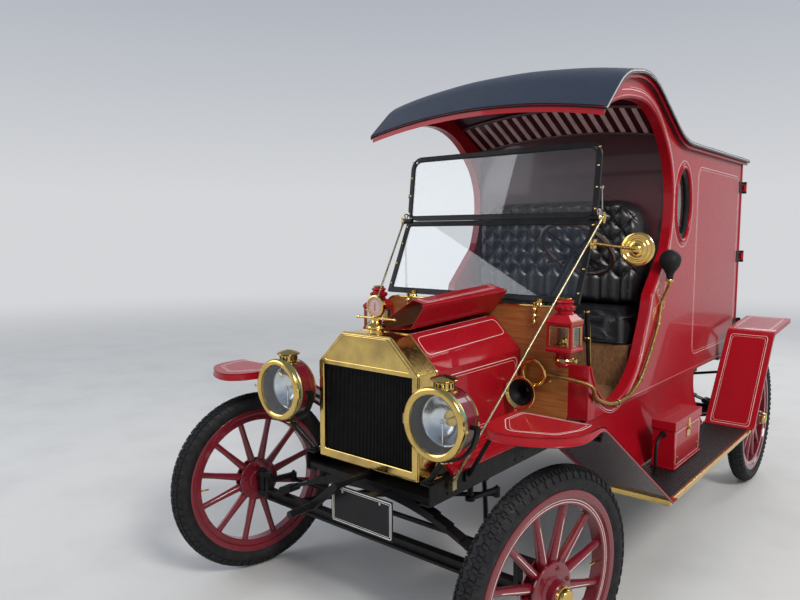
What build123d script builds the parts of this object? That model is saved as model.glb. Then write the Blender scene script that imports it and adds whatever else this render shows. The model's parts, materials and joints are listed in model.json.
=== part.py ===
from build123d import *
from math import asin, atan2, cos, degrees, radians, sin, sqrt
import os

os.makedirs("parts", exist_ok=True)

# Delivery car with an open cab, about 1911. X points to the car's left, the front faces -Y.
# The origin is on the ground, under the middle of the car. All lengths are in millimetres.

# Running gear
wheelbase = 2540.0
track = 1422.0
tyre_radius = 381.0
tyre_width = 86.0
tyre_depth = 80.0
tyre_crown = 46.0            # radius of the tread across the tyre
kingpin_x = 650.0
wheel_lean = 2.5             # front wheels lean out at the top, degrees
rest_turn = -11.5            # the front wheels stand turned to the car's right, degrees
steer_lock = 35.0            # each way from straight ahead, degrees

kingpin_offset = track / 2 - kingpin_x
wheel_shift = kingpin_offset * cos(radians(wheel_lean)) * sin(radians(abs(rest_turn)))
front_reach = (tyre_radius - tyre_crown) * cos(radians(rest_turn)) + tyre_crown + wheel_shift
front_axle_y = (front_reach - wheelbase - tyre_radius) / 2

# Clearances
pin_clearance = 0.05
running_clearance = 5.0
slip = 0.3
pipe_joint = 1.0             # bends of pipes are this much thicker than their straight lengths

# Frame
rail_half = 305.0
rail_top = 610.0
rail_depth = 76.0
rail_flange = 45.0
rail_wall = 6.0
rail_nose = 60.0             # ahead of the front axle
rail_tail = 2620.0           # behind the front axle
member_width = 100.0
spring_member_top = 562.0
tow_hole_radius = 6.5
tow_hole_spacing = 100.0

# Body
body_half = 555.0
body_wall = 40.0
body_front = 630.0           # behind the front axle, like the next ones
body_back = 2762.0
sill_z = 733.0
floor_thickness = 25.0
header_z = 1925.0
cross_sill_depth = 43.0
partition_front = 1490.0
partition_thickness = 20.0

# Roof
roof_half = 575.0
roof_crown = 58.0
roof_thickness = 30.0
cover_thickness = 6.0


def station(distance):
    # The y of a place given by its distance behind the front axle.
    return front_axle_y + distance


def across(y):
    # A plane that looks along the car, local x to the car's left and local y up.
    return Plane(origin=(0, y, 0), x_dir=(1, 0, 0), z_dir=(0, -1, 0))


def rod(start, end, radius):
    # A round bar from one point to another.
    run = Vector(*end) - Vector(*start)
    with Locations(Plane(origin=start, z_dir=run)):
        Cylinder(radius, run.length, align=(Align.CENTER, Align.CENTER, Align.MIN))


def bore(start, end, radius):
    # A round hole from one point to another.
    run = Vector(*end) - Vector(*start)
    with Locations(Plane(origin=start, z_dir=run)):
        Cylinder(radius, run.length, align=(Align.CENTER, Align.CENTER, Align.MIN), mode=Mode.SUBTRACT)


def link(start, end, width):
    # A flat bar with round ends between two points of a sketch.
    run = Vector(*end) - Vector(*start)
    middle = (Vector(*start) + Vector(*end)) * 0.5
    with Locations((middle.X, middle.Y)):
        SlotCenterToCenter(run.length, width, rotation=degrees(atan2(run.Y, run.X)))


def pipe(bends, radius):
    # A round pipe along points, with a slightly thicker ball at each bend.
    for start, end in zip(bends, bends[1:]):
        rod(start, end, radius)
    for bend in bends[1:-1]:
        with Locations(bend):
            Sphere(radius + pipe_joint)


def block(x_range, y_range, z_range, mode=Mode.ADD):
    # A box given by its two faces on each axis.
    middle = [(low + high) / 2 for low, high in (x_range, y_range, z_range)]
    size = [abs(high - low) for low, high in (x_range, y_range, z_range)]
    with Locations(Location(middle)):
        Box(*size, mode=mode)


# Frame rails: two channels that open inwards
rail_bottom = rail_top - rail_depth
rail_middle = rail_top - rail_depth / 2
rail_start = station(-rail_nose)
rail_length = rail_nose + rail_tail
with BuildPart() as frame_rails:
    with BuildSketch(across(rail_start)):
        for side in (1, -1):
            with Locations((side * (rail_half - rail_flange / 2), rail_middle)):
                Rectangle(rail_flange, rail_depth)
            with Locations((side * (rail_half - rail_wall - rail_flange / 2), rail_middle)):
                Rectangle(rail_flange, rail_depth - 2 * rail_wall, mode=Mode.SUBTRACT)
    extrude(amount=-rail_length)
frame_rails.part.label = "frame_rails"
export_step(frame_rails.part, "parts/frame_rails.step")

# Cross members: channels that open downwards and lie between the rails' flanges
member_half = rail_half - rail_wall
member_bottom = rail_bottom + rail_wall
full_member_top = rail_top - rail_wall
middle_member = 1380.0
# columns: distance behind the front axle, top of the member
members = [(0.0, spring_member_top), (middle_member, full_member_top), (wheelbase, spring_member_top)]
with BuildPart() as cross_members:
    for distance, top in members:
        y = station(distance)
        middle_z = (member_bottom + top) / 2
        with BuildSketch(Plane.YZ):
            with Locations((y, middle_z)):
                Rectangle(member_width, top - member_bottom)
            with Locations((y, middle_z - rail_wall)):
                Rectangle(member_width - 2 * rail_wall, top - member_bottom, mode=Mode.SUBTRACT)
        extrude(amount=member_half, both=True)
    tail_face = station(wheelbase) + member_width / 2
    block((-member_half, member_half), (tail_face - rail_wall, tail_face), (member_bottom, full_member_top))
    for side in (1, -1):
        x = side * tow_hole_spacing / 2
        bore((x, tail_face - 2 * rail_wall, rail_middle), (x, tail_face + 1, rail_middle), tow_hole_radius)
cross_members.part.label = "cross_members"
export_step(cross_members.part, "parts/cross_members.step")

# Springs: one pack of bowed leaves across the car over each axle, with eyes and shackles
spring_leaf = 7.0
spring_leaves = 7
spring_width = 44.0
spring_eye_radius = 14.0
spring_eye_x = 455.0
shackle_thickness = 6.0
shackle_run = 45.0
shackle_drop = 14.0
leaf_step = 55.0


pack_top = spring_member_top - rail_wall
front_bow = 1000.0           # radius that a pack is bowed to
rear_bow = 1450.0


def bow_centre(bow):
    # Height of the point that a pack's leaves curve about.
    return pack_top - spring_leaves * spring_leaf - bow


def eye_height(bow):
    # Height of a pack's eyes.
    return bow_centre(bow) + sqrt((bow + spring_leaf / 2) ** 2 - spring_eye_x ** 2)


with BuildPart() as springs:
    for distance, bow in ((0.0, front_bow), (wheelbase, rear_bow)):
        y = station(distance)
        for leaf in range(spring_leaves):
            inner = bow + leaf * spring_leaf
            reach = spring_eye_x - leaf * leaf_step
            half_angle = degrees(asin(reach / inner))
            with BuildSketch(across(y - spring_width / 2)):
                with BuildLine():
                    low = CenterArc((0, bow_centre(bow)), inner, 90 - half_angle, 2 * half_angle)
                    high = CenterArc((0, bow_centre(bow)), inner + spring_leaf, 90 - half_angle,
                                     2 * half_angle)
                    Line(low @ 0, high @ 0)
                    Line(low @ 1, high @ 1)
                make_face()
            extrude(amount=-spring_width)
        for side in (1, -1):
            eye = (side * spring_eye_x, eye_height(bow))
            perch_eye = (side * (spring_eye_x + shackle_run), eye_height(bow) - shackle_drop)
            with BuildSketch(across(y - spring_width / 2)):
                with Locations(eye):
                    Circle(spring_eye_radius)
            extrude(amount=-spring_width)
            for face_y in (y - spring_width / 2 - shackle_thickness, y + spring_width / 2):
                with BuildSketch(across(face_y)):
                    link(eye, perch_eye, 2 * spring_eye_radius)
                extrude(amount=-shackle_thickness)
springs.part.label = "springs"
export_step(springs.part, "parts/springs.step")

# Front axle: a beam with a yoke and two bored lugs at each end, spring perches and radius rods
kingpin_radius = 9.0
kingpin_hole = kingpin_radius + pin_clearance
beam_bottom = 318.0
beam_depth = 44.0
beam_width = 34.0
beam_half = 600.0
beam_web = 12.0
lug_radius = 22.0
lug_height = 20.0
lower_lug_bottom = 330.0
upper_lug_bottom = 412.0
yoke_thickness = 18.0
yoke_width = 30.0
radius_rod_radius = 11.0
radius_rod_joint = 750.0     # behind the front axle
radius_rod_joint_z = 350.0
radius_rod_ball = 26.0
perch_radius = 13.0

axle_y = station(0.0)
with BuildPart() as front_axle:
    with BuildSketch(Plane.YZ):
        with Locations((axle_y, beam_bottom + beam_depth / 2)):
            Rectangle(beam_width, beam_depth)
        for face in (1, -1):
            with Locations((axle_y + face * (beam_web + beam_width) / 2, beam_bottom + beam_depth / 2)):
                Rectangle(beam_width, beam_depth * 0.55, mode=Mode.SUBTRACT)
    extrude(amount=beam_half, both=True)
    for side in (1, -1):
        yoke_x = side * beam_half
        block((yoke_x, yoke_x + side * yoke_thickness), (axle_y - yoke_width / 2, axle_y + yoke_width / 2),
              (beam_bottom, upper_lug_bottom + lug_height))
        for lug_bottom in (lower_lug_bottom, upper_lug_bottom):
            with BuildSketch(Plane.XY.offset(lug_bottom)):
                link((yoke_x + side * yoke_thickness / 2, axle_y), (side * kingpin_x, axle_y), yoke_width)
                with Locations((side * kingpin_x, axle_y)):
                    Circle(lug_radius)
            extrude(amount=lug_height)
            bore((side * kingpin_x, axle_y, lug_bottom - 1),
                 (side * kingpin_x, axle_y, lug_bottom + lug_height + 1), kingpin_hole)
        perch_x = side * (spring_eye_x + shackle_run)
        perch_z = eye_height(front_bow) - shackle_drop
        rod((perch_x, axle_y, beam_bottom + beam_depth / 2), (perch_x, axle_y, perch_z), perch_radius)
        rod((perch_x, axle_y - spring_width / 2, perch_z), (perch_x, axle_y + spring_width / 2, perch_z),
            spring_eye_radius)
        rod((perch_x, axle_y, beam_bottom + 8),
            (0, station(radius_rod_joint), radius_rod_joint_z), radius_rod_radius)
    with Locations((0, station(radius_rod_joint), radius_rod_joint_z)):
        Sphere(radius_rod_ball)
front_axle.part.label = "front_axle"
export_step(front_axle.part, "parts/front_axle.step")

# Rear axle: a round housing with tapered halves, the drive tube, drum plates and spindles
spindle_radius = 16.0
housing_radius = 115.0
rear_tube_radius = 34.0
rear_tube_half = 590.0
plate_radius = 135.0
plate_thickness = 8.0
drive_tube_radius = 36.0
drive_tube_front = 1080.0
drive_tube_front_z = 500.0
spindle_end = 58.0           # past the wheel's centre plane

wheel_z = (tyre_radius - tyre_width / 2) * cos(radians(wheel_lean)) + tyre_width / 2
rear_y = station(wheelbase)
# columns: distance from the middle, radius
axle_profile = [(0.0, housing_radius), (70.0, housing_radius), (120.0, housing_radius * 0.8),
                (280.0, rear_tube_radius), (rear_tube_half, rear_tube_radius), (rear_tube_half, plate_radius),
                (rear_tube_half + plate_thickness, plate_radius),
                (rear_tube_half + plate_thickness, spindle_radius), (track / 2 + spindle_end, spindle_radius)]
with BuildPart() as rear_axle:
    with BuildSketch(across(rear_y)):
        with BuildLine():
            half = [(x, tyre_radius + radius) for x, radius in axle_profile]
            other = [(-x, z) for x, z in reversed(half[1:])]
            Polyline(*other, *half, (half[-1][0], tyre_radius), (-half[-1][0], tyre_radius), close=True)
        make_face()
    revolve(axis=Axis((0, rear_y, tyre_radius), (1, 0, 0)))
    for side in (1, -1):
        perch_x = side * (spring_eye_x + shackle_run)
        perch_z = eye_height(rear_bow) - shackle_drop
        rod((perch_x, rear_y, tyre_radius), (perch_x, rear_y, perch_z), perch_radius)
        rod((perch_x, rear_y - spring_width / 2, perch_z), (perch_x, rear_y + spring_width / 2, perch_z),
            spring_eye_radius)
        rod((side * 0.94 * rear_tube_half, rear_y, tyre_radius - 10),
            (0, station(drive_tube_front + 60), drive_tube_front_z - 10), radius_rod_radius)
    rod((0, rear_y - housing_radius / 2, tyre_radius + 4), (0, station(drive_tube_front), drive_tube_front_z),
        drive_tube_radius)
rear_axle.part.label = "rear_axle"
export_step(rear_axle.part, "parts/rear_axle.step")

# Knuckles: kingpin, barrel, leaning spindle and a steering arm that points back
barrel_radius = 17.0
barrel_gap = 1.0
arm_length = 150.0
arm_width = 18.0
arm_height = 18.0
arm_z = 381.0
arm_eye_radius = 14.0
link_pin_radius = 6.0
link_play = 0.5
kingpin_head = 14.0


def turned(x, y, angle=rest_turn):
    # A vector in plan, turned about the vertical.
    turn = radians(angle)
    return (x * cos(turn) - y * sin(turn), x * sin(turn) + y * cos(turn))


def wheel_axis(side, front):
    # Unit vector along a wheel's spindle, outwards.
    if not front:
        return Vector(side, 0, 0)
    lean = radians(wheel_lean)
    x, y = turned(side * cos(lean), 0)
    return Vector(x, y, -sin(lean))


spindle_root_z = wheel_z + kingpin_offset * sin(radians(wheel_lean))
arm_x, arm_y = turned(0, arm_length)
for name, side in (("left", 1), ("right", -1)):
    pin = Vector(side * kingpin_x, axle_y, 0)
    out = wheel_axis(side, True)
    root = Vector(pin.X, pin.Y, spindle_root_z)
    tip = root + out * (kingpin_offset + spindle_end)
    eye = (pin.X + arm_x, pin.Y + arm_y)
    arm_hole = link_pin_radius + (pin_clearance if name == "left" else link_play)
    with BuildPart() as knuckle:
        rod((pin.X, pin.Y, lower_lug_bottom + lug_height + barrel_gap),
            (pin.X, pin.Y, upper_lug_bottom - barrel_gap), barrel_radius)
        rod((pin.X, pin.Y, lower_lug_bottom - 10), (pin.X, pin.Y, upper_lug_bottom + lug_height + 1),
            kingpin_radius)
        rod((pin.X, pin.Y, upper_lug_bottom + lug_height + barrel_gap),
            (pin.X, pin.Y, upper_lug_bottom + lug_height + barrel_gap + 8), kingpin_head)
        rod(tuple(root), tuple(tip), spindle_radius)
        with BuildSketch(Plane.XY.offset(arm_z - arm_height / 2)):
            link((pin.X, pin.Y), eye, arm_width)
            with Locations(eye):
                Circle(arm_eye_radius)
        extrude(amount=arm_height)
        bore((*eye, arm_z - arm_height), (*eye, arm_z + arm_height), arm_hole)
    knuckle.part.label = f"knuckle_{name}"
    export_step(knuckle.part, f"parts/knuckle_{name}.step")

# Steering box and column: the box sits in the left rail's channel, the column leans back from it
box_distance = 330.0
box_half_length = 40.0
box_inner_x = 165.0
column_foot_x = 205.0
column_radius = 17.0
hub_x = 285.0
hub_distance = 1053.0
hub_z = 1385.0
shaft_radius = 10.0
shaft_in_column = 60.0
hub_drop = 40.0              # column ends this far below the steering wheel's hub
quadrant_drop = 12.0         # below the column's top
quadrant_radius = 55.0
quadrant_thickness = 4.0
quadrant_lever = 135.0
quadrant_lever_radius = 4.0
quadrant_knob_radius = 9.0
pitman_shaft_radius = 12.0
pitman_shaft_depth = 30.0
pitman_z = 425.0
pitman_thickness = 16.0

box_y = station(box_distance)
box_top = rail_top - rail_wall
hub = Vector(hub_x, station(hub_distance), hub_z)
foot = Vector(column_foot_x, box_y, box_top)
column_run = (hub - foot).normalized()
column_top = hub - column_run * hub_drop
lever_root = (shaft_radius + column_radius) / 2
with BuildPart() as steering_column:
    block((box_inner_x, rail_half - rail_wall), (box_y - box_half_length, box_y + box_half_length),
          (member_bottom, box_top))
    rod(tuple(foot - column_run * 30), tuple(column_top), column_radius)
    block((box_inner_x, rail_half - rail_wall), (box_y - box_half_length, box_y + box_half_length),
          (member_bottom - 40, member_bottom), mode=Mode.SUBTRACT)
    with Locations(Plane(origin=tuple(column_top - column_run * quadrant_drop), x_dir=(1, 0, 0),
                         z_dir=tuple(column_run))):
        with Locations((0, quadrant_radius / 4)):
            Cylinder(quadrant_radius, quadrant_thickness, arc_size=180)
        with PolarLocations(0, 2, start_angle=20, angular_range=280):
            with Locations(Location((quadrant_lever / 2 + lever_root, 0, quadrant_thickness), (0, 90, 0))):
                Cylinder(quadrant_lever_radius, quadrant_lever)
            with Locations((quadrant_lever + lever_root, 0, quadrant_thickness)):
                Sphere(quadrant_knob_radius)
    bore(tuple(column_top - column_run * shaft_in_column), tuple(column_top + column_run),
         shaft_radius + pin_clearance)
    bore((column_foot_x, box_y, member_bottom - 1),
         (column_foot_x, box_y, member_bottom + pitman_shaft_depth + slip),
         pitman_shaft_radius + pin_clearance)
steering_column.part.label = "steering_column"
export_step(steering_column.part, "parts/steering_column.step")

# Pitman arm: hangs from the box and moves side by side with the knuckles' arms
pitman_eye = (column_foot_x + arm_x, box_y + arm_y)
with BuildPart() as pitman_arm:
    rod((column_foot_x, box_y, pitman_z - pitman_thickness / 2),
        (column_foot_x, box_y, member_bottom + pitman_shaft_depth), pitman_shaft_radius)
    with BuildSketch(Plane.XY.offset(pitman_z - pitman_thickness / 2)):
        link((column_foot_x, box_y), pitman_eye, arm_width)
        with Locations(pitman_eye):
            Circle(arm_eye_radius)
        with Locations((column_foot_x, box_y)):
            Circle(pitman_shaft_radius + 8)
    extrude(amount=pitman_thickness)
    bore((*pitman_eye, pitman_z - pitman_thickness), (*pitman_eye, pitman_z + pitman_thickness),
         link_pin_radius + link_play)
pitman_arm.part.label = "pitman_arm"
export_step(pitman_arm.part, "parts/pitman_arm.step")

# Tie rod with the drag link on it: flat eyes under the arms' eyes, each with its pin
tie_radius = 10.0
drag_radius = 9.0
link_eye_height = 22.0
link_gap = 0.5
drag_root_x = -350.0
link_left = Vector(kingpin_x + arm_x, axle_y + arm_y, 0)
link_right = Vector(-kingpin_x + arm_x, axle_y + arm_y, 0)
link_top = arm_z - arm_height / 2 - link_gap
drag_top = pitman_z - pitman_thickness / 2 - link_gap
with BuildPart() as tie_rod:
    tie_z = link_top - link_eye_height / 2
    rod((link_left.X, link_left.Y, tie_z), (link_right.X, link_right.Y, tie_z), tie_radius)
    drag_z = drag_top - link_eye_height / 2
    rod((drag_root_x + arm_x, link_left.Y, tie_z), (*pitman_eye, drag_z), drag_radius)
    # columns: x, y, top of the eye, top of its pin
    eyes = [(link_left.X, link_left.Y, link_top, arm_z + arm_height),
            (link_right.X, link_right.Y, link_top, arm_z + arm_height),
            (*pitman_eye, drag_top, pitman_z + pitman_thickness)]
    for eye_x, eye_y, eye_top, pin_top in eyes:
        rod((eye_x, eye_y, eye_top - link_eye_height), (eye_x, eye_y, eye_top), arm_eye_radius)
        rod((eye_x, eye_y, eye_top), (eye_x, eye_y, pin_top), link_pin_radius)
tie_rod.part.label = "tie_rod"
export_step(tie_rod.part, "parts/tie_rod.step")

# Steering wheel: thin rim, four spokes, hub and shaft
rim_radius = 178.0
rim_section = 12.0
wheel_spokes = 4
hub_radius = 26.0
hub_height = 34.0
with BuildPart() as steering_wheel:
    with Locations(Plane(origin=tuple(hub), x_dir=(1, 0, 0), z_dir=tuple(column_run))):
        Torus(rim_radius, rim_section)
        Cylinder(hub_radius, hub_height)
        with PolarLocations(0, wheel_spokes, start_angle=45):
            with Locations(Location((rim_radius / 2, 0, 0), (0, 90, 0))):
                Cylinder(7, rim_radius)
    rod(tuple(hub), tuple(column_top - column_run * (shaft_in_column - slip)), shaft_radius)
steering_wheel.part.label = "steering_wheel"
export_step(steering_wheel.part, "parts/steering_wheel.step")

# Wheels: turned hub with its bore, twelve tapered spokes, felloe and steel rim; tyres apart
spokes = 12
hub_barrel = 42.0
hub_inner = 30.0             # from the centre plane inwards
hub_outer = 62.0
hub_flange_radius = 88.0
hub_flange_thickness = 7.0
hub_flange_x = 22.0
cap_radius = 31.0
cap_length = 24.0
felloe_inner = 262.0
rim_seat = tyre_radius - tyre_depth
felloe_width = 46.0
spoke_root_radius = 19.0
spoke_tip_radius = 13.0
drum_radius = 128.0
drum_wall = 10.0
drum_depth = 68.0
axle_hole = spindle_radius + pin_clearance

# columns: name, side, at the front
corners = [("front_left", 1, True), ("front_right", -1, True),
           ("rear_left", 1, False), ("rear_right", -1, False)]
for name, side, front in corners:
    out = wheel_axis(side, front)
    if front:
        centre = Vector(side * kingpin_x, axle_y, spindle_root_z) + out * kingpin_offset
    else:
        centre = Vector(side * track / 2, rear_y, tyre_radius)
    with BuildPart() as wheel:
        with Locations(Plane(origin=tuple(centre), z_dir=tuple(out))):
            with Locations(Location((0, 0, (hub_outer - hub_inner) / 2))):
                Cylinder(hub_barrel, hub_outer + hub_inner)
            with Locations(Location((0, 0, hub_flange_x)), Location((0, 0, -hub_flange_x))):
                Cylinder(hub_flange_radius, hub_flange_thickness)
            with Locations(Location((0, 0, hub_outer + cap_length / 2))):
                Cylinder(cap_radius, cap_length)
            with PolarLocations(0, spokes):
                with Locations(Location((felloe_inner / 2 + 20, 0, 0), (0, 90, 0))):
                    Cone(spoke_root_radius, spoke_tip_radius, felloe_inner - 30)
            Cylinder(rim_seat, felloe_width)
            Cylinder(felloe_inner, felloe_width, mode=Mode.SUBTRACT)
            Cylinder(hub_barrel, felloe_width)
            with PolarLocations(0, spokes):
                with Locations(Location((felloe_inner / 2 + 20, 0, 0), (0, 90, 0))):
                    Cone(spoke_root_radius, spoke_tip_radius, felloe_inner - 30)
            with Locations(Location((0, 0, hub_flange_x)), Location((0, 0, -hub_flange_x))):
                Cylinder(hub_flange_radius, hub_flange_thickness)
            if not front:
                with Locations(Location((0, 0, -hub_flange_x - drum_depth / 2))):
                    Cylinder(drum_radius, drum_depth)
                    Cylinder(drum_radius - drum_wall, drum_depth + 1, mode=Mode.SUBTRACT)
                with Locations(Location((0, 0, -hub_flange_x))):
                    Cylinder(drum_radius, hub_flange_thickness)
            with Locations(Location((0, 0, (spindle_end + slip - hub_inner) / 2 - 0.5))):
                Cylinder(axle_hole, hub_inner + spindle_end + slip + 1, mode=Mode.SUBTRACT)
    wheel.part.label = f"wheel_{name}"
    export_step(wheel.part, f"parts/wheel_{name}.step")

    with BuildPart() as tyre:
        flat = tyre_width / 2
        crown_half = 0.72 * flat
        shoulder = tyre_radius - tyre_crown + sqrt(tyre_crown ** 2 - crown_half ** 2)
        radial = out.cross(Vector(0, 0, 1))
        with BuildSketch(Plane(origin=tuple(centre), x_dir=tuple(out), z_dir=tuple(radial))):
            with BuildLine():
                bead_in = Line((-felloe_width / 2, rim_seat), (felloe_width / 2, rim_seat))
                right = ThreePointArc((felloe_width / 2, rim_seat), (flat, rim_seat + tyre_depth * 0.42),
                                      (crown_half, shoulder))
                crown = ThreePointArc(right @ 1, (0, tyre_radius), (-crown_half, shoulder))
                ThreePointArc(crown @ 1, (-flat, rim_seat + tyre_depth * 0.42), bead_in @ 0)
            make_face()
        revolve(axis=Axis(tuple(centre), tuple(out)))
    tyre.part.label = f"tyre_{name}"
    export_step(tyre.part, f"parts/tyre_{name}.step")

# Cab floor: long sills on the rails, cross sills, boards, toe board and the seat box
long_sill_width = 50.0
toe_top_z = 870.0
toe_run = 130.0
toe_board = 30.0
box_board = 20.0
pedal_xs = (85.0, 150.0, 215.0)
pedal_shaft_distance = 760.0
pedal_pad_distance = 735.0
pedal_pad_z = 900.0
pedal_arm_radius = 8.0
pedal_play = 4.0
lever_x = 390.0
lever_thickness = 8.0
lever_pivot_distance = 1010.0
lever_top_distance = 950.0
lever_slot = 35.0            # half the length of its slot in the floor
gearbox_radius = 60.0
gearbox_start_z = 550.0
gearbox_end_z = 512.0
seat_box_front = 1160.0
seat_box_top = 950.0
seat_half = 490.0
floor_top = sill_z + floor_thickness
cross_sill_bottom = sill_z - cross_sill_depth
cross_sill_width = 60.0
cross_sills = 5
floor_front = station(body_front)
floor_back = station(body_back)
inner_half = body_half - body_wall
pedal_pivot_z = (gearbox_start_z + gearbox_end_z) / 2 + 12
with BuildPart() as cab_floor:
    for side in (1, -1):
        block((side * (rail_half - long_sill_width), side * rail_half), (floor_front, station(rail_tail)),
              (rail_top, cross_sill_bottom))
    sill_spacing = (rail_tail - body_front - cross_sill_width) / (cross_sills - 1)
    for index in range(cross_sills):
        y = floor_front + cross_sill_width / 2 + index * sill_spacing
        block((-inner_half, inner_half), (y - cross_sill_width / 2, y + cross_sill_width / 2),
              (cross_sill_bottom, sill_z))
    block((-inner_half, inner_half), (floor_front, floor_back), (sill_z, floor_top))
    with BuildSketch(Plane.YZ):
        with BuildLine():
            Polyline((floor_front, toe_top_z), (floor_front + toe_run, floor_top),
                     (floor_front + toe_run - toe_board, floor_top),
                     (floor_front, toe_top_z - toe_board), close=True)
        make_face()
    extrude(amount=inner_half, both=True)
    block((-seat_half, seat_half), (station(seat_box_front), station(partition_front)),
          (floor_top, seat_box_top))
    block((-seat_half + box_board, seat_half - box_board),
          (station(seat_box_front + box_board), station(partition_front) + 1),
          (floor_top, seat_box_top - box_board), mode=Mode.SUBTRACT)
    for x in pedal_xs:
        bore((x, station(pedal_shaft_distance), pedal_pivot_z), (x, station(pedal_pad_distance), pedal_pad_z),
             pedal_arm_radius + pedal_play)
    slot_distance = (lever_pivot_distance + lever_top_distance) / 2
    block((lever_x - lever_thickness, lever_x + lever_thickness),
          (station(slot_distance - lever_slot), station(slot_distance + lever_slot)),
          (sill_z - 1, floor_top + 1), mode=Mode.SUBTRACT)
cab_floor.part.label = "cab_floor"
export_step(cab_floor.part, "parts/cab_floor.step")

# Roof profile along the middle of the car: a raised hood over the cab, then a long flat deck
# columns: distance behind the front axle, height at the car's side, fillet radius at that corner
roof_path = [(633.0, 1918.0, 0.0), (815.0, 2082.0, 300.0), (1100.0, 2132.0, 420.0), (1570.0, 1896.0, 480.0),
             (2790.0, 1906.0, 0.0)]
crown_radius = (roof_half ** 2 + roof_crown ** 2) / (2 * roof_crown)
crown_axis_z = roof_path[0][1] + roof_crown - crown_radius
crown_sweep = 2 * degrees(asin((roof_half + 40) / crown_radius))


def roof_line(lift):
    # The roof profile as a wire, raised by this much.
    points = [(station(distance), z + roof_crown + lift) for distance, z, _ in roof_path]
    radii = [radius for _, _, radius in roof_path[1:-1]]
    return FilletPolyline(*points, radius=radii)


def roof_band(bottom, top, half_width=None):
    # A crowned sheet between two heights above the roof profile, cut to its width if one is given.
    with BuildPart() as band:
        with BuildSketch(Plane.YZ):
            with BuildLine():
                low = roof_line(bottom)
                high = roof_line(top)
                Line(low @ 0, high @ 0)
                Line(low @ 1, high @ 1)
            make_face()
        revolve(axis=Axis((0, 0, crown_axis_z), (0, 1, 0)), revolution_arc=crown_sweep / 2)
        mirror(about=Plane.YZ)
        if half_width:
            block((-half_width, half_width), (station(roof_path[0][0] - 10), station(roof_path[-1][0] + 10)),
                  (header_z - 300, header_z + 600), mode=Mode.INTERSECT)
    return band.part


roof_sheet = roof_band(-roof_thickness, 0.0, roof_half)
with BuildPart() as roof_shell:
    add(roof_sheet)
roof_shell.part.label = "roof_shell"
export_step(roof_shell.part, "parts/roof_shell.step")

cover_overhang = 8.0
cover_sheet = roof_band(0.0, cover_thickness, roof_half + cover_overhang)
with BuildPart() as roof_cover:
    add(cover_sheet)
roof_cover.part.label = "roof_cover"
export_step(roof_cover.part, "parts/roof_cover.step")
above_roof = roof_band(-roof_thickness, 400.0)

# Body sides: walls with the C-shaped cab opening and an oval window, cut to the roof's underside
# columns: end of each arc, then the point halfway along it, both as distance and height
opening_arcs = [((840.0, 764.0), (710.0, 830.0)),
                ((1156.0, 984.0), (1035.0, 830.0)),
                ((1239.0, 1182.0), (1205.0, 1082.0)),
                ((1435.0, 1376.0), (1325.0, 1268.0)),
                ((1484.0, 1622.0), (1475.0, 1500.0)),
                ((1360.0, 1875.0), (1450.0, 1760.0)),
                ((1007.0, 2005.0), (1190.0, 1985.0)),
                ((645.0, 1903.0), (820.0, 1975.0))]
opening_start = (630.0, 945.0)
wall_top = header_z + 350.0  # above the roof, which cuts it
window_distance = 1660.0
window_z = 1600.0
window_width = 210.0
window_height = 340.0
with BuildPart() as body_sides:
    with BuildSketch(Plane.YZ.offset(inner_half)):
        with BuildLine():
            arc_start = (station(opening_start[0]), opening_start[1])
            Line((floor_front, sill_z), arc_start)
            for end, middle in opening_arcs:
                arc_end = (station(end[0]), end[1])
                ThreePointArc(arc_start, (station(middle[0]), middle[1]), arc_end)
                arc_start = arc_end
            Polyline(arc_start, (station(opening_arcs[-1][0][0]), wall_top), (floor_back, wall_top),
                     (floor_back, sill_z), (floor_front, sill_z))
        make_face()
        with Locations((station(window_distance), window_z)):
            Ellipse(window_width / 2, window_height / 2, mode=Mode.SUBTRACT)
    extrude(amount=body_wall)
    mirror(about=Plane.YZ)
    add(above_roof, mode=Mode.SUBTRACT)
body_sides.part.label = "body_sides"
export_step(body_sides.part, "parts/body_sides.step")

# Partition behind the seat, and the frame of the doorway at the back
with BuildPart() as cab_partition:
    partition_back = station(partition_front + partition_thickness)
    block((-inner_half, inner_half), (station(partition_front), partition_back), (floor_top, header_z + 300))
    add(above_roof, mode=Mode.SUBTRACT)
cab_partition.part.label = "cab_partition"
export_step(cab_partition.part, "parts/cab_partition.step")

doorway_post = 35.0
doorway_depth = 40.0
with BuildPart() as door_frame:
    block((-inner_half, inner_half), (floor_back - doorway_depth, floor_back), (floor_top, header_z + 300))
    block((-inner_half + doorway_post, inner_half - doorway_post),
          (floor_back - doorway_depth - 1, floor_back + 1), (floor_top + 12, header_z - 70),
          mode=Mode.SUBTRACT)
    add(above_roof, mode=Mode.SUBTRACT)
door_frame.part.label = "door_frame"
export_step(door_frame.part, "parts/door_frame.step")

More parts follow.
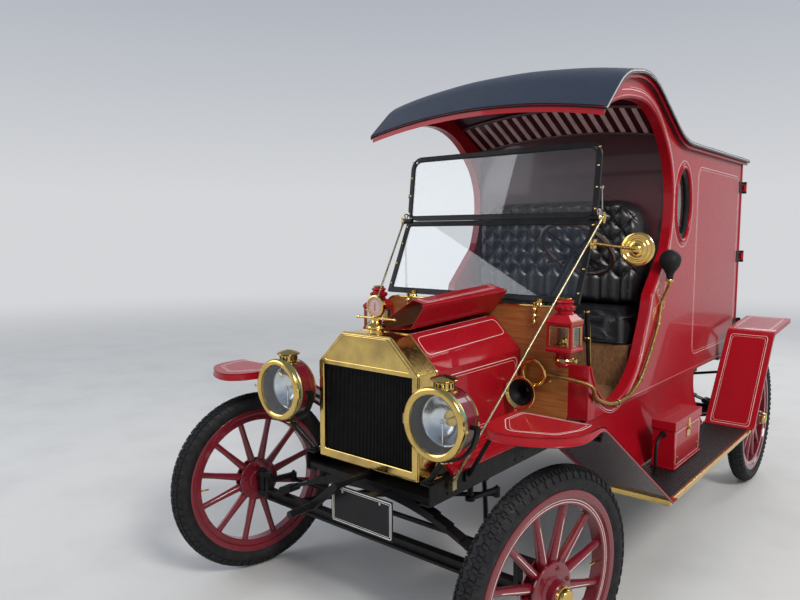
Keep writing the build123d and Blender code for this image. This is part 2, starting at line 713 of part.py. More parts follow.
# Rear doors: two panelled leaves that swing out on pins at the body's back corners
door_gap = 6.0
door_thickness = 30.0
door_bottom = 748.0
door_top = 1880.0
door_edge = body_half - door_gap
hinge_pin_radius = 6.0
hinge_barrel_radius = 11.0
hinge_barrel_half = 20.0
hinge_x = body_half + 12.0
hinge_heights = (900.0, 1320.0, 1740.0)
hinge_leaf = 70.0
hinge_knuckle = 14.0
door_panel_inset = 90.0
door_panel_depth = 8.0
door_front_y = floor_back + door_gap
door_back_y = door_front_y + door_thickness
handle_x = 45.0
handle_z = 1290.0
handle_half = 50.0
handle_reach = 40.0
handle_radius = 8.0
hinge_y = door_front_y + door_thickness / 2
for name, side in (("left", 1), ("right", -1)):
    with BuildPart() as rear_door:
        block((side * door_gap / 2, side * door_edge), (door_front_y, door_front_y + door_thickness),
              (door_bottom, door_top))
        block((side * (door_gap / 2 + door_panel_inset), side * (door_edge - door_panel_inset)),
              (door_front_y + door_thickness - door_panel_depth, door_front_y + door_thickness + 1),
              (door_bottom + door_panel_inset, door_top - door_panel_inset), mode=Mode.SUBTRACT)
        for hinge_z in hinge_heights:
            block((side * (door_edge - 10), side * hinge_x), (hinge_y - 5, hinge_y + 5),
                  (hinge_z - hinge_barrel_half, hinge_z + hinge_barrel_half))
            rod((side * hinge_x, hinge_y, hinge_z - hinge_barrel_half),
                (side * hinge_x, hinge_y, hinge_z + hinge_barrel_half), hinge_barrel_radius)
            bore((side * hinge_x, hinge_y, hinge_z - hinge_barrel_half - 1),
                 (side * hinge_x, hinge_y, hinge_z + hinge_barrel_half + 1), hinge_pin_radius + pin_clearance)
        if side == 1:
            rod((handle_x, door_back_y, handle_z), (handle_x, door_back_y + handle_reach, handle_z),
                handle_radius)
            grip_y = door_back_y + handle_reach - handle_radius
            rod((handle_x, grip_y, handle_z - handle_half), (handle_x, grip_y, handle_z + handle_half),
                handle_radius)
    rear_door.part.label = f"rear_door_{name}"
    export_step(rear_door.part, f"parts/rear_door_{name}.step")

with BuildPart() as door_hinges:
    for side in (1, -1):
        for hinge_z in hinge_heights:
            knuckle_gap = hinge_barrel_half + barrel_gap
            rod((side * hinge_x, hinge_y, hinge_z - knuckle_gap - hinge_knuckle),
                (side * hinge_x, hinge_y, hinge_z + knuckle_gap + hinge_knuckle), hinge_pin_radius)
            for end in (1, -1):
                low = hinge_z + end * knuckle_gap
                high = low + end * hinge_knuckle
                rod((side * hinge_x, hinge_y, low), (side * hinge_x, hinge_y, high), hinge_barrel_radius)
                block((side * body_half, side * (body_half + 5)), (floor_back - hinge_leaf, hinge_y),
                      (low, high))
            block((side * body_half, side * (body_half + 5)), (floor_back - hinge_leaf, floor_back - 10),
                  (hinge_z - knuckle_gap - hinge_knuckle, hinge_z + knuckle_gap + hinge_knuckle))
door_hinges.part.label = "door_hinges"
export_step(door_hinges.part, "parts/door_hinges.step")

# Firewall board with rounded top corners, and the cowl panels that join it to the body
firewall_half = 470.0
firewall_front = 608.0
firewall_top = 1165.0
firewall_corner = 60.0
firewall_thickness = body_front - firewall_front
cowl_top = 945.0
with BuildPart() as firewall:
    with BuildSketch(across(station(firewall_front))) as board:
        with Locations((0, (cross_sill_bottom + firewall_top) / 2)):
            Rectangle(2 * firewall_half, firewall_top - cross_sill_bottom)
        fillet(board.vertices().group_by(Axis.Z)[-1], firewall_corner)
    extrude(amount=-firewall_thickness)
    bore(tuple(foot), tuple(hub), column_radius + pin_clearance)
firewall.part.label = "firewall"
export_step(firewall.part, "parts/firewall.step")

with BuildPart() as cowl:
    for side in (1, -1):
        block((side * firewall_half, side * body_half), (station(firewall_front), station(body_front)),
              (sill_z, cowl_top))
cowl.part.label = "cowl"
export_step(cowl.part, "parts/cowl.step")

# Radiator: brass shell with a sloped-shoulder outline round a dark core, filler cap and gauge
radiator_front = -47.0
radiator_depth = 120.0
radiator_half = 240.0
radiator_bottom = 602.0
radiator_shoulder_z = 970.0
radiator_top = 1090.0
radiator_top_half = 118.0
core_half = 214.0
core_bottom = 636.0
core_top = 962.0
core_recess = 8.0
core_depth = 90.0
shell_corner = 24.0
shell_edge = 8.0
radiator_ear = 44.0          # length of the ears on the rails
ear_thickness = 8.0
neck_height = 20.0
neck_radius = 30.0
cap_height = 15.0
cap_edge_radius = 36.0
gauge_z = 1190.0
gauge_radius = 40.0
gauge_thickness = 20.0
wing_half = 95.0
wing_z = 1140.0
wing_radius = 6.0
shell_front = station(radiator_front)
shell_back = shell_front + radiator_depth
with BuildPart() as radiator_shell:
    with BuildSketch(across(shell_front)) as shell_outline:
        with BuildLine():
            Polyline((-radiator_half, radiator_bottom), (radiator_half, radiator_bottom),
                     (radiator_half, radiator_shoulder_z), (radiator_top_half, radiator_top),
                     (-radiator_top_half, radiator_top), (-radiator_half, radiator_shoulder_z), close=True)
        make_face()
        top_corners = [corner for group in shell_outline.vertices().group_by(Axis.Z)[1:] for corner in group]
        fillet(top_corners, shell_corner)
    extrude(amount=-radiator_depth)
    fillet(radiator_shell.faces().sort_by(Axis.Y)[0].outer_wire().edges(), shell_edge)
    block((-core_half, core_half), (shell_front - 1, shell_front + core_recess + core_depth),
          (core_bottom, core_top), mode=Mode.SUBTRACT)
    neck_y = shell_front + radiator_depth / 2
    for side in (1, -1):
        block((side * (radiator_half - 2), side * (rail_half - rail_flange / 2)),
              (neck_y - radiator_ear / 2, neck_y + radiator_ear / 2), (rail_top, rail_top + ear_thickness))
    cap_z = radiator_top + neck_height
    rod((0, neck_y, radiator_top), (0, neck_y, cap_z), neck_radius)
    rod((0, neck_y, cap_z), (0, neck_y, cap_z + cap_height), cap_edge_radius)
    rod((0, neck_y, cap_z + cap_height), (0, neck_y, gauge_z - gauge_radius + 4), 2 * wing_radius)
    rod((0, neck_y - gauge_thickness / 2, gauge_z), (0, neck_y + gauge_thickness / 2, gauge_z), gauge_radius)
    rod((-wing_half, neck_y, wing_z), (wing_half, neck_y, wing_z), wing_radius)
radiator_shell.part.label = "radiator_shell"
export_step(radiator_shell.part, "parts/radiator_shell.step")

core_slots = 25
core_slot_width = 7.0
core_slot_depth = 6.0
with BuildPart() as radiator_core:
    block((-core_half, core_half), (shell_front + core_recess, shell_front + core_recess + core_depth),
          (core_bottom, core_top))
    slot_pitch = 2 * core_half / (core_slots + 1)
    with Locations((0, shell_front + core_recess, (core_bottom + core_top) / 2)):
        with GridLocations(slot_pitch, 0, core_slots, 1):
            Box(core_slot_width, 2 * core_slot_depth, core_top - core_bottom + 2, mode=Mode.SUBTRACT)
radiator_core.part.label = "radiator_core"
export_step(radiator_core.part, "parts/radiator_core.step")

# Hood: on each side a top panel hinged along the middle and a side panel hinged to it
# columns: half width of the flat top, its height, half width and height of the side hinge,
# half width and height of the shoulder
hood_front = (112.0, 1086.0, 188.0, 1006.0, 228.0, 966.0)
hood_rear = (134.0, 1112.0, 208.0, 1036.0, 262.0, 985.0)
hood_bottom = 692.0
hood_gap = 5.5
shelf_top = hood_bottom - hood_gap
hood_sheet = 3.0
hood_open = 174.0            # the right half lies back over the left one, degrees
hood_fold = 116.0            # its side panel is folded in by this much
hood_trim = 9.0              # a side panel is this much shorter than the top, front and rear
hinge_barrel = 5.0
hinge_sink = 6.0             # the side hinge's line lies this far under the outer surface
centre_lift = 4.5            # the centre hinge's line stands this far above it
bend_share = 0.414           # how far a bend of 45 degrees shifts the inner corner, in sheet thicknesses
hood_front_y = shell_back + hood_gap
hood_rear_y = station(firewall_front) - hood_gap


def slope(section):
    # Unit vectors down the sloped part of the top panel and out of it.
    flat_half, flat_z, hinge_half, hinge_z, _, _ = section
    down = Vector(hinge_half - flat_half, hinge_z - flat_z).normalized()
    return down, Vector(-down.Y, down.X)


def top_outline(section, side, start):
    # The top panel's corners from the centre hinge to the side hinge.
    flat_half, flat_z, hinge_half, hinge_z, _, _ = section
    down, out = slope(section)
    end = Vector(hinge_half, hinge_z) - down * 2
    inner_end = end - out * hood_sheet
    corners = [(start, flat_z), (flat_half, flat_z), (end.X, end.Y), (inner_end.X, inner_end.Y),
               (flat_half - bend_share * hood_sheet, flat_z - hood_sheet), (start, flat_z - hood_sheet)]
    return [(side * x, z) for x, z in corners]


def side_outline(section, side, start, bottom):
    # The side panel's corners from the side hinge round the shoulder to the bottom edge.
    _, _, hinge_half, hinge_z, shoulder_half, shoulder_z = section
    down, out = slope(section)
    first = Vector(hinge_half, hinge_z) + down * start
    inner_first = first - out * hood_sheet
    inner_half_width = shoulder_half - hood_sheet
    corners = [(first.X, first.Y), (shoulder_half, shoulder_z), (shoulder_half, bottom),
               (inner_half_width, bottom), (inner_half_width, shoulder_z - bend_share * hood_sheet),
               (inner_first.X, inner_first.Y)]
    return [(side * x, z) for x, z in corners]


def hinge_point_at(section, side, y):
    # A point on the side hinge's line.
    _, _, hinge_half, hinge_z, _, _ = section
    _, out = slope(section)
    return Vector(side * (hinge_half - out.X * hinge_sink), y, hinge_z - out.Y * hinge_sink)


def hood_panel(front_outline, rear_outline, trim=0.0):
    # A sheet stretched between its front and rear outlines.
    with BuildPart() as panel:
        for y, outline in ((hood_front_y + trim, front_outline), (hood_rear_y - trim, rear_outline)):
            with BuildSketch(across(y)):
                with BuildLine():
                    Polyline(*outline, close=True)
                make_face()
        loft(ruled=True)
    return panel.part


side_clear = sqrt((hinge_barrel + slip) ** 2 - (hinge_sink - hood_sheet) ** 2)
centre_clear = sqrt((hinge_barrel + slip) ** 2 - centre_lift ** 2)
left_top = hood_panel(top_outline(hood_front, 1, 0.0), top_outline(hood_rear, 1, 0.0))
left_side = hood_panel(side_outline(hood_front, 1, 1.0, shelf_top),
                       side_outline(hood_rear, 1, 1.0, shelf_top))
right_top = hood_panel(top_outline(hood_front, -1, centre_clear), top_outline(hood_rear, -1, centre_clear))
right_side = hood_panel(side_outline(hood_front, -1, side_clear, hood_bottom),
                        side_outline(hood_rear, -1, side_clear, hood_bottom), hood_trim)

centre_start = Vector(0, hood_front_y, hood_front[1] + centre_lift)
centre_end = Vector(0, hood_rear_y, hood_rear[1] + centre_lift)
centre_hinge = Axis(tuple(centre_start), tuple(centre_end - centre_start))
with BuildPart() as hood_left:
    add(left_top)
    add(left_side)
    rod(tuple(centre_start), tuple(centre_end), hinge_barrel)
    rod(tuple(hinge_point_at(hood_front, 1, hood_front_y)), tuple(hinge_point_at(hood_rear, 1, hood_rear_y)),
        hinge_barrel)
hood_left.part.label = "hood_left"
export_step(hood_left.part, "parts/hood_left.step")

side_start = hinge_point_at(hood_front, -1, hood_front_y)
side_end = hinge_point_at(hood_rear, -1, hood_rear_y)
side_hinge = Axis(tuple(side_start), tuple(side_end - side_start))
with BuildPart() as closed_top:
    add(right_top)
    rod(tuple(side_start), tuple(side_end), hinge_barrel)
with BuildPart() as hood_top_right:
    add(closed_top.part.rotate(centre_hinge, hood_open))
hood_top_right.part.label = "hood_top_right"
export_step(hood_top_right.part, "parts/hood_top_right.step")

with BuildPart() as hood_side_right:
    add(right_side.rotate(side_hinge, -hood_fold).rotate(centre_hinge, hood_open))
hood_side_right.part.label = "hood_side_right"
export_step(hood_side_right.part, "parts/hood_side_right.step")

# Hood shelves: boards that slope from the hood's bottom edges down to the rails
shelf_board = 8.0
shelf_foot = 16.0
shelf_lip = 6.0
with BuildPart() as hood_shelves:
    for side in (1, -1):
        for y, section in ((shell_back, hood_front), (station(firewall_front), hood_rear)):
            hood_half = section[4]
            outline = [(hood_half - shelf_lip, shelf_top), (hood_half + shelf_lip, shelf_top),
                       (rail_half, rail_top + shelf_board + shelf_lip), (rail_half, rail_top),
                       (rail_half - shelf_foot, rail_top), (rail_half - shelf_foot, rail_top + shelf_lip),
                       (hood_half - shelf_lip, shelf_top - shelf_board)]
            with BuildSketch(across(y)):
                with BuildLine():
                    Polyline(*[(side * x, z) for x, z in outline], close=True)
                make_face()
        loft(ruled=True)
hood_shelves.part.label = "hood_shelves"
export_step(hood_shelves.part, "parts/hood_shelves.step")

# Engine: block, head, crankcase, flywheel housing with the gearbox behind it, and the exhaust manifold
engine_front = 150.0
engine_length = 400.0
engine_half = 75.0
engine_deck = 880.0
head_height = 45.0
head_inset = 6.0
pan_top = 700.0
pan_half = 120.0
pan_bottom = 478.0
pan_front = 120.0
crank_z = 576.0
crank_radius = 11.0
flywheel_radius = 124.0
flywheel_z = 560.0
flywheel_length = 150.0
gearbox_gap = 25.0           # to the end of the drive tube
water_pipe_radius = 20.0
# columns: x, distance behind the front axle, height
upper_water_pipe = [(0.0, 185.0, 915.0), (0.0, 185.0, 1004.0)]
lower_water_pipe = [(70.0, 200.0, 770.0), (152.0, 200.0, 770.0), (152.0, 125.0, 692.0)]
manifold_z = 830.0
manifold_reach = 30.0
manifold_radius = 24.0
port_radius = 18.0
ports = 4
engine_back = engine_front + engine_length
flywheel_back = station(engine_back) + flywheel_length
with BuildPart() as engine:
    block((-engine_half, engine_half), (station(engine_front), station(engine_back)), (pan_top, engine_deck))
    block((-engine_half + head_inset, engine_half - head_inset),
          (station(engine_front + head_inset), station(engine_back - head_inset)),
          (engine_deck, engine_deck + head_height))
    block((-pan_half, pan_half), (station(pan_front), station(engine_back)), (pan_bottom, pan_top))
    rod((0, station(engine_back), flywheel_z), (0, flywheel_back, flywheel_z), flywheel_radius)
    rod((0, flywheel_back, gearbox_start_z), (0, station(drive_tube_front) - gearbox_gap, gearbox_end_z),
        gearbox_radius)
    rod((0, station(radius_rod_joint), radius_rod_joint_z + radius_rod_ball + slip),
        (0, station(radius_rod_joint), flywheel_z - 20), perch_radius)
    manifold_x = -engine_half - manifold_reach
    rod((manifold_x, station(engine_front + manifold_radius), manifold_z),
        (manifold_x, station(engine_back - manifold_radius), manifold_z), manifold_radius)
    for index in range(ports):
        y = station(engine_front + engine_length * (index + 0.5) / ports)
        rod((manifold_x, y, manifold_z), (-engine_half + 1, y, manifold_z), port_radius)
    for route in (upper_water_pipe, lower_water_pipe):
        x, _, z = route[-1]
        bends = [(x, station(distance), z) for x, distance, z in route] + [(x, shell_back + slip, z)]
        pipe(bends, water_pipe_radius)
engine.part.label = "engine"
export_step(engine.part, "parts/engine.step")

# Starting crank below the radiator, its arm hanging to the car's right
crank_grip = (-118.0, 478.0)
crank_reach = 210.0
grip_length = 100.0
grip_radius = 13.0
with BuildPart() as starting_crank:
    rod((0, station(pan_front), crank_z), (0, station(-crank_reach) + 2, crank_z), crank_radius)
    with BuildSketch(across(station(-crank_reach))):
        link((0, crank_z), crank_grip, 2.4 * crank_radius)
    extrude(amount=-2 * crank_radius)
    rod((crank_grip[0], station(-crank_reach) + crank_radius, crank_grip[1]),
        (crank_grip[0], station(-crank_reach - grip_length), crank_grip[1]), grip_radius)
starting_crank.part.label = "starting_crank"
export_step(starting_crank.part, "parts/starting_crank.step")

# Fenders: flat bills with a down-turned lip, then a straight slope to the running board
fender_sheet = 4.0
fender_lip = 26.0
fender_lap = 40.0            # each fender laps over the running board
fender_inner = 562.0
fender_outer = 845.0
fender_height = 890.0
fender_ridge = 70.0
fender_start = -260.0        # ahead of the bill's edge, which is cut to its plan
ridge_radius = 110.0         # both fenders are rolled to this where bill and slope meet
foot_radius = 20.0           # and to this where they meet the running board
board_z = 445.0
board_thickness = 18.0
board_bottom = board_z - board_thickness
board_front = 745.0
board_back = 2010.0
board_inner = 602.0
board_outer = 830.0
# columns: x, distance behind the front axle
front_plan = [(fender_inner, -95.0), (640.0, -196.0), (800.0, -132.0), (fender_outer, -20.0)]
hollow_start = -150.0        # the hollow under the bill starts here


def fender_band(points, radii, top, bottom, x_low, x_high):
    # A bent sheet along a side profile, given by distance and height, from one x to another.
    upper = [(station(distance), z + top) for distance, z in points]
    lower = [(station(distance), z + bottom) for distance, z in points]
    with BuildPart() as band:
        with BuildSketch(Plane.YZ.offset(x_low)):
            with BuildLine():
                high = FilletPolyline(*upper, radius=radii)
                low = FilletPolyline(*lower, radius=radii)
                Line(high @ 0, low @ 0)
                Line(high @ 1, low @ 1)
            make_face()
        extrude(amount=x_high - x_low)
    return band.part


front_slope = [(fender_ridge, fender_height), (board_front, board_z + fender_sheet)]
front_radii = [ridge_radius, foot_radius]
front_end = (board_front + fender_lap, board_z + fender_sheet)
plan_points = [(x, station(distance)) for x, distance in front_plan]
front_skin = [(fender_start, fender_height)] + front_slope + [front_end]
front_hollow = [(hollow_start, fender_height)] + front_slope + [(front_end[0] + 1, front_end[1])]
with BuildPart() as left_fender:
    add(fender_band(front_skin, front_radii, 0.0, -fender_lip, fender_inner, fender_outer))
    with BuildSketch(Plane.XY.offset(board_z - 2 * fender_lip)):
        with BuildLine():
            nose = Spline(*plan_points, tangents=[(0.3, -1), (0, 1)])
            Polyline(nose @ 1, (fender_outer, station(board_front + fender_lap)),
                     (fender_inner, station(board_front + fender_lap)), nose @ 0)
        make_face()
    extrude(amount=2 * fender_height, mode=Mode.INTERSECT)
    add(fender_band(front_hollow, front_radii, -fender_sheet, -fender_lip - 1, fender_inner + fender_sheet,
                    fender_outer - fender_sheet), mode=Mode.SUBTRACT)
with BuildPart() as front_fenders:
    add(left_fender.part)
    mirror(about=Plane.YZ)
front_fenders.part.label = "front_fenders"
export_step(front_fenders.part, "parts/front_fenders.step")

rear_ridge = (2400.0, 915.0)
rear_tip = (2832.0, 946.0)
rear_slope = [(board_back, board_z + fender_sheet), rear_ridge]
rear_radii = [foot_radius, ridge_radius]
rear_start = (board_back - fender_lap, board_z + fender_sheet)
rear_skin = [rear_start] + rear_slope + [rear_tip]
rear_hollow = [(rear_start[0] - 1, rear_start[1])] + rear_slope + [(rear_tip[0] - fender_sheet, rear_tip[1])]
with BuildPart() as rear_fenders:
    add(fender_band(rear_skin, rear_radii, 0.0, -fender_lip, board_inner, fender_outer))
    add(fender_band(rear_hollow, rear_radii, -fender_sheet, -fender_lip - 1, board_inner + fender_sheet,
                    fender_outer - fender_sheet), mode=Mode.SUBTRACT)
    block((board_inner - 1, board_outer + slip), (station(board_back - fender_lap - 1), station(board_back)),
          (board_z - 2 * fender_lip, board_z), mode=Mode.SUBTRACT)
    mirror(about=Plane.YZ)
rear_fenders.part.label = "rear_fenders"
export_step(rear_fenders.part, "parts/rear_fenders.step")

# Running boards with their brackets from the rails
bracket_width = 40.0
bracket_thickness = 8.0
bracket_inset = 150.0
bracket_end = board_outer - 40.0
with BuildPart() as running_boards:
    for side in (1, -1):
        block((side * board_inner, side * board_outer), (station(board_front), station(board_back)),
              (board_bottom, board_z))
        for share in (-1, 0, 1):
            board_reach = (board_back - board_front) / 2 - bracket_inset
            y = station((board_front + board_back) / 2 + share * board_reach)
            with BuildSketch(across(y - bracket_width / 2)):
                with BuildLine():
                    Polyline((side * rail_half, rail_bottom + bracket_thickness),
                             (side * board_inner, board_bottom), (side * bracket_end, board_bottom),
                             (side * bracket_end, board_bottom - bracket_thickness),
                             (side * board_inner, board_bottom - bracket_thickness),
                             (side * rail_half, rail_bottom), close=True)
                make_face()
            extrude(amount=-bracket_width)
running_boards.part.label = "running_boards"
export_step(running_boards.part, "parts/running_boards.step")

# Splash aprons: curved sheets from the sills down to the running boards
apron_sheet = 3.0
apron_bulge = 4.0            # past the body's side
apron_bulge_z = 560.0
apron_back = board_back - fender_lap - slip
apron_top_x = body_half - 6.0
with BuildPart() as splash_aprons:
    with BuildSketch(across(station(firewall_front))):
        with BuildLine():
            outer_arc = ThreePointArc((apron_top_x, sill_z), (body_half + apron_bulge, apron_bulge_z),
                                      (board_inner, board_z))
            inner_arc = ThreePointArc((apron_top_x - apron_sheet, sill_z),
                                      (body_half + apron_bulge - apron_sheet, apron_bulge_z - apron_sheet),
                                      (board_inner - apron_sheet, board_z))
            Line(outer_arc @ 0, inner_arc @ 0)
            Line(outer_arc @ 1, inner_arc @ 1)
        make_face()
    extrude(amount=-(apron_back - firewall_front))
    add(fender_band(front_skin[:-1] + [(front_end[0] + slip, front_end[1])], front_radii, slip,
                    -fender_height / 2, body_half - body_wall, board_outer), mode=Mode.SUBTRACT)
    mirror(about=Plane.YZ)
splash_aprons.part.label = "splash_aprons"
export_step(splash_aprons.part, "parts/splash_aprons.step")

# Windshield: a lower pane that leans back and a steeper upper one, on two brass posts
shield_half = 490.0
# columns: distance behind the front axle, height
shield_points = [(641.0, 1180.0), (792.0, 1516.0), (829.0, 1827.0)]
shield_bar = 20.0
shield_depth = 14.0
glass_thickness = 5.0
shield_corner = 60.0
pane_gap = 3.0
shield_pivot_radius = 12.0
shield_pivot_inset = 30.0
shield_pivot_reach = 12.0
post_x = 325.0
post_radius = 9.0
post_clip_half = 12.0
post_clip_top = firewall_top - 20.0
post_clip_bottom = firewall_top - 60.0


def pane_plane(low, high):
    # A plane on a pane's outer face, local x to the car's left and local y up the pane.
    start = Vector(0, station(low[0]), low[1])
    up = Vector(0, high[0] - low[0], high[1] - low[1])
    return Plane(origin=tuple(start), x_dir=(1, 0, 0), z_dir=tuple(Vector(1, 0, 0).cross(up))), up.length


with BuildPart() as windshield_frame:
    for index in range(2):
        plane, length = pane_plane(shield_points[index], shield_points[index + 1])
        with BuildSketch(plane) as pane:
            with Locations((0, length / 2)):
                Rectangle(2 * shield_half, length - pane_gap)
            if index == 1:
                fillet(pane.vertices().group_by(Axis.Z)[-1], shield_corner)
            with Locations((0, length / 2)):
                Rectangle(2 * (shield_half - shield_bar), length - pane_gap - 2 * shield_bar,
                          mode=Mode.SUBTRACT)
        extrude(amount=-shield_depth)
    hinge_distance, hinge_z = shield_points[1]
    pivot_y = station(hinge_distance)
    post_y = station(shield_points[0][0])
    for side in (1, -1):
        rod((side * (shield_half - shield_pivot_inset), pivot_y, hinge_z),
            (side * (shield_half + shield_pivot_reach), pivot_y, hinge_z), shield_pivot_radius)
        x = side * post_x
        rod((x, post_y, post_clip_bottom + 10), (x, post_y, shield_points[0][1] + 8), post_radius)
        block((x - post_clip_half, x + post_clip_half), (station(body_front), post_y + post_clip_half),
              (post_clip_bottom, post_clip_top))
windshield_frame.part.label = "windshield_frame"
export_step(windshield_frame.part, "parts/windshield_frame.step")

with BuildPart() as window_glass:
    for index in range(2):
        plane, length = pane_plane(shield_points[index], shield_points[index + 1])
        with BuildSketch(plane.offset(-(shield_depth - glass_thickness) / 2)):
            with Locations((0, length / 2)):
                Rectangle(2 * (shield_half - shield_bar), length - pane_gap - 2 * shield_bar)
        extrude(amount=-glass_thickness)
window_glass.part.label = "window_glass"
export_step(window_glass.part, "parts/window_glass.step")

# Stay rods from the windshield's hinge down to the front of the rails
stay_radius = 7.0
stay_foot_distance = 56.0
stay_foot_z = 590.0
stay_pad = 8.0
stay_eye = 10.0
stay_pad_half = 18.0
stay_start_x = shield_half + shield_pivot_reach + slip
stay_top_x = stay_start_x + stay_radius + 4
stay_foot_x = rail_half + stay_pad + 2
stay_foot_y = station(stay_foot_distance)
with BuildPart() as windshield_stays:
    for side in (1, -1):
        rod((side * stay_top_x, pivot_y, hinge_z), (side * stay_foot_x, stay_foot_y, stay_foot_z),
            stay_radius)
        rod((side * stay_start_x, pivot_y, hinge_z), (side * (stay_top_x + stay_eye / 2), pivot_y, hinge_z),
            stay_eye + 2)
        block((side * rail_half, side * (rail_half + stay_pad)),
              (stay_foot_y - stay_pad_half, stay_foot_y + stay_pad_half),
              (stay_foot_z - 1.5 * stay_pad_half, stay_foot_z + stay_pad_half))
windshield_stays.part.label = "windshield_stays"
export_step(windshield_stays.part, "parts/windshield_stays.step")

# Seat: cushion and tall back, plain solids of the true size
cushion_top = 1105.0
cushion_front = 1140.0
back_front = 1350.0
back_half = 455.0
back_top = 1620.0
back_corner = 150.0
cushion_corner = 40.0
with BuildPart() as seat_cushion:
    block((-seat_half + 4, seat_half - 4), (station(cushion_front), station(partition_front) - slip),
          (seat_box_top + slip, cushion_top))
    fillet(seat_cushion.edges().filter_by(Axis.Z), cushion_corner)
seat_cushion.part.label = "seat_cushion"
export_step(seat_cushion.part, "parts/seat_cushion.step")

with BuildPart() as seat_back:
    with BuildSketch(across(station(back_front))) as back_outline:
        with Locations((0, (cushion_top + slip + back_top) / 2)):
            Rectangle(2 * back_half, back_top - cushion_top - slip)
        fillet(back_outline.vertices().group_by(Axis.Z)[-1], back_corner)
    extrude(amount=-(partition_front - back_front - slip))
seat_back.part.label = "seat_back"
export_step(seat_back.part, "parts/seat_back.step")

# Headlamps: turned drums with a glass, a chimney on top, held in forks on the rails
lamp_x = 376.0
lamp_z = 852.0
lamp_front = -147.0
lamp_glass_radius = 100.0
lamp_ring_radius = 120.0
lamp_ring_depth = 22.0
lamp_drum_radius = 104.0
lamp_drum_depth = 110.0
lamp_depth = 150.0
lamp_wall = 10.0
chimney_distance = 66.0      # behind the lamp's front
chimney_radius = 36.0
chimney_top = 138.0          # above the lamp's centre
chimney_cap_radius = 46.0
chimney_cap = 12.0
# columns: distance behind the lamp's front, radius
lamp_profile = [(0.0, lamp_glass_radius), (0.0, lamp_ring_radius), (lamp_ring_depth, lamp_ring_radius),
                (lamp_ring_depth, lamp_drum_radius), (lamp_drum_depth, lamp_drum_radius),
                (lamp_depth - lamp_wall, 0.67 * lamp_drum_radius), (lamp_depth, 0.4 * lamp_drum_radius),
                (lamp_depth, 0.0), (0.4 * lamp_depth, 0.0), (0.4 * lamp_depth, 0.6 * lamp_glass_radius),
                (lamp_wall, lamp_glass_radius)]
chimney_y = station(lamp_front + chimney_distance)
with BuildPart() as headlamps:
    for side in (1, -1):
        x = side * lamp_x
        with BuildSketch(Plane(origin=(x, station(lamp_front), lamp_z), x_dir=(0, 1, 0), z_dir=(1, 0, 0))):
            with BuildLine():
                Polyline(*lamp_profile, close=True)
            make_face()
        revolve(axis=Axis((x, station(lamp_front), lamp_z), (0, 1, 0)))
        chimney_z = lamp_z + chimney_top
        rod((x, chimney_y, lamp_z + lamp_drum_radius - lamp_wall), (x, chimney_y, chimney_z), chimney_radius)
        rod((x, chimney_y, chimney_z), (x, chimney_y, chimney_z + chimney_cap), chimney_cap_radius)
headlamps.part.label = "headlamps"
export_step(headlamps.part, "parts/headlamps.step")

lamp_glass_start = 2.0
lamp_glass_thickness = 5.0
with BuildPart() as lamp_glass:
    for side in (1, -1):
        glass_y = station(lamp_front) + lamp_glass_start
        rod((side * lamp_x, glass_y, lamp_z), (side * lamp_x, glass_y + lamp_glass_thickness, lamp_z),
            lamp_glass_radius)
lamp_glass.part.label = "lamp_glass"
export_step(lamp_glass.part, "parts/lamp_glass.step")

fork_inner = 123.0
fork_thickness = 9.0
fork_width = 24.0
fork_pin_radius = 8.0
fork_stem_radius = 10.0
fork_flange_radius = 16.0
fork_flange = 10.0
fork_foot_x = 285.0
fork_foot_distance = -35.0
with BuildPart() as lamp_forks:
    for side in (1, -1):
        x = side * lamp_x
        with BuildSketch(across(chimney_y - fork_width / 2)):
            with BuildLine():
                low = CenterArc((x, lamp_z), fork_inner + fork_thickness, 180, 180)
                high = CenterArc((x, lamp_z), fork_inner, 180, 180)
                Line(low @ 0, high @ 0)
                Line(low @ 1, high @ 1)
            make_face()
        extrude(amount=-fork_width)
        for end in (1, -1):
            rod((x + end * lamp_drum_radius, chimney_y, lamp_z - 2),
                (x + end * (fork_inner + fork_thickness), chimney_y, lamp_z - 2), fork_pin_radius)
        foot_x = side * fork_foot_x
        foot_y = station(fork_foot_distance)
        rod((x, chimney_y, lamp_z - fork_inner - fork_thickness / 2),
            (foot_x, foot_y, rail_top + fork_flange - 1), fork_stem_radius)
        rod((foot_x, foot_y, rail_top), (foot_x, foot_y, rail_top + fork_flange), fork_flange_radius)
lamp_forks.part.label = "lamp_forks"
export_step(lamp_forks.part, "parts/lamp_forks.step")

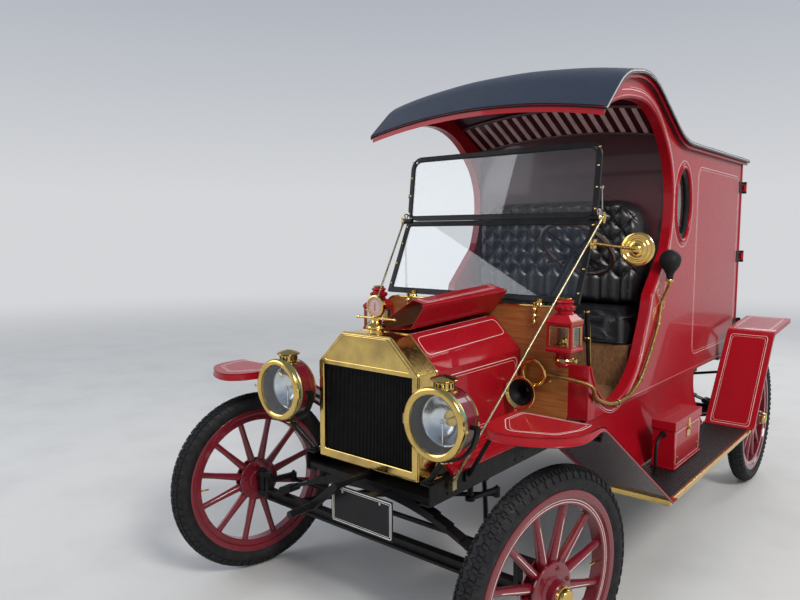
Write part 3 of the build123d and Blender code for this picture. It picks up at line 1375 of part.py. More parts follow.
# Side lamps: square lanterns with a stepped roof, on the ends of the firewall
side_lamp_x = 474.0
side_lamp_width = 105.0
side_lamp_depth = 95.0
side_lamp_bottom = 960.0
side_lamp_top = 1120.0
side_lamp_roof = 40.0
side_lamp_stack = 30.0
side_lamp_stack_radius = 20.0
side_lamp_cap = 14.0
side_lamp_cap_radius = 23.0
side_lamp_base = 18.0
side_lamp_base_radius = 34.0
side_lamp_pane = 12.0        # margin of its panes
side_lamp_recess = 3.0
side_lamp_y = station(firewall_front) - side_lamp_depth / 2
with BuildPart() as side_lamps:
    for side in (1, -1):
        x = side * side_lamp_x
        with BuildSketch(Plane(origin=(x, side_lamp_y, side_lamp_bottom))):
            Rectangle(side_lamp_width, side_lamp_depth)
        extrude(amount=side_lamp_top - side_lamp_bottom)
        with BuildSketch(Plane(origin=(x, side_lamp_y, side_lamp_top))):
            Rectangle(side_lamp_width, side_lamp_depth)
        with BuildSketch(Plane(origin=(x, side_lamp_y, side_lamp_top + side_lamp_roof))):
            Rectangle(side_lamp_width * 0.5, side_lamp_depth * 0.5)
        loft()
        stack_z = side_lamp_top + side_lamp_roof
        cap_bottom = stack_z + side_lamp_stack
        rod((x, side_lamp_y, stack_z - 2), (x, side_lamp_y, cap_bottom), side_lamp_stack_radius)
        rod((x, side_lamp_y, cap_bottom), (x, side_lamp_y, cap_bottom + side_lamp_cap), side_lamp_cap_radius)
        rod((x, side_lamp_y, side_lamp_bottom - side_lamp_base), (x, side_lamp_y, side_lamp_bottom),
            side_lamp_base_radius)
        pane_z = (side_lamp_bottom + side_lamp_pane, side_lamp_top - side_lamp_pane)
        pane_half_width = side_lamp_width / 2 - side_lamp_pane
        pane_half_depth = side_lamp_depth / 2 - side_lamp_pane
        lamp_face = side_lamp_y - side_lamp_depth / 2
        block((x - pane_half_width, x + pane_half_width), (lamp_face - 1, lamp_face + side_lamp_recess),
              pane_z, mode=Mode.SUBTRACT)
        lamp_cheek = x + side * side_lamp_width / 2
        block((lamp_cheek - side * side_lamp_recess, lamp_cheek + side),
              (side_lamp_y - pane_half_depth, side_lamp_y + pane_half_depth), pane_z, mode=Mode.SUBTRACT)
side_lamps.part.label = "side_lamps"
export_step(side_lamps.part, "parts/side_lamps.step")

# Horn: bell, coil and a long brass tube that goes round the cowl and along the body to a rubber bulb
bell_x = 330.0
bell_distance = 480.0
bell_z = 835.0
bell_radius = 64.0
bell_length = 80.0
bell_neck_radius = 16.0
bell_wall = 4.0
coil_x = 335.0
coil_distance = 585.0
coil_z = 900.0
coil_radius = 58.0
tube_radius = 9.0
horn_bracket_radius = 6.0
tube_x = body_half + tube_radius + pipe_joint + slip
bulb_distance = 1345.0
bulb_z = 1335.0
bulb_radius = 48.0
bulb_neck = 42.0             # the neck reaches this far below the round part
bulb_neck_radius = 15.0
bulb_x = body_half + bulb_radius + slip
bulb_foot_z = bulb_z - bulb_radius - bulb_neck
# columns: x, distance behind the front axle, height
horn_route = [(coil_x + coil_radius, coil_distance, coil_z), (tube_x, 590.0, 880.0),
              (tube_x, 650.0, 822.0), (tube_x, 760.0, 776.0), (tube_x, 880.0, 758.0),
              (tube_x, 1020.0, 770.0), (tube_x, 1130.0, 818.0), (tube_x, 1235.0, 918.0),
              (tube_x, 1330.0, 1040.0), (tube_x, 1368.0, 1140.0),
              (bulb_x, bulb_distance, bulb_foot_z - 2 * tube_radius),
              (bulb_x, bulb_distance, bulb_foot_z - slip)]
with BuildPart() as horn:
    mouth = station(bell_distance)
    coil_y = station(coil_distance)
    with BuildSketch(Plane(origin=(bell_x, mouth, bell_z), x_dir=(0, 1, 0), z_dir=(1, 0, 0))):
        with BuildLine():
            flare = ThreePointArc((0, bell_radius), (22, 36), (bell_length, bell_neck_radius))
            hollow_tip = (34, 0)
            Polyline(flare @ 1, (bell_length, 0), hollow_tip)
            hollow = ThreePointArc(hollow_tip, (14, 34), (0, bell_radius - bell_wall))
            Line(hollow @ 1, flare @ 0)
        make_face()
    revolve(axis=Axis((bell_x, mouth, bell_z), (0, 1, 0)))
    rod((bell_x, mouth + bell_length - 10, bell_z), (bell_x, coil_y - 5, bell_z), tube_radius)
    with Locations(Plane(origin=(coil_x, coil_y, coil_z), z_dir=(0, 1, 0))):
        Torus(coil_radius, tube_radius)
    rod((coil_x, coil_y, coil_z - coil_radius), (coil_x, station(firewall_front), coil_z - coil_radius),
        horn_bracket_radius)
    pipe([(x, station(distance), z) for x, distance, z in horn_route], tube_radius)
horn.part.label = "horn"
export_step(horn.part, "parts/horn.step")

with BuildPart() as horn_bulb:
    bulb_middle = (bulb_x, station(bulb_distance), bulb_z)
    with BuildSketch(Plane(origin=bulb_middle, x_dir=(1, 0, 0), z_dir=(0, -1, 0))):
        with BuildLine():
            dome = ThreePointArc((0, bulb_radius), (bulb_radius, 0), (0.8 * bulb_radius, -0.6 * bulb_radius))
            Polyline(dome @ 1, (bulb_neck_radius, -0.5 * bulb_neck - bulb_radius),
                     (bulb_neck_radius, -bulb_neck - bulb_radius), (0, -bulb_neck - bulb_radius), dome @ 0)
        make_face()
    revolve(axis=Axis(bulb_middle, (0, 0, 1)))
horn_bulb.part.label = "horn_bulb"
export_step(horn_bulb.part, "parts/horn_bulb.step")

# Mirror on an arm from the windshield's left edge
mirror_x = 656.0
mirror_distance = 790.0
mirror_z = 1393.0
mirror_radius = 66.0
mirror_thickness = 12.0
mirror_arm_radius = 6.0
mirror_clamp_distance = 750.0
mirror_clamp_z = 1412.0
mirror_clamp_size = 12.0
mirror_clamp_half = 16.0
with BuildPart() as door_mirror:
    face_y = station(mirror_distance)
    clamp_y = station(mirror_clamp_distance)
    rod((mirror_x, face_y, mirror_z), (mirror_x, face_y + mirror_thickness, mirror_z), mirror_radius)
    rod((mirror_x, face_y + 2, mirror_z), (shield_half + mirror_arm_radius, clamp_y, mirror_clamp_z),
        mirror_arm_radius)
    block((shield_half, shield_half + mirror_clamp_size),
          (clamp_y - mirror_clamp_size, clamp_y + mirror_clamp_size),
          (mirror_clamp_z - mirror_clamp_half, mirror_clamp_z + mirror_clamp_half))
door_mirror.part.label = "door_mirror"
export_step(door_mirror.part, "parts/door_mirror.step")

# Blank number plate on a strap from the front cross member
plate_width = 290.0
plate_height = 140.0
plate_thickness = 3.0
plate_x = 72.0
plate_z = 490.0
plate_distance = -150.0
strap_width = 30.0
strap_thickness = 5.0
strap_x = plate_x + 35.0
strap_z = 550.0
with BuildPart() as number_plate:
    plate_y = station(plate_distance)
    block((plate_x - plate_width / 2, plate_x + plate_width / 2), (plate_y, plate_y + plate_thickness),
          (plate_z - plate_height / 2, plate_z + plate_height / 2))
    block((strap_x - strap_width / 2, strap_x + strap_width / 2),
          (plate_y + plate_thickness, station(-member_width / 2)), (strap_z, strap_z + strap_thickness))
number_plate.part.label = "number_plate"
export_step(number_plate.part, "parts/number_plate.step")

# Pedals on a shaft from the gearbox, and the hand lever with its ratchet plate on the floor
pedal_pad_width = 52.0
pedal_pad_height = 70.0
pedal_pad_thickness = 9.0
pedal_shaft_radius = 9.0
lever_width = 22.0
lever_pivot_z = 572.0
lever_bar_top = 1060.0
lever_grip_radius = 12.0
lever_grip = 110.0
lever_pivot_radius = 11.0
ratchet_radius = 46.0
ratchet_thickness = 4.0
ratchet_gap = 3.0
with BuildPart() as controls:
    shaft_y = station(pedal_shaft_distance)
    pad_y = station(pedal_pad_distance)
    rod((gearbox_radius + slip, shaft_y, pedal_pivot_z),
        (pedal_xs[-1] + pedal_arm_radius, shaft_y, pedal_pivot_z), pedal_shaft_radius)
    for x in pedal_xs:
        rod((x, shaft_y, pedal_pivot_z), (x, pad_y, pedal_pad_z), pedal_arm_radius)
        with Locations(Plane(origin=(x, pad_y, pedal_pad_z), x_dir=(1, 0, 0), z_dir=(0, 0.8, 0.6))):
            Box(pedal_pad_width, pedal_pad_height, pedal_pad_thickness)
    lever_low = (station(lever_pivot_distance), lever_pivot_z)
    lever_high = (station(lever_top_distance), lever_bar_top)
    with BuildSketch(Plane.YZ.offset(lever_x - lever_thickness / 2)):
        link(lever_low, lever_high, lever_width)
    extrude(amount=lever_thickness)
    lever_run = (Vector(0, *lever_high) - Vector(0, *lever_low)).normalized()
    grip_start = Vector(lever_x, *lever_high) - lever_run * lever_grip / 2
    grip_end = grip_start + lever_run * lever_grip
    rod(tuple(grip_start), tuple(grip_end), lever_grip_radius)
    rod((rail_half, *lever_low), (lever_x + lever_thickness, *lever_low), lever_pivot_radius)
    with BuildSketch(Plane.YZ.offset(lever_x + lever_thickness / 2 + ratchet_gap)):
        with Locations((station(slot_distance), floor_top)):
            Circle(ratchet_radius)
        with Locations((station(slot_distance), floor_top - ratchet_radius)):
            Rectangle(3 * ratchet_radius, 2 * ratchet_radius, mode=Mode.SUBTRACT)
    extrude(amount=ratchet_thickness)
controls.part.label = "controls"
export_step(controls.part, "parts/controls.step")

# Exhaust: a pipe from the manifold's end, down past the flywheel and under the floor to its silencer
exhaust_radius = 16.0
silencer_radius = 55.0
silencer_front = 1500.0
silencer_length = 460.0
silencer_z = 600.0
silencer_x = -190.0
silencer_cap = 3.0           # its end caps stand out by this much
tail_pipe_end = 2300.0
tail_pipe_radius = 12.0
hanger_radius = 5.0
hanger_z = 640.0
# columns: x, distance behind the front axle, height
exhaust_route = [(manifold_x, 566.0, manifold_z), (manifold_x, 574.0, 700.0), (-170.0, 622.0, 598.0),
                 (silencer_x, 760.0, 512.0), (silencer_x, 1440.0, 505.0)]
with BuildPart() as exhaust:
    silencer_start = station(silencer_front)
    silencer_end = silencer_start + silencer_length
    bends = [(manifold_x, station(engine_back - manifold_radius) + slip, manifold_z)]
    bends += [(x, station(distance), z) for x, distance, z in exhaust_route]
    bends += [(silencer_x, silencer_start + exhaust_radius, silencer_z)]
    pipe(bends, exhaust_radius)
    rod((silencer_x, silencer_start, silencer_z), (silencer_x, silencer_end, silencer_z), silencer_radius)
    for cap_y in (silencer_start, silencer_end - 4 * silencer_cap):
        rod((silencer_x, cap_y, silencer_z), (silencer_x, cap_y + 4 * silencer_cap, silencer_z),
            silencer_radius + silencer_cap)
    rod((silencer_x, silencer_end, silencer_z), (silencer_x, station(tail_pipe_end), silencer_z),
        tail_pipe_radius)
    for share in (0.15, 0.85):
        y = silencer_start + share * silencer_length
        rod((silencer_x, y, hanger_z), (long_sill_width - rail_half, y, hanger_z), hanger_radius)
exhaust.part.label = "exhaust"
export_step(exhaust.part, "parts/exhaust.step")

# Fender irons: bent bars from pads on the rails, under the fenders' inner lips and up to their undersides
iron_radius = 8.0
iron_pad = 8.0
iron_pad_half = 20.0
front_iron_distance = 160.0
rear_iron_distance = 2480.0
iron_foot_z = rail_top - iron_pad_half
iron_end = fender_outer - 45.0


def underside(distance, start, end):
    # Height of a bar's middle that lies just under a fender's sheet.
    run = Vector(end[0] - start[0], end[1] - start[1])
    lean = abs(run.Y) / run.X
    return (start[1] + (distance - start[0]) * run.Y / run.X - fender_sheet
            - (iron_radius + pipe_joint + slip) * sqrt(1 + lean ** 2))


front_under = underside(front_iron_distance, front_slope[0], front_slope[1])
rear_under = underside(rear_iron_distance, rear_ridge, rear_tip)
# columns: distance behind the front axle, then the bends as x and height
irons = [(front_iron_distance, [(400.0, 740.0), (fender_inner + 23, 786.0), (640.0, front_under),
                                (iron_end, front_under)]),
         (rear_iron_distance, [(body_half + 20, 640.0), (board_inner - 14, 840.0), (board_inner + 18, 878.0),
                               (660.0, rear_under), (iron_end, rear_under)])]
with BuildPart() as fender_irons:
    for side in (1, -1):
        for distance, bends in irons:
            y = station(distance)
            block((side * rail_half, side * (rail_half + iron_pad)), (y - iron_pad_half, y + iron_pad_half),
                  (iron_foot_z - iron_pad_half, iron_foot_z + iron_pad_half))
            pipe([(side * (rail_half + iron_pad), y, iron_foot_z)] + [(side * x, y, z) for x, z in bends],
                 iron_radius)
fender_irons.part.label = "fender_irons"
export_step(fender_irons.part, "parts/fender_irons.step")

# Tool box on the left running board
tool_box_inner = 637.0
tool_box_outer = 732.0
tool_box_front = 1090.0
tool_box_length = 360.0
tool_box_height = 210.0
tool_box_corner = 8.0
with BuildPart() as tool_box:
    box_start = station(tool_box_front)
    block((tool_box_inner, tool_box_outer), (box_start, box_start + tool_box_length),
          (board_z, board_z + tool_box_height))
    fillet(tool_box.edges().filter_by(Axis.Y), tool_box_corner)
tool_box.part.label = "tool_box"
export_step(tool_box.part, "parts/tool_box.step")


def say(name, point, direction):
    # One line for a joint: a point on its axis and the axis.
    print(name, [round(value, 3) for value in tuple(point)], [round(value, 6) for value in tuple(direction)])


open_hinge = Edge.make_line(side_start, side_end).rotate(centre_hinge, hood_open)
open_start = open_hinge @ 0
open_end = open_hinge @ 1
say("hood top", centre_start, (centre_end - centre_start).normalized())
say("hood side", open_start, (open_end - open_start).normalized())
say("steering wheel", hub, column_run)
say("front axle", Vector(0, axle_y, spindle_root_z), wheel_axis(1, True))
say("right spindle", Vector(0, axle_y, wheel_z), wheel_axis(-1, True))
say("rear axle", Vector(0, rear_y, tyre_radius), Vector(1, 0, 0))
say("tie rod", link_left, Vector(0, 0, 1))
say("pitman", Vector(column_foot_x, box_y, pitman_z), Vector(0, 0, 1))
say("door hinge", Vector(hinge_x, hinge_y, 0), Vector(0, 0, 1))
say("tow holes", Vector(0, tail_face, rail_middle), Vector(0, 1, 0))
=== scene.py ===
import json
import math

import bmesh
import bpy
from mathutils import Matrix, Vector
from mathutils.bvhtree import BVHTree


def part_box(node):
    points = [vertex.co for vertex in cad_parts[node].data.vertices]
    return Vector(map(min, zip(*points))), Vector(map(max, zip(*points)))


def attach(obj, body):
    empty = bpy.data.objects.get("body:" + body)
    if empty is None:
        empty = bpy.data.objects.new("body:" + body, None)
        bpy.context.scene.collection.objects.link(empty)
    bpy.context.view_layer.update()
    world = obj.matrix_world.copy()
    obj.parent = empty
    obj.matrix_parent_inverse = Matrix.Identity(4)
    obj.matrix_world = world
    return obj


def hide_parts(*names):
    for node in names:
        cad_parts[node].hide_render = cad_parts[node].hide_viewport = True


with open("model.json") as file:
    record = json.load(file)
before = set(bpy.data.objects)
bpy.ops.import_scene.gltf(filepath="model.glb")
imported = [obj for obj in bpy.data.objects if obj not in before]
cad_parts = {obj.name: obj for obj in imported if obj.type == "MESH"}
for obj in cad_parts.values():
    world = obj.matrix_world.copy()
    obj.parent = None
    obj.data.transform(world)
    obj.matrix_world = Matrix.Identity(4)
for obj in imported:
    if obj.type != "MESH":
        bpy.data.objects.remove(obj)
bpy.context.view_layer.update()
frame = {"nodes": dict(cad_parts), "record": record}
scene = bpy.context.scene
mm = 0.001
frontAxleY = -1267.288  # most measures below are given as a distance behind the front axle, in millimetres
tau = 2 * math.pi
sides = (("Left", 1), ("Right", -1))
upward, backward = (0, 0, 1), (0, 1, 0)
# the CAD meshes: vertices joined within this many metres, faces merged and edges rounded by their angle in degrees
joinWithin, flatWithin, roundFrom = 0.00002, 0.6, 32
# a ring of copies that keep their own distance from its middle
pointRing = 0.000001


def at(x, distance, z):
    return Vector((x * mm, (frontAxleY + distance) * mm, z * mm))


def off(x, y, z):
    # a step in millimetres
    return Vector((x * mm, y * mm, z * mm))


# finishes: every one reads Object coordinates
def addNode(tree, kind, **sockets):
    node = tree.nodes.new(kind)
    for key, value in sockets.items():
        node.inputs[key].default_value = value
    return node


def addRange(tree, source, low, high, newLow=0.0, newHigh=1.0):
    # the source's values from low to high, spread from newLow to newHigh
    node = addNode(tree, "ShaderNodeMapRange", **{"From Min": low, "From Max": high, "To Min": newLow,
                                                  "To Max": newHigh})
    tree.links.new(source, node.inputs["Value"])
    return node


def makeFinish(name, base, other, size=30.0, share=(0.45, 0.7), rough=(0.3, 0.4), metal=0.0, coat=0.0,
               coatRough=0.04, stretch=(1, 1, 1), bumps=(), under=None, sheen=0.0, specular=0.5,
               dustAndSheen=None):
    material = bpy.data.materials.new(name)
    material.use_nodes = True
    tree = material.node_tree
    link = tree.links.new
    shader = tree.nodes["Principled BSDF"]
    for label, value in (("Metallic", metal), ("Coat Weight", coat), ("Coat Roughness", coatRough),
                         ("Sheen Weight", sheen), ("Specular IOR Level", specular)):
        shader.inputs[label].default_value = value
    place = tree.nodes.new("ShaderNodeTexCoord")
    mapping = addNode(tree, "ShaderNodeMapping", Scale=stretch)
    link(place.outputs["Object"], mapping.inputs["Vector"])
    clouds = addNode(tree, "ShaderNodeTexNoise", Scale=size, Detail=6.0, Roughness=0.6)
    link(mapping.outputs[0], clouds.inputs["Vector"])
    ramp = tree.nodes.new("ShaderNodeValToRGB")
    ramp.color_ramp.elements[0].position, ramp.color_ramp.elements[1].position = share
    ramp.color_ramp.elements[0].color = (*base, 1)
    ramp.color_ramp.elements[1].color = (*other, 1)
    link(clouds.outputs["Fac"], ramp.inputs["Fac"])
    color = ramp.outputs["Color"]
    for tint, low, high in ((under, -0.25, -0.45), (dustAndSheen, 0.55, 0.95)):
        if not tint:
            continue
        # a second colour on faces that look down, painted shade under the fenders and the ceiling's dark maroon under
        # the roof boards, or a paler colour on those that look up, dust and painted sheen on the roof cloth
        apart = tree.nodes.new("ShaderNodeSeparateXYZ")
        link(place.outputs["Normal"], apart.inputs[0])
        facing = addRange(tree, apart.outputs["Z"], low, high)
        mix = tree.nodes.new("ShaderNodeMix")
        mix.data_type = "RGBA"
        mix.inputs[7].default_value = (*tint, 1)
        link(color, mix.inputs[6])
        link(facing.outputs[0], mix.inputs[0])
        color = mix.outputs[2]
    link(color, shader.inputs["Base Color"])
    smears = addNode(tree, "ShaderNodeTexNoise", Scale=90.0, Detail=4.0)
    link(mapping.outputs[0], smears.inputs["Vector"])
    spread = addRange(tree, smears.outputs["Fac"], 0.3, 0.7, *rough)
    link(spread.outputs[0], shader.inputs["Roughness"])
    normal = None
    for kind, scale, depth in bumps:
        if kind == "cells":
            texture = addNode(tree, "ShaderNodeTexVoronoi", Scale=scale)
            height = texture.outputs["Distance"]
        else:
            texture = addNode(tree, "ShaderNodeTexNoise", Scale=scale, Detail=0.5 if kind == "orange" else 5.0)
            height = texture.outputs["Fac"]
        link(mapping.outputs[0], texture.inputs["Vector"])
        bump = addNode(tree, "ShaderNodeBump", Strength=1.0, Distance=depth)
        link(height, bump.inputs["Height"])
        if normal:
            link(normal, bump.inputs["Normal"])
        normal = bump.outputs[0]
    if normal:
        link(normal, shader.inputs["Normal"])
    return material


def makeGlass(name, tint, rough=0.02):
    material = bpy.data.materials.new(name)
    material.use_nodes = True
    tree = material.node_tree
    shader = tree.nodes["Principled BSDF"]
    shader.inputs["Base Color"].default_value = (*tint, 1)
    shader.inputs["Transmission Weight"].default_value = 1.0
    shader.inputs["IOR"].default_value = 1.45
    place = tree.nodes.new("ShaderNodeTexCoord")
    haze = addNode(tree, "ShaderNodeTexNoise", Scale=9.0, Detail=3.0)
    tree.links.new(place.outputs["Object"], haze.inputs["Vector"])
    spread = addRange(tree, haze.outputs["Fac"], 0.0, 1.0, rough * 0.3, rough)
    tree.links.new(spread.outputs[0], shader.inputs["Roughness"])
    return material


red = (0.34, 0.004, 0.011)
darkerRed = (0.31, 0.003, 0.010)
slowWaves = (("orange", 9.0, 0.0001),)
finishLooks = {
    "redPaint": dict(base=red, other=darkerRed, size=3.0, rough=(0.26, 0.38), coat=0.4, specular=0.14,
                     bumps=slowWaves),
    # the fenders' darker underside is painted shade
    "fenderPaint": dict(base=red, other=darkerRed, size=3.0, rough=(0.26, 0.38), coat=0.35, specular=0.14,
                        under=(0.028, 0.006, 0.009), bumps=slowWaves),
    "wheelPaint": dict(base=(0.155, 0.006, 0.014), other=(0.12, 0.006, 0.012), size=14.0, rough=(0.25, 0.4), coat=0.8,
                       specular=0.3, bumps=slowWaves),
    "ceilingPaint": dict(base=(0.062, 0.008, 0.013), other=(0.05, 0.007, 0.011), size=6.0, rough=(0.4, 0.5),
                         coat=0.3),
    "blackPaint": dict(base=(0.006, 0.006, 0.007), other=(0.013, 0.012, 0.011), size=22.0, rough=(0.3, 0.5),
                       coat=0.06, specular=0.16, bumps=(("orange", 160.0, 0.00002),)),
    "brass": dict(base=(0.72, 0.50, 0.16), other=(0.55, 0.36, 0.10), size=26.0, share=(0.5, 0.8), rough=(0.1, 0.24),
                  metal=1.0, bumps=(("orange", 90.0, 0.00002),)),
    "oldBrass": dict(base=(0.42, 0.38, 0.16), other=(0.20, 0.36, 0.25), size=38.0, share=(0.4, 0.62),
                     rough=(0.25, 0.5), metal=0.85, bumps=(("noise", 300.0, 0.00008),)),
    "steel": dict(base=(0.50, 0.49, 0.46), other=(0.34, 0.33, 0.30), size=40.0, rough=(0.22, 0.4), metal=1.0,
                  bumps=(("noise", 400.0, 0.00003),)),
    "castIron": dict(base=(0.055, 0.052, 0.05), other=(0.10, 0.075, 0.055), size=30.0, rough=(0.5, 0.75), metal=0.4,
                     bumps=(("noise", 420.0, 0.0003),)),
    "rubber": dict(base=(0.011, 0.011, 0.013), other=(0.022, 0.021, 0.020), size=30.0, rough=(0.5, 0.75),
                   specular=0.22, bumps=(("noise", 500.0, 0.00012),)),
    # paler on faces that look up: dust, with painted sheen from the sky on the crown
    "roofCloth": dict(base=(0.007, 0.013, 0.031), other=(0.012, 0.020, 0.045), size=9.0, rough=(0.40, 0.55),
                      sheen=0.08, specular=0.35, dustAndSheen=(0.022, 0.032, 0.055),
                      bumps=(("cells", 420.0, 0.0004), ("noise", 40.0, 0.0008))),
    "leather": dict(base=(0.010, 0.010, 0.012), other=(0.018, 0.017, 0.018), size=16.0, rough=(0.26, 0.42), coat=0.15,
                    coatRough=0.25, bumps=(("cells", 480.0, 0.0003), ("noise", 60.0, 0.0005))),
    "varnishedWood": dict(base=(0.42, 0.17, 0.045), other=(0.25, 0.085, 0.02), size=7.0, share=(0.35, 0.68),
                          rough=(0.28, 0.42), coat=0.7, stretch=(1.0, 8.0, 14.0), bumps=(("noise", 36.0, 0.0003),)),
    "floorWood": dict(base=(0.29, 0.140, 0.058), other=(0.16, 0.075, 0.032), size=6.0, share=(0.35, 0.65),
                      rough=(0.5, 0.7), stretch=(14.0, 1.2, 8.0), bumps=(("noise", 30.0, 0.0006),)),
    "coreBlack": dict(base=(0.005, 0.005, 0.006), other=(0.010, 0.010, 0.010), size=30.0, rough=(0.4, 0.6),
                      specular=0.2, bumps=(("noise", 260.0, 0.0002),)),
    "plateBlack": dict(base=(0.006, 0.006, 0.007), other=(0.010, 0.010, 0.011), size=12.0, rough=(0.3, 0.42),
                       specular=0.2, coat=0.1, bumps=(("orange", 200.0, 0.00003),)),
    "lineWhite": dict(base=(0.78, 0.62, 0.60), other=(0.70, 0.52, 0.50), size=20.0, rough=(0.3, 0.4), coat=0.5),
    "lineGold": dict(base=(0.74, 0.46, 0.12), other=(0.62, 0.36, 0.08), size=20.0, rough=(0.3, 0.45), metal=0.3,
                     coat=0.4),
    # the slats' pale colour, brightened to the light that fell on them: partly painted light; the gauge's face shares
    # it
    "slatPaint": dict(base=(0.58, 0.39, 0.37), other=(0.48, 0.31, 0.30), size=20.0, rough=(0.4, 0.55),
                      bumps=(("noise", 90.0, 0.0002),)),
    "dullBrass": dict(base=(0.42, 0.36, 0.22), other=(0.28, 0.24, 0.15), size=30.0, rough=(0.22, 0.42), metal=0.95,
                      bumps=(("noise", 300.0, 0.00004),)),
    "hoseBrass": dict(base=(0.46, 0.30, 0.10), other=(0.30, 0.18, 0.06), size=60.0, rough=(0.25, 0.45), metal=0.9,
                      bumps=(("noise", 300.0, 0.00004),)),
    "lineIvory": dict(base=(0.74, 0.72, 0.66), other=(0.62, 0.60, 0.54), size=20.0, rough=(0.3, 0.45), coat=0.4),
    "darkWood": dict(base=(0.030, 0.016, 0.010), other=(0.055, 0.028, 0.014), size=22.0, rough=(0.25, 0.4), coat=0.5,
                     stretch=(6, 1, 1), bumps=(("noise", 90.0, 0.0001),)),
    "roofBoards": dict(base=red, other=darkerRed, size=3.0, rough=(0.26, 0.4), coat=0.35, specular=0.14,
                       under=(0.045, 0.006, 0.010), bumps=slowWaves),
    # painted shade inside the headlamps, round the reflector
    "lampInside": dict(base=(0.030, 0.006, 0.008), other=(0.018, 0.004, 0.006), size=20.0, rough=(0.3, 0.5)),
    "reflector": dict(base=(0.74, 0.76, 0.78), other=(0.60, 0.62, 0.64), size=12.0, rough=(0.16, 0.26), metal=1.0),
    "radiatorBrass": dict(base=(0.74, 0.52, 0.17), other=(0.46, 0.32, 0.12), size=6.5, share=(0.42, 0.66),
                          rough=(0.10, 0.24), metal=1.0, bumps=(("orange", 12.0, 0.00006),)),
    "mirrorGlass": dict(base=(0.85, 0.86, 0.88), other=(0.8, 0.82, 0.84), rough=(0.02, 0.05), metal=1.0),
    "pipingPale": dict(base=(0.42, 0.40, 0.38), other=(0.30, 0.28, 0.27), size=18.0, rough=(0.45, 0.6),
                       bumps=(("noise", 300.0, 0.0002),)),
}
finishes = {name: makeFinish(name, **values) for name, values in finishLooks.items()}
finishes["windowGlass"] = makeGlass("windowGlass", (0.93, 0.96, 0.97))

# what the record says of each CAD node
bodyOf = {node: body for body, members in frame["record"]["behaviour"]["bodies"].items() for node in members}


def makeObject(name, data):
    made = bpy.data.objects.new(name, data)
    scene.collection.objects.link(made)
    return made


def shapeObject(name, shape):
    # the shape becomes an object of its own
    mesh = bpy.data.meshes.new(name)
    shape.to_mesh(mesh)
    shape.free()
    return makeObject(name, mesh)


def addBevel(piece, width, segments=2):
    edge = piece.modifiers.new("edges", "BEVEL")
    edge.width = width * mm
    edge.segments = segments
    edge.limit_method = "ANGLE"
    edge.angle_limit = math.radians(roundFrom)


def addSubdivision(piece, levels):
    smooth = piece.modifiers.new("smooth", "SUBSURF")
    smooth.levels = smooth.render_levels = levels


def settle(obj):
    # the modifiers become part of the mesh
    bpy.context.view_layer.update()
    graph = bpy.context.evaluated_depsgraph_get()
    mesh = bpy.data.meshes.new_from_object(obj.evaluated_get(graph))
    obj.modifiers.clear()
    obj.data = mesh
    return mesh


def shade(piece, angle=34):
    # smooth within an angle, with large faces kept flat up to their rounded edges
    piece.data.shade_smooth()
    piece.data.set_sharp_from_angle(angle=math.radians(angle))
    even = piece.modifiers.new("even", "WEIGHTED_NORMAL")
    even.keep_sharp = True
    even.weight = 100
    settle(piece)


def dressNode(node, material, bevel):
    # the CAD node's own shape with its edges rounded
    shape = bmesh.new()
    shape.from_mesh(frame["nodes"][node].data)
    bmesh.ops.remove_doubles(shape, verts=shape.verts, dist=joinWithin)
    bmesh.ops.dissolve_limit(shape, angle_limit=math.radians(flatWithin), verts=shape.verts, edges=shape.edges)
    piece = shapeObject(node + "Dressed", shape)
    if bevel:
        addBevel(piece, bevel)
        settle(piece)
    piece.data.materials.clear()
    piece.data.materials.append(finishes[material])
    shade(piece)
    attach(piece, bodyOf[node])
    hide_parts(node)


# shapes made in code: a shape is a bmesh that the next helpers add to
def addFaces(shape, rings, closed=False):
    pairs = list(zip(rings, rings[1:])) + ([(rings[-1], rings[0])] if closed else [])
    for low, high in pairs:
        count = max(len(low), len(high))
        if count == 1:
            continue
        for k in range(count):
            n = (k + 1) % count
            if len(low) == 1:
                shape.faces.new((low[0], high[n], high[k]))
            elif len(high) == 1:
                shape.faces.new((low[k], low[n], high[0]))
            else:
                shape.faces.new((low[k], low[n], high[n], high[k]))


def addLathe(shape, profile, centre, axis, segments=40, closed=False, turn=0.0):
    # profile: places along the axis with their radius
    axis = Vector(axis).normalized()
    side = Vector((0, 0, 1)).cross(axis)
    side = side.normalized() if side.length > 0.01 else Vector((1, 0, 0))
    up = axis.cross(side)
    rings = []
    for along, radius in profile:
        middle = centre + axis * along * mm
        if radius < 0.01:
            rings.append([shape.verts.new(middle)])
            continue
        angles = [turn + tau * k / segments for k in range(segments)]
        rings.append([shape.verts.new(middle + (side * math.cos(a) + up * math.sin(a)) * radius * mm)
                      for a in angles])
    addFaces(shape, rings, closed)
    if not closed:
        for ring in (rings[0], rings[-1]):
            if len(ring) > 2:
                shape.faces.new(ring)


def addSlab(shape, upper, lower):
    # two grids of the same size, closed round their edges
    rims = []
    for grid in (upper, lower):
        for a, b in zip(grid, grid[1:]):
            for k in range(len(a) - 1):
                shape.faces.new((a[k], a[k + 1], b[k + 1], b[k]))
        rims.append(grid[0] + [row[-1] for row in grid[1:]] + grid[-1][-2::-1] + [row[0] for row in grid[-2:0:-1]])
    rim, other = rims
    for k in range(len(rim)):
        n = (k + 1) % len(rim)
        shape.faces.new((rim[k], rim[n], other[n], other[k]))


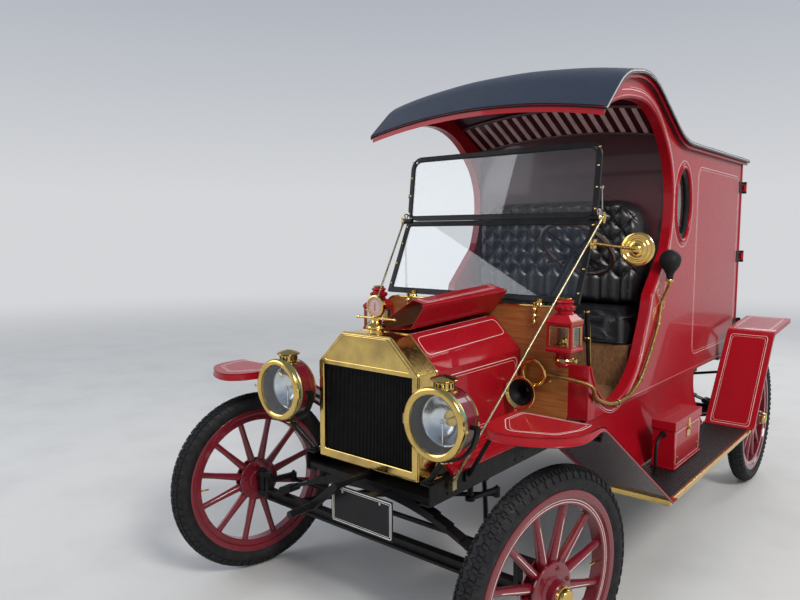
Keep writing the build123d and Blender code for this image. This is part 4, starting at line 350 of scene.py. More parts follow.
def addTube(shape, points, radius, segments=10, closed=False, flat=1.0):
    # a round bar along points; radius may be one for each point
    points = [Vector(p) for p in points]
    count = len(points)
    radii = radius if isinstance(radius, (list, tuple)) else [radius] * count
    rings, side = [], None
    for k, point in enumerate(points):
        before = points[k - 1] if (k or closed) else point
        after = points[(k + 1) % count] if (k < count - 1 or closed) else point
        along = (after - before).normalized()
        if side is None:
            side = along.orthogonal().normalized()
        side = (side - along * side.dot(along)).normalized()
        up = along.cross(side)
        rings.append([shape.verts.new(point + (side * math.cos(a) * flat + up * math.sin(a)) * radii[k] * mm)
                      for a in [tau * j / segments for j in range(segments)]])
    addFaces(shape, rings, closed)
    if not closed:
        shape.faces.new(rings[0])
        shape.faces.new(rings[-1])


def addPrism(shape, outline, run):
    # a flat outline stretched along a vector
    low = [shape.verts.new(p) for p in outline]
    high = [shape.verts.new(p + run) for p in outline]
    shape.faces.new(low)
    shape.faces.new(high)
    for k in range(len(low)):
        n = (k + 1) % len(low)
        shape.faces.new((low[k], low[n], high[n], high[k]))


def addBox(shape, low, high):
    x0, y0, z0 = low
    x1, y1, z1 = high
    addPrism(shape, [Vector((x0, y0, z0)), Vector((x1, y0, z0)), Vector((x1, y1, z0)), Vector((x0, y1, z0))],
             Vector((0, 0, z1 - z0)))


def addFrame(shape, outer, inner, run):
    # a flat frame between two outlines of as many points, stretched along a vector
    loops = [[shape.verts.new(p) for p in loop] for loop in
             (outer, [p + run for p in outer], [p + run for p in inner], inner)]
    addFaces(shape, loops, closed=True)


def addRibbon(shape, points, normal, width, height=0.35, closed=False):
    # a painted line that stands a hair above its surface; normal is one vector or one for each point
    points = [Vector(p) for p in points]
    count = len(points)
    normals = normal if isinstance(normal, list) else [Vector(normal).normalized()] * count
    rings = []
    for k, point in enumerate(points):
        before = points[k - 1] if (k or closed) else point
        after = points[(k + 1) % count] if (k < count - 1 or closed) else point
        across = (after - before).cross(normals[k]).normalized() * width / 2 * mm
        lift = normals[k] * height * mm
        sink = normals[k] * -0.2 * mm
        rings.append([shape.verts.new(point + part) for part in
                      (across + sink, across * 0.8 + lift, -across * 0.8 + lift, -across + sink)])
    addFaces(shape, rings, closed)
    if not closed:
        shape.faces.new(rings[0])
        shape.faces.new(rings[-1])


def registerPiece(piece, body, replaced=()):
    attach(piece, body)
    if replaced:
        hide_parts(*replaced)
    return piece


def finishShape(shape, name, material, body, replaced=(), bevel=0.0, segments=2, angle=34, subdivide=0):
    bmesh.ops.recalc_face_normals(shape, faces=shape.faces)
    piece = shapeObject(name, shape)
    if bevel:
        addBevel(piece, bevel, segments)
    if subdivide:
        addSubdivision(piece, subdivide)
    if bevel or subdivide:
        settle(piece)
    piece.data.materials.append(finishes[material])
    shade(piece, angle)
    return registerPiece(piece, body, replaced)


# node trees for what repeats: round a ring, in a row, or on chosen points
def newTree(name, inputs):
    tree = bpy.data.node_groups.new(name, "GeometryNodeTree")
    tree.interface.new_socket("Geometry", in_out="INPUT", socket_type="NodeSocketGeometry")
    for label, kind in inputs:
        tree.interface.new_socket(label, in_out="INPUT", socket_type="NodeSocket" + kind)
    tree.interface.new_socket("Geometry", in_out="OUTPUT", socket_type="NodeSocketGeometry")
    return tree, tree.nodes.new("NodeGroupInput"), tree.nodes.new("NodeGroupOutput")


def realize(tree, start, end, copies):
    # the copies become real and take their finish
    link = tree.links.new
    real = tree.nodes.new("GeometryNodeRealizeInstances")
    paint = tree.nodes.new("GeometryNodeSetMaterial")
    link(copies, real.inputs[0])
    link(real.outputs[0], paint.inputs[0])
    link(start.outputs["Finish"], paint.inputs["Material"])
    link(paint.outputs[0], end.inputs[0])
    return tree


def endTree(tree, start, end, points, rotation=None):
    link = tree.links.new
    shapeInfo = tree.nodes.new("GeometryNodeObjectInfo")
    link(start.outputs["Shape"], shapeInfo.inputs["Object"])
    place = tree.nodes.new("GeometryNodeInstanceOnPoints")
    link(points, place.inputs["Points"])
    link(shapeInfo.outputs["Geometry"], place.inputs["Instance"])
    link(start.outputs["Size"], place.inputs["Scale"])
    if rotation:
        link(rotation, place.inputs["Rotation"])
    return realize(tree, start, end, place.outputs[0])


common = [("Shape", "Object"), ("Size", "Float"), ("Finish", "Material")]


def makeRingTree():
    # copies round a ring about Z, each with its X pointing out
    tree, start, end = newTree("ringOfCopies", common + [("Count", "Int"), ("Radius", "Float")])
    link = tree.links.new
    circle = tree.nodes.new("GeometryNodeMeshCircle")
    link(start.outputs["Count"], circle.inputs["Vertices"])
    link(start.outputs["Radius"], circle.inputs["Radius"])
    position = tree.nodes.new("GeometryNodeInputPosition")
    aim = tree.nodes.new("FunctionNodeAlignRotationToVector")
    aim.axis = "X"
    aim.pivot_axis = "Z"
    link(position.outputs[0], aim.inputs["Vector"])
    return endTree(tree, start, end, circle.outputs[0], aim.outputs[0])


def makeRowTree():
    # copies in a straight row
    tree, start, end = newTree("rowOfCopies", common + [("Count", "Int"), ("First", "Vector"), ("Step", "Vector")])
    link = tree.links.new
    row = tree.nodes.new("GeometryNodeMeshLine")
    link(start.outputs["Count"], row.inputs["Count"])
    link(start.outputs["First"], row.inputs["Start Location"])
    link(start.outputs["Step"], row.inputs["Offset"])
    return endTree(tree, start, end, row.outputs[0])


def makeStudTree():
    # a copy on each point of the mesh, its Z along the point's own "aim"
    tree, start, end = newTree("studsOnPoints", common)
    link = tree.links.new
    named = tree.nodes.new("GeometryNodeInputNamedAttribute")
    named.data_type = "FLOAT_VECTOR"
    named.inputs["Name"].default_value = "aim"
    aim = tree.nodes.new("FunctionNodeAlignRotationToVector")
    aim.axis = "Z"
    link(named.outputs[0], aim.inputs["Vector"])
    return endTree(tree, start, end, start.outputs["Geometry"], aim.outputs[0])


ringTree, rowTree, studTree = makeRingTree(), makeRowTree(), makeStudTree()


def growFrom(piece, tree, values):
    # the tree's inputs are set by their identifiers, and what it grows becomes the mesh
    grow = piece.modifiers.new("grow", "NODES")
    grow.node_group = tree
    for item in tree.interface.items_tree:
        if item.in_out == "INPUT" and item.name in values:
            grow[item.identifier] = values[item.name]
    settle(piece)


def growPiece(name, tree, template, values, material, body, place=None, points=None, angle=34):
    # template: the bmesh that is copied; place: where the result goes
    bmesh.ops.recalc_face_normals(template, faces=template.faces)
    copied = shapeObject(name + "Pattern", template)
    mesh = bpy.data.meshes.new(name)
    if points:
        mesh.from_pydata([p for p, _ in points], [], [])
        aims = mesh.attributes.new("aim", "FLOAT_VECTOR", "POINT")
        for k, (_, aim) in enumerate(points):
            aims.data[k].vector = aim
    piece = makeObject(name, mesh)
    growFrom(piece, tree, {"Shape": copied, "Size": 1.0, "Finish": finishes[material], **values})
    if place:
        piece.data.transform(place)
    bpy.data.objects.remove(copied)
    if not piece.data.materials:
        piece.data.materials.append(finishes[material])
    shade(piece, angle)
    return registerPiece(piece, body)


def growRing(name, template, count, material, body, place=None, angle=34):
    values = {"Count": count, "Radius": pointRing}
    return growPiece(name, ringTree, template, values, material, body, place, angle=angle)


def growStuds(name, profile, segments, points, material, body):
    # a small turned piece on each point; points: where it stands and the way it points
    stud = bmesh.new()
    addLathe(stud, profile, Vector(), upward, segments=segments)
    return growPiece(name, studTree, stud, {}, material, body, points=points)


def frameAt(centre, axis):
    # a matrix whose Z runs along the axis
    return Matrix.Translation(centre) @ Vector(axis).to_track_quat("Z", "Y").to_matrix().to_4x4()


def arcPoints(start, middle, end, count):
    # points on the circle through three points of a plane, without the first
    (x1, y1), (x2, y2), (x3, y3) = start, middle, end
    d = 2 * (x1 * (y2 - y3) + x2 * (y3 - y1) + x3 * (y1 - y2))
    s1, s2, s3 = x1 * x1 + y1 * y1, x2 * x2 + y2 * y2, x3 * x3 + y3 * y3
    cx = (s1 * (y2 - y3) + s2 * (y3 - y1) + s3 * (y1 - y2)) / d
    cy = (s1 * (x3 - x2) + s2 * (x1 - x3) + s3 * (x2 - x1)) / d
    radius = math.hypot(x1 - cx, y1 - cy)
    first, half, last = [math.atan2(y - cy, x - cx) for x, y in (start, middle, end)]
    turn = (last - first) % tau
    if (half - first) % tau > turn:
        turn -= tau
    return [(cx + radius * math.cos(first + turn * k / count), cy + radius * math.sin(first + turn * k / count))
            for k in range(1, count + 1)]


def roundedPath(points, radii, closed=False, count=8):
    # a path in a plane with its corners rounded
    total = len(points)
    result = []
    for k, (point, radius) in enumerate(zip(points, radii)):
        p = Vector(point)
        if radius <= 0 or (not closed and k in (0, total - 1)):
            result.append(tuple(p))
            continue
        a, b = (Vector(points[k - 1]) - p), (Vector(points[(k + 1) % total]) - p)
        half = a.angle(b) / 2
        reach = radius / math.tan(half)
        first, last = p + a.normalized() * reach, p + b.normalized() * reach
        centre = p + (a.normalized() + b.normalized()).normalized() * radius / math.sin(half)
        u, v = first - centre, last - centre
        turn = math.atan2(u.x * v.y - u.y * v.x, u.dot(v))
        for j in range(count + 1):
            c, s = math.cos(turn * j / count), math.sin(turn * j / count)
            result.append((centre.x + u.x * c - u.y * s, centre.y + u.x * s + u.y * c))
    return result


def roundedBox(x0, y0, x1, y1, radius, count=8):
    # a closed rectangle with rounded corners; radius may be one for each corner
    radii = radius if isinstance(radius, list) else [radius] * 4
    return roundedPath([(x0, y0), (x1, y0), (x1, y1), (x0, y1)], radii, closed=True, count=count)


# finish and rounding in millimetres of the CAD nodes that keep their shape
dressing = {"frame_rails": ("blackPaint", 2.0), "cross_members": ("blackPaint", 1.5), "springs": ("blackPaint", 1.0),
            "front_axle": ("blackPaint", 2.0), "rear_axle": ("blackPaint", 2.0), "knuckle_left": ("blackPaint", 1.0),
            "knuckle_right": ("blackPaint", 1.0), "steering_column": ("blackPaint", 1.5),
            "pitman_arm": ("blackPaint", 1.0), "tie_rod": ("blackPaint", 1.0), "cab_floor": ("floorWood", 2.0),
            "roof_shell": ("roofBoards", 2.0), "body_sides": ("redPaint", 4.0),
            "cab_partition": ("ceilingPaint", 2.0), "door_frame": ("redPaint", 3.0),
            "rear_door_left": ("redPaint", 3.0), "rear_door_right": ("redPaint", 3.0),
            "door_hinges": ("blackPaint", 1.0), "firewall": ("varnishedWood", 2.0), "cowl": ("redPaint", 2.0),
            "hood_left": ("redPaint", 0.6), "hood_top_right": ("redPaint", 0.6), "hood_side_right": ("redPaint", 0.6),
            "hood_shelves": ("redPaint", 1.5), "engine": ("castIron", 3.0), "starting_crank": ("blackPaint", 1.5),
            "rear_fenders": ("fenderPaint", 1.4), "running_boards": ("blackPaint", 1.5),
            "splash_aprons": ("fenderPaint", 0.6), "windshield_frame": ("blackPaint", 4.0),
            "window_glass": ("windowGlass", 0.0), "lamp_forks": ("blackPaint", 2.0),
            "number_plate": ("plateBlack", 0.6), "tool_box": ("redPaint", 1.0), "controls": ("blackPaint", 1.0),
            "exhaust": ("castIron", 1.0), "fender_irons": ("blackPaint", 1.0)}
print("finishes ready")

# wheels and tyres
wheelLook = {"spokes": 12, "treadPitches": 70, "tread": 5.0, "tyreRadius": 381.0, "halfTrack": 711.0,
             "kingpin": 650.0, "rearAxle": 2540.0, "rearHeight": 381.0, "lean": 2.5, "restTurn": -11.5,
             "pinHeight": 383.339}
sectionCentre = 338.0  # radius of the tyre section's middle
carcass = 38.0


def wheelPlace(side, front):
    # the wheel's middle and its axle's direction, outwards
    if not front:
        return at(side * wheelLook["halfTrack"], wheelLook["rearAxle"], wheelLook["rearHeight"]), Vector((side, 0, 0))
    lean, turn = math.radians(wheelLook["lean"]), math.radians(wheelLook["restTurn"])
    axis = Vector((side * math.cos(lean) * math.cos(turn), side * math.cos(lean) * math.sin(turn), -math.sin(lean)))
    return at(side * wheelLook["kingpin"], 0, wheelLook["pinHeight"]) + axis * 61 * mm, axis


def treadPoint(across, along, lift):
    # a place on the tread: millimetres across it from the middle and along it, and a height above the carcass
    bend = across / (carcass + wheelLook["tread"])
    turn = along / wheelLook["tyreRadius"]
    radius = (sectionCentre + (carcass + lift) * math.cos(bend)) * mm
    return Vector((radius * math.cos(turn), radius * math.sin(turn), (carcass + lift) * math.sin(bend) * mm))


def addBlock(shape, outline):
    low = [shape.verts.new(treadPoint(u, v, -1.0)) for u, v in outline]
    high = [shape.verts.new(treadPoint(u * 0.97, v, wheelLook["tread"])) for u, v in outline]
    shape.faces.new(high)
    for k in range(len(low)):
        n = (k + 1) % len(low)
        shape.faces.new((low[k], low[n], high[n], high[k]))
    shape.faces.new(low)


pitch = tau * wheelLook["tyreRadius"] / wheelLook["treadPitches"]
blocks = [[(-13, 0.02), (0, 0.02), (13, 0.40), (13, 0.52), (0, 0.52), (-13, 0.14)],
          [(13, 0.56), (0, 0.56), (-13, 0.86), (-13, 0.97), (0, 0.97), (13, 0.68)]]
for side in (1, -1):
    blocks.append([(side * 17, 0.05), (side * 29, 0.05), (side * 32, 0.30), (side * 32, 0.48), (side * 17, 0.40)])
    blocks.append([(side * 17, 0.55), (side * 32, 0.62), (side * 32, 0.90), (side * 17, 0.82)])
    blocks.append([(side * 36, 0.08), (side * 56, 0.08), (side * 56, 0.66), (side * 36, 0.66)])
for name, side, front in (("front_left", 1, True), ("front_right", -1, True), ("rear_left", 1, False),
                          ("rear_right", -1, False)):
    middle, axis = wheelPlace(side, front)
    place = frameAt(middle, axis)
    body = "wheel_" + name
    template = bmesh.new()
    for outline in blocks:
        addBlock(template, [(u, v * pitch) for u, v in outline])
    tread = bmesh.new()
    profile = []
    for k in range(27):
        bend = math.radians(-118 + 236 * k / 26)
        bulge = carcass + 1.5 * max(0.0, math.sin(3 * abs(bend) - 4.4)) + (1.2 if k in (4, 22) else 0.0)
        profile.append((bulge * math.sin(bend), sectionCentre + bulge * math.cos(bend)))
    profile = [(-24, 303)] + profile[1:-1] + [(24, 303)]
    addLathe(tread, profile, middle, axis, segments=96, closed=True)
    finishShape(tread, "carcass_" + name, "rubber", body, ["tyre_" + name], angle=40)
    growRing("tread_" + name, template, wheelLook["treadPitches"], "rubber", body, place)

    # felloe and steel rim, hub, spokes, bolts and cap
    shape = bmesh.new()
    addLathe(shape, [(-20, 262), (-23, 265), (-23, 285), (-31, 288), (-33, 303), (-31, 311), (-26, 311), (-23, 302),
                     (23, 302), (26, 311), (31, 311), (33, 303), (31, 288), (23, 285), (23, 265), (20, 262)],
             middle, axis, segments=72, closed=True)
    addLathe(shape, [(-30, 16.2), (-30, 42), (-27, 44), (-26, 86), (-24, 88), (-18, 88), (-17, 60), (17, 60),
                     (18, 88), (25, 88), (27, 85), (28, 66), (30, 62), (30, 50), (34, 46), (36, 42), (56, 39),
                     (60, 37), (62, 34), (62, 16.2)], middle, axis, segments=48, closed=True)
    finishShape(shape, "felloe_" + name, "wheelPaint", body, ["wheel_" + name], bevel=0.8)
    template = bmesh.new()
    for reach, deep, wide in ((46, 17, 14), (84, 18, 17), (110, 17, 15.5), (200, 13.5, 12.5), (258, 13, 13),
                              (266, 15, 17)):
        ring = [template.verts.new(Vector((reach * mm, wide * math.sin(a) * mm, deep * math.cos(a) * mm)))
                for a in [tau * k / 12 for k in range(12)]]
        if reach > 46:
            addFaces(template, [previous, ring])
        else:
            template.faces.new(ring)
        previous = ring
    template.faces.new(previous)
    turn = Matrix.Rotation(tau / 24, 4, "Z")
    growRing("spokes_" + name, template, wheelLook["spokes"], "wheelPaint", body, place @ turn, angle=60)
    lines = bmesh.new()
    addRibbon(lines, [Vector((r * mm, 0, (18 - (r - 84) * 0.04) * mm)) for r in (96, 120, 160, 200, 246)], (0, 0, 1),
              2.4, height=0.5)
    growRing("spokeLines_" + name, lines, wheelLook["spokes"], "lineWhite", body, place @ turn)
    rings = bmesh.new()
    for radius, along in ((271, 23.1), (279, 23.1), (77, 26.5)):
        addLathe(rings, [(along - 0.4, radius - 1.1), (along + 0.4, radius - 0.8), (along + 0.4, radius + 0.8),
                         (along - 0.4, radius + 1.1)], middle, axis, segments=72, closed=True)
    finishShape(rings, "wheelLines_" + name, "lineWhite", body)
    bolts = [(place @ turn @ Vector((70 * mm * math.cos(a), 70 * mm * math.sin(a), along * mm)), axis * facing)
             for along, facing in ((26.5, 1), (-25.5, -1)) for a in [tau * k / 6 for k in range(6)]]
    growStuds("hubNuts_" + name, [(-1, 8.5), (5, 8.5), (6, 7), (6, 4.5), (9, 4.5), (10, 3.5), (10, 0)], 6, bolts,
              "wheelPaint", body)
    bolts = [(place @ Vector((273 * mm * math.cos(a), 273 * mm * math.sin(a), -23 * mm)), -axis)
             for a in [tau * (k + 0.5) / 6 for k in range(6)]]
    growStuds("rimNuts_" + name, [(-1, 6), (3, 6), (4.5, 4), (4.5, 0)], 6, bolts, "wheelPaint", body)
    shape = bmesh.new()
    addLathe(shape, [(60, 16.5), (60, 30), (62, 33), (64, 33), (65, 31), (66, 31), (67, 33), (70, 33), (71, 30),
                     (80, 29), (84, 26), (86, 18), (86, 0)], middle, axis, segments=40)
    finishShape(shape, "hubCap_" + name, "brass", body)
    valve = bmesh.new()
    out = place @ Vector((258 * mm, 0, 0)) - middle
    addTube(valve, [middle + out * 1.01, middle + out * 0.94, middle + out * 0.86], [4.5, 4.0, 3.6], segments=10)
    finishShape(valve, "tyreValve_" + name, "brass", body)
    if not front:
        shape = bmesh.new()
        addLathe(shape, [(-24, 60), (-24, 124), (-27, 128), (-34, 128), (-36, 125), (-80, 125), (-82, 128),
                         (-89, 128), (-90, 118), (-34, 116), (-32, 60)], middle, axis, segments=56, closed=True)
        finishShape(shape, "brakeDrum_" + name, "blackPaint", body)
print("wheels ready")

# radiator: brass shell, upright fins, turned cap with a round gauge
radiatorLook = {"front": -47.0, "depth": 120.0, "half": 240.0, "bottom": 602.0, "shoulder": 970.0, "top": 1090.0,
                "topHalf": 118.0, "coreHalf": 214.0, "coreBottom": 636.0, "coreTop": 962.0, "fins": 62}
look = radiatorLook
outline = [(-look["half"], look["bottom"]), (look["half"], look["bottom"]), (look["half"], look["shoulder"]),
           (look["topHalf"], look["top"]), (-look["topHalf"], look["top"]), (-look["half"], look["shoulder"])]
opening = [(-look["coreHalf"], look["coreBottom"]), (look["coreHalf"], look["coreBottom"]),
           (look["coreHalf"], look["coreTop"]), (look["coreHalf"] * 0.5, look["coreTop"]),
           (-look["coreHalf"] * 0.5, look["coreTop"]), (-look["coreHalf"], look["coreTop"])]
shape = bmesh.new()
addFrame(shape, [at(x, look["front"], z) for x, z in outline], [at(x, look["front"], z) for x, z in opening],
         Vector((0, look["depth"] * mm, 0)))
addBox(shape, at(-288, look["front"] + 38, 610), at(-238, look["front"] + 82, 618))
addBox(shape, at(238, look["front"] + 38, 610), at(288, look["front"] + 82, 618))
finishShape(shape, "radiatorShell", "radiatorBrass", "chassis", ["radiator_shell"], bevel=7.0, segments=4,
            angle=50)
shape = bmesh.new()
seam = roundedPath(outline, [4, 4, 20, 30, 30, 20], closed=True, count=6)
for distance in (look["front"] + 8, look["front"] + look["depth"] - 10):
    addTube(shape, [at(x * 1.004, distance, z + (z > 900)) for x, z in seam], 2.6, segments=8, closed=True)
addTube(shape, [at(x * 0.93, look["front"] - 0.5, (z - 1026) * 0.86 + 1028) for x, z in
                roundedPath([(-232, 968), (232, 968), (114, 1088), (-114, 1088)], [8, 8, 24, 24], closed=True)], 1.8,
        segments=8, closed=True)
finishShape(shape, "radiatorBeads", "brass", "chassis")
shape = bmesh.new()
addBox(shape, at(-look["coreHalf"] + 1, look["front"] + 26, look["coreBottom"] + 1),
       at(look["coreHalf"] - 1, look["front"] + 96, look["coreTop"] - 1))
for k in range(9):
    z = look["coreBottom"] + 20 + k * 35.5
    addBox(shape, at(-look["coreHalf"] + 2, look["front"] + 18, z), at(look["coreHalf"] - 2, look["front"] + 30,
                                                                       z + 2.5))
finishShape(shape, "radiatorCore", "coreBlack", "chassis", ["radiator_core"])
fin = bmesh.new()
addBox(fin, Vector((-0.0012, 0, 0)), Vector((0.0012, 0.016, (look["coreTop"] - look["coreBottom"] - 2) * mm)))
step = (2 * look["coreHalf"] - 10) / (look["fins"] - 1)
growPiece("radiatorFins", rowTree, fin, {"Count": look["fins"], "Step": (step * mm, 0, 0),
                                         "First": tuple(at(-look["coreHalf"] + 5, look["front"] + 12,
                                                           look["coreBottom"] + 1))}, "coreBlack", "chassis")
capCentre = at(0, look["front"] + look["depth"] / 2, look["top"])
shape = bmesh.new()
addLathe(shape, [(-2, 33), (2, 33), (4, 29), (14, 27), (17, 33), (20, 36), (26, 36), (29, 33), (34, 30), (37, 22),
                 (42, 17), (52, 16), (54, 20), (58, 20), (60, 15), (64, 14), (66, 0)], capCentre, (0, 0, 1),
         segments=40)
gaugeCentre = at(0, look["front"] + look["depth"] / 2, 1190)
addLathe(shape, [(-9, 0), (-9, 36), (-7, 40), (7, 40), (9, 37), (9, 33), (5, 32), (5, 0)], gaugeCentre, (0, -1, 0),
         segments=48)
ends = at(0, look["front"] + look["depth"] / 2, 1146)
addTube(shape, [ends + off(x, 0, 0) for x in (-95, -92, -86, -84, -30, 0, 30, 84, 86, 92, 95)],
        [2, 6, 6, 3.5, 4.5, 9, 4.5, 3.5, 6, 6, 2], segments=14)
finishShape(shape, "radiatorCap", "brass", "chassis", angle=45)
shape = bmesh.new()
addLathe(shape, [(5.0, 0), (5.0, 32), (5.8, 32), (5.8, 0)], gaugeCentre, (0, -1, 0), segments=40)
finishShape(shape, "gaugeFace", "slatPaint", "chassis")
shape = bmesh.new()
gaugeFront = gaugeCentre + Vector((0, -6.2 * mm, 0))
addPrism(shape, [gaugeFront + off(x, 0, z) for x, z in ((-1.6, -16), (1.6, -16), (0.5, 14), (-0.5, 14))],
         Vector((0, -0.0006, 0)))
finishShape(shape, "gaugeNeedle", "redPaint", "chassis")
tick = bmesh.new()
addBox(tick, Vector((0.024, -0.0006, 0)), Vector((0.029, 0.0006, 0.0004)))
growRing("gaugeTicks", tick, 16, "coreBlack", "chassis", frameAt(gaugeCentre + Vector((0, -5.7 * mm, 0)),
                                                                          (0, -1, 0)))
print("radiator ready")

# headlamps
lampLook = {"x": 376.0, "z": 852.0, "front": -147.0, "vents": 14}
for name, side in sides:
    centre = at(side * lampLook["x"], lampLook["front"], lampLook["z"])
    shape = bmesh.new()
    addLathe(shape, [(4, 96), (0, 101), (-1, 108), (1, 115), (6, 119.5), (12, 120), (16, 117), (18, 111), (18, 97),
                     (8, 96)], centre, backward, segments=64, closed=True)
    addLathe(shape, [(104, 106), (110, 107), (114, 104), (118, 92), (138, 72), (150, 40), (151, 0), (146, 0),
                     (134, 64), (106, 98)], centre, backward, segments=48)
    base = centre + Vector((0, 66 * mm, 0))
    addLathe(shape, [(96, 44), (103, 44), (106, 40), (108, 34), (128, 33), (130, 38), (133, 44), (136, 46), (139, 44),
                     (145, 30), (150, 12), (151, 0)], base, (0, 0, 1), segments=32)
    finishShape(shape, "lampBrass" + name, "brass", "chassis", ["headlamps"], angle=40)
    # dark slots on the chimney: painted shade in its vent openings
    vent = bmesh.new()
    addBox(vent, Vector((0.031, -0.0024, 0)), Vector((0.0345, 0.0024, 0.016)))
    growRing("lampVents" + name, vent, lampLook["vents"], "coreBlack", "chassis",
             Matrix.Translation(base + Vector((0, 0, 110 * mm))))
    shape = bmesh.new()
    addLathe(shape, [(17, 104), (17, 114), (20, 117), (25, 117), (28, 113), (32, 110), (36, 112), (40, 110),
                     (40, 104)], centre, backward, segments=56, closed=True)
    finishShape(shape, "lampRing" + name, "oldBrass", "chassis")
    shape = bmesh.new()
    addLathe(shape, [(38, 104), (40, 106), (52, 106), (54, 104), (90, 104), (92, 106), (104, 106), (106, 104),
                     (106, 100), (38, 100)], centre, backward, segments=56, closed=True)
    finishShape(shape, "lampDrum" + name, "wheelPaint", "chassis")
    # a dark maroon wall round the reflector inside the drum: painted shade at the lamp's rim
    shape = bmesh.new()
    addLathe(shape, [(12, 98), (20, 97), (60, 94), (84, 88), (94, 78), (98, 64), (100, 64), (97, 80), (88, 92),
                     (62, 98), (14, 101)], centre, backward, segments=48, closed=True)
    finishShape(shape, "lampInside" + name, "lampInside", "chassis", angle=60)
    shape = bmesh.new()
    addLathe(shape, [(56, 80), (58, 83), (61, 83), (62, 79), (80, 66), (94, 50), (102, 34), (107, 16), (108, 0),
                     (111, 0), (110, 18), (105, 36), (97, 53), (83, 70), (64, 84), (56, 84)], centre, backward,
             segments=48, closed=True)
    addLathe(shape, [(52, 0), (52, 5), (56, 8), (70, 8), (74, 5), (107, 4)], centre, backward, segments=16)
    addTube(shape, [centre + off(x, 62, z) for x, z in ((0, -92), (0, -20), (0, -6))], 4, segments=10)
    finishShape(shape, "lampReflector" + name, "reflector", "chassis", angle=60)
    shape = bmesh.new()
    addLathe(shape, [(7, 0), (7, 97), (11, 97), (11, 0)], centre, backward, segments=48)
    finishShape(shape, "lampLens" + name, "windowGlass", "chassis", ["lamp_glass"])
    # burner valve under the drum, and the hinge and clasp beside the ring
    shape = bmesh.new()
    low = base + Vector((0, 0, -104 * mm))
    addLathe(shape, [(-2, 24), (4, 24), (6, 14), (12, 13), (14, 17), (17, 17), (19, 9), (30, 8), (32, 12), (36, 12),
                     (38, 6), (40, 0)], low, (0, 0, -1), segments=20)
    addTube(shape, [low + Vector((x * mm, 0, -24 * mm)) for x in (-34, -32, -28, -26, 0, 26, 28, 32, 34)],
            [3, 8, 8, 3, 3.5, 3, 8, 8, 3], segments=12)
    hinge = centre + Vector((-side * 119 * mm, 10 * mm, 0))
    addTube(shape, [hinge + Vector((0, 0, z * mm)) for z in (-18, -17, 17, 18)], [3, 5, 5, 3], segments=10)
    clasp = centre + Vector((side * 119 * mm, 8 * mm, 0))
    addTube(shape, [clasp, clasp + Vector((side * 8 * mm, -2 * mm, 0)), clasp + Vector((side * 12 * mm, -3 * mm, 0))],
            [4, 3, 5.5], segments=10)
    finishShape(shape, "lampFittings" + name, "brass", "chassis")
print("headlamps ready")

# roof: stretched cloth, piping along its edges, pale slats under the cab's ceiling in a band near its front, their
# paleness partly painted light
roofLook = {"half": 583.0, "front": 633.0, "length": 2157.0, "turned": 14.0, "cloth": 5.0, "slats": 18,
            "slatSpacing": 57.0, "slatWidth": 25.0, "crownAxis": -903.2}
roofCorners = [(633, 1976), (815, 2140), (1100, 2190), (1570, 1954), (2790, 1964)]
roofPath = roundedPath(roofCorners, [0, 300, 420, 480, 0], count=18)


def roofPoint(x, distance, lift=0.0):
    # a point this far above the roof boards, by the distance along the car
    for (a0, z0), (a1, z1) in zip(roofPath, roofPath[1:]):
        if distance <= a1 or (a1, z1) == roofPath[-1]:
            middle = z0 + (z1 - z0) * (distance - a0) / (a1 - a0)
            break
    reach = middle + lift - roofLook["crownAxis"]
    return at(x, distance, roofLook["crownAxis"] + math.sqrt(reach * reach - x * x))


shape = bmesh.new()
columns = [-roofLook["half"] + 2 * roofLook["half"] * k / 28 for k in range(29)]
rows = sorted({round(a, 1) for a, _ in roofPath} | {roofLook["front"] + roofLook["length"] * k / 60
                                                    for k in range(61)})
grid = []
for distance in rows:
    line = [roofPoint(x, distance, 0.6 + 0.5 * math.sin(x * 0.021 + distance * 0.013)) for x in columns]
    turned = off(0, 0, roofLook["turned"])
    line = [line[0] - turned] + line + [line[-1] - turned]
    grid.append([shape.verts.new(p) for p in line])
for a, b in zip(grid, grid[1:]):
    for k in range(len(columns) + 1):
        shape.faces.new((a[k], b[k], b[k + 1], a[k + 1]))
bmesh.ops.recalc_face_normals(shape, faces=shape.faces)
piece = shapeObject("roofSheet", shape)
if sum(face.normal.z for face in piece.data.polygons) < 0:
    piece.data.flip_normals()
thick = piece.modifiers.new("thick", "SOLIDIFY")
thick.thickness = roofLook["cloth"] * mm
thick.offset = 1.0
settle(piece).materials.append(finishes["roofCloth"])
shade(piece, 50)
registerPiece(piece, "chassis", ["roof_cover"])

shape = bmesh.new()
for side in (1, -1):
    addTube(shape, [roofPoint(side * 585.0, a, -3.0) for a in rows], 4.0, segments=8)
finishShape(shape, "roofPiping", "pipingPale", "chassis")
shape = bmesh.new()
for distance in (631.5, 2791.5):
    addTube(shape, [roofPoint(x, distance, -4.0) for x in columns], 3.6, segments=8)
for side in (1, -1):
    addTube(shape, [roofPoint(side * 584, a, -12.0) for a in rows], 3.0, segments=8)
finishShape(shape, "roofEdging", "blackPaint", "chassis")
tacks = [(roofPoint(side * 581, 645 + 42.4 * k, -12.0) + Vector((side * 0.0028, 0, 0)), Vector((side, 0, 0)))
         for side in (1, -1) for k in range(51)]
growStuds("roofTacks", [(-1, 3.6), (0.6, 3.6), (1.8, 2.2), (2.2, 0)], 8, tacks, "blackPaint", "chassis")
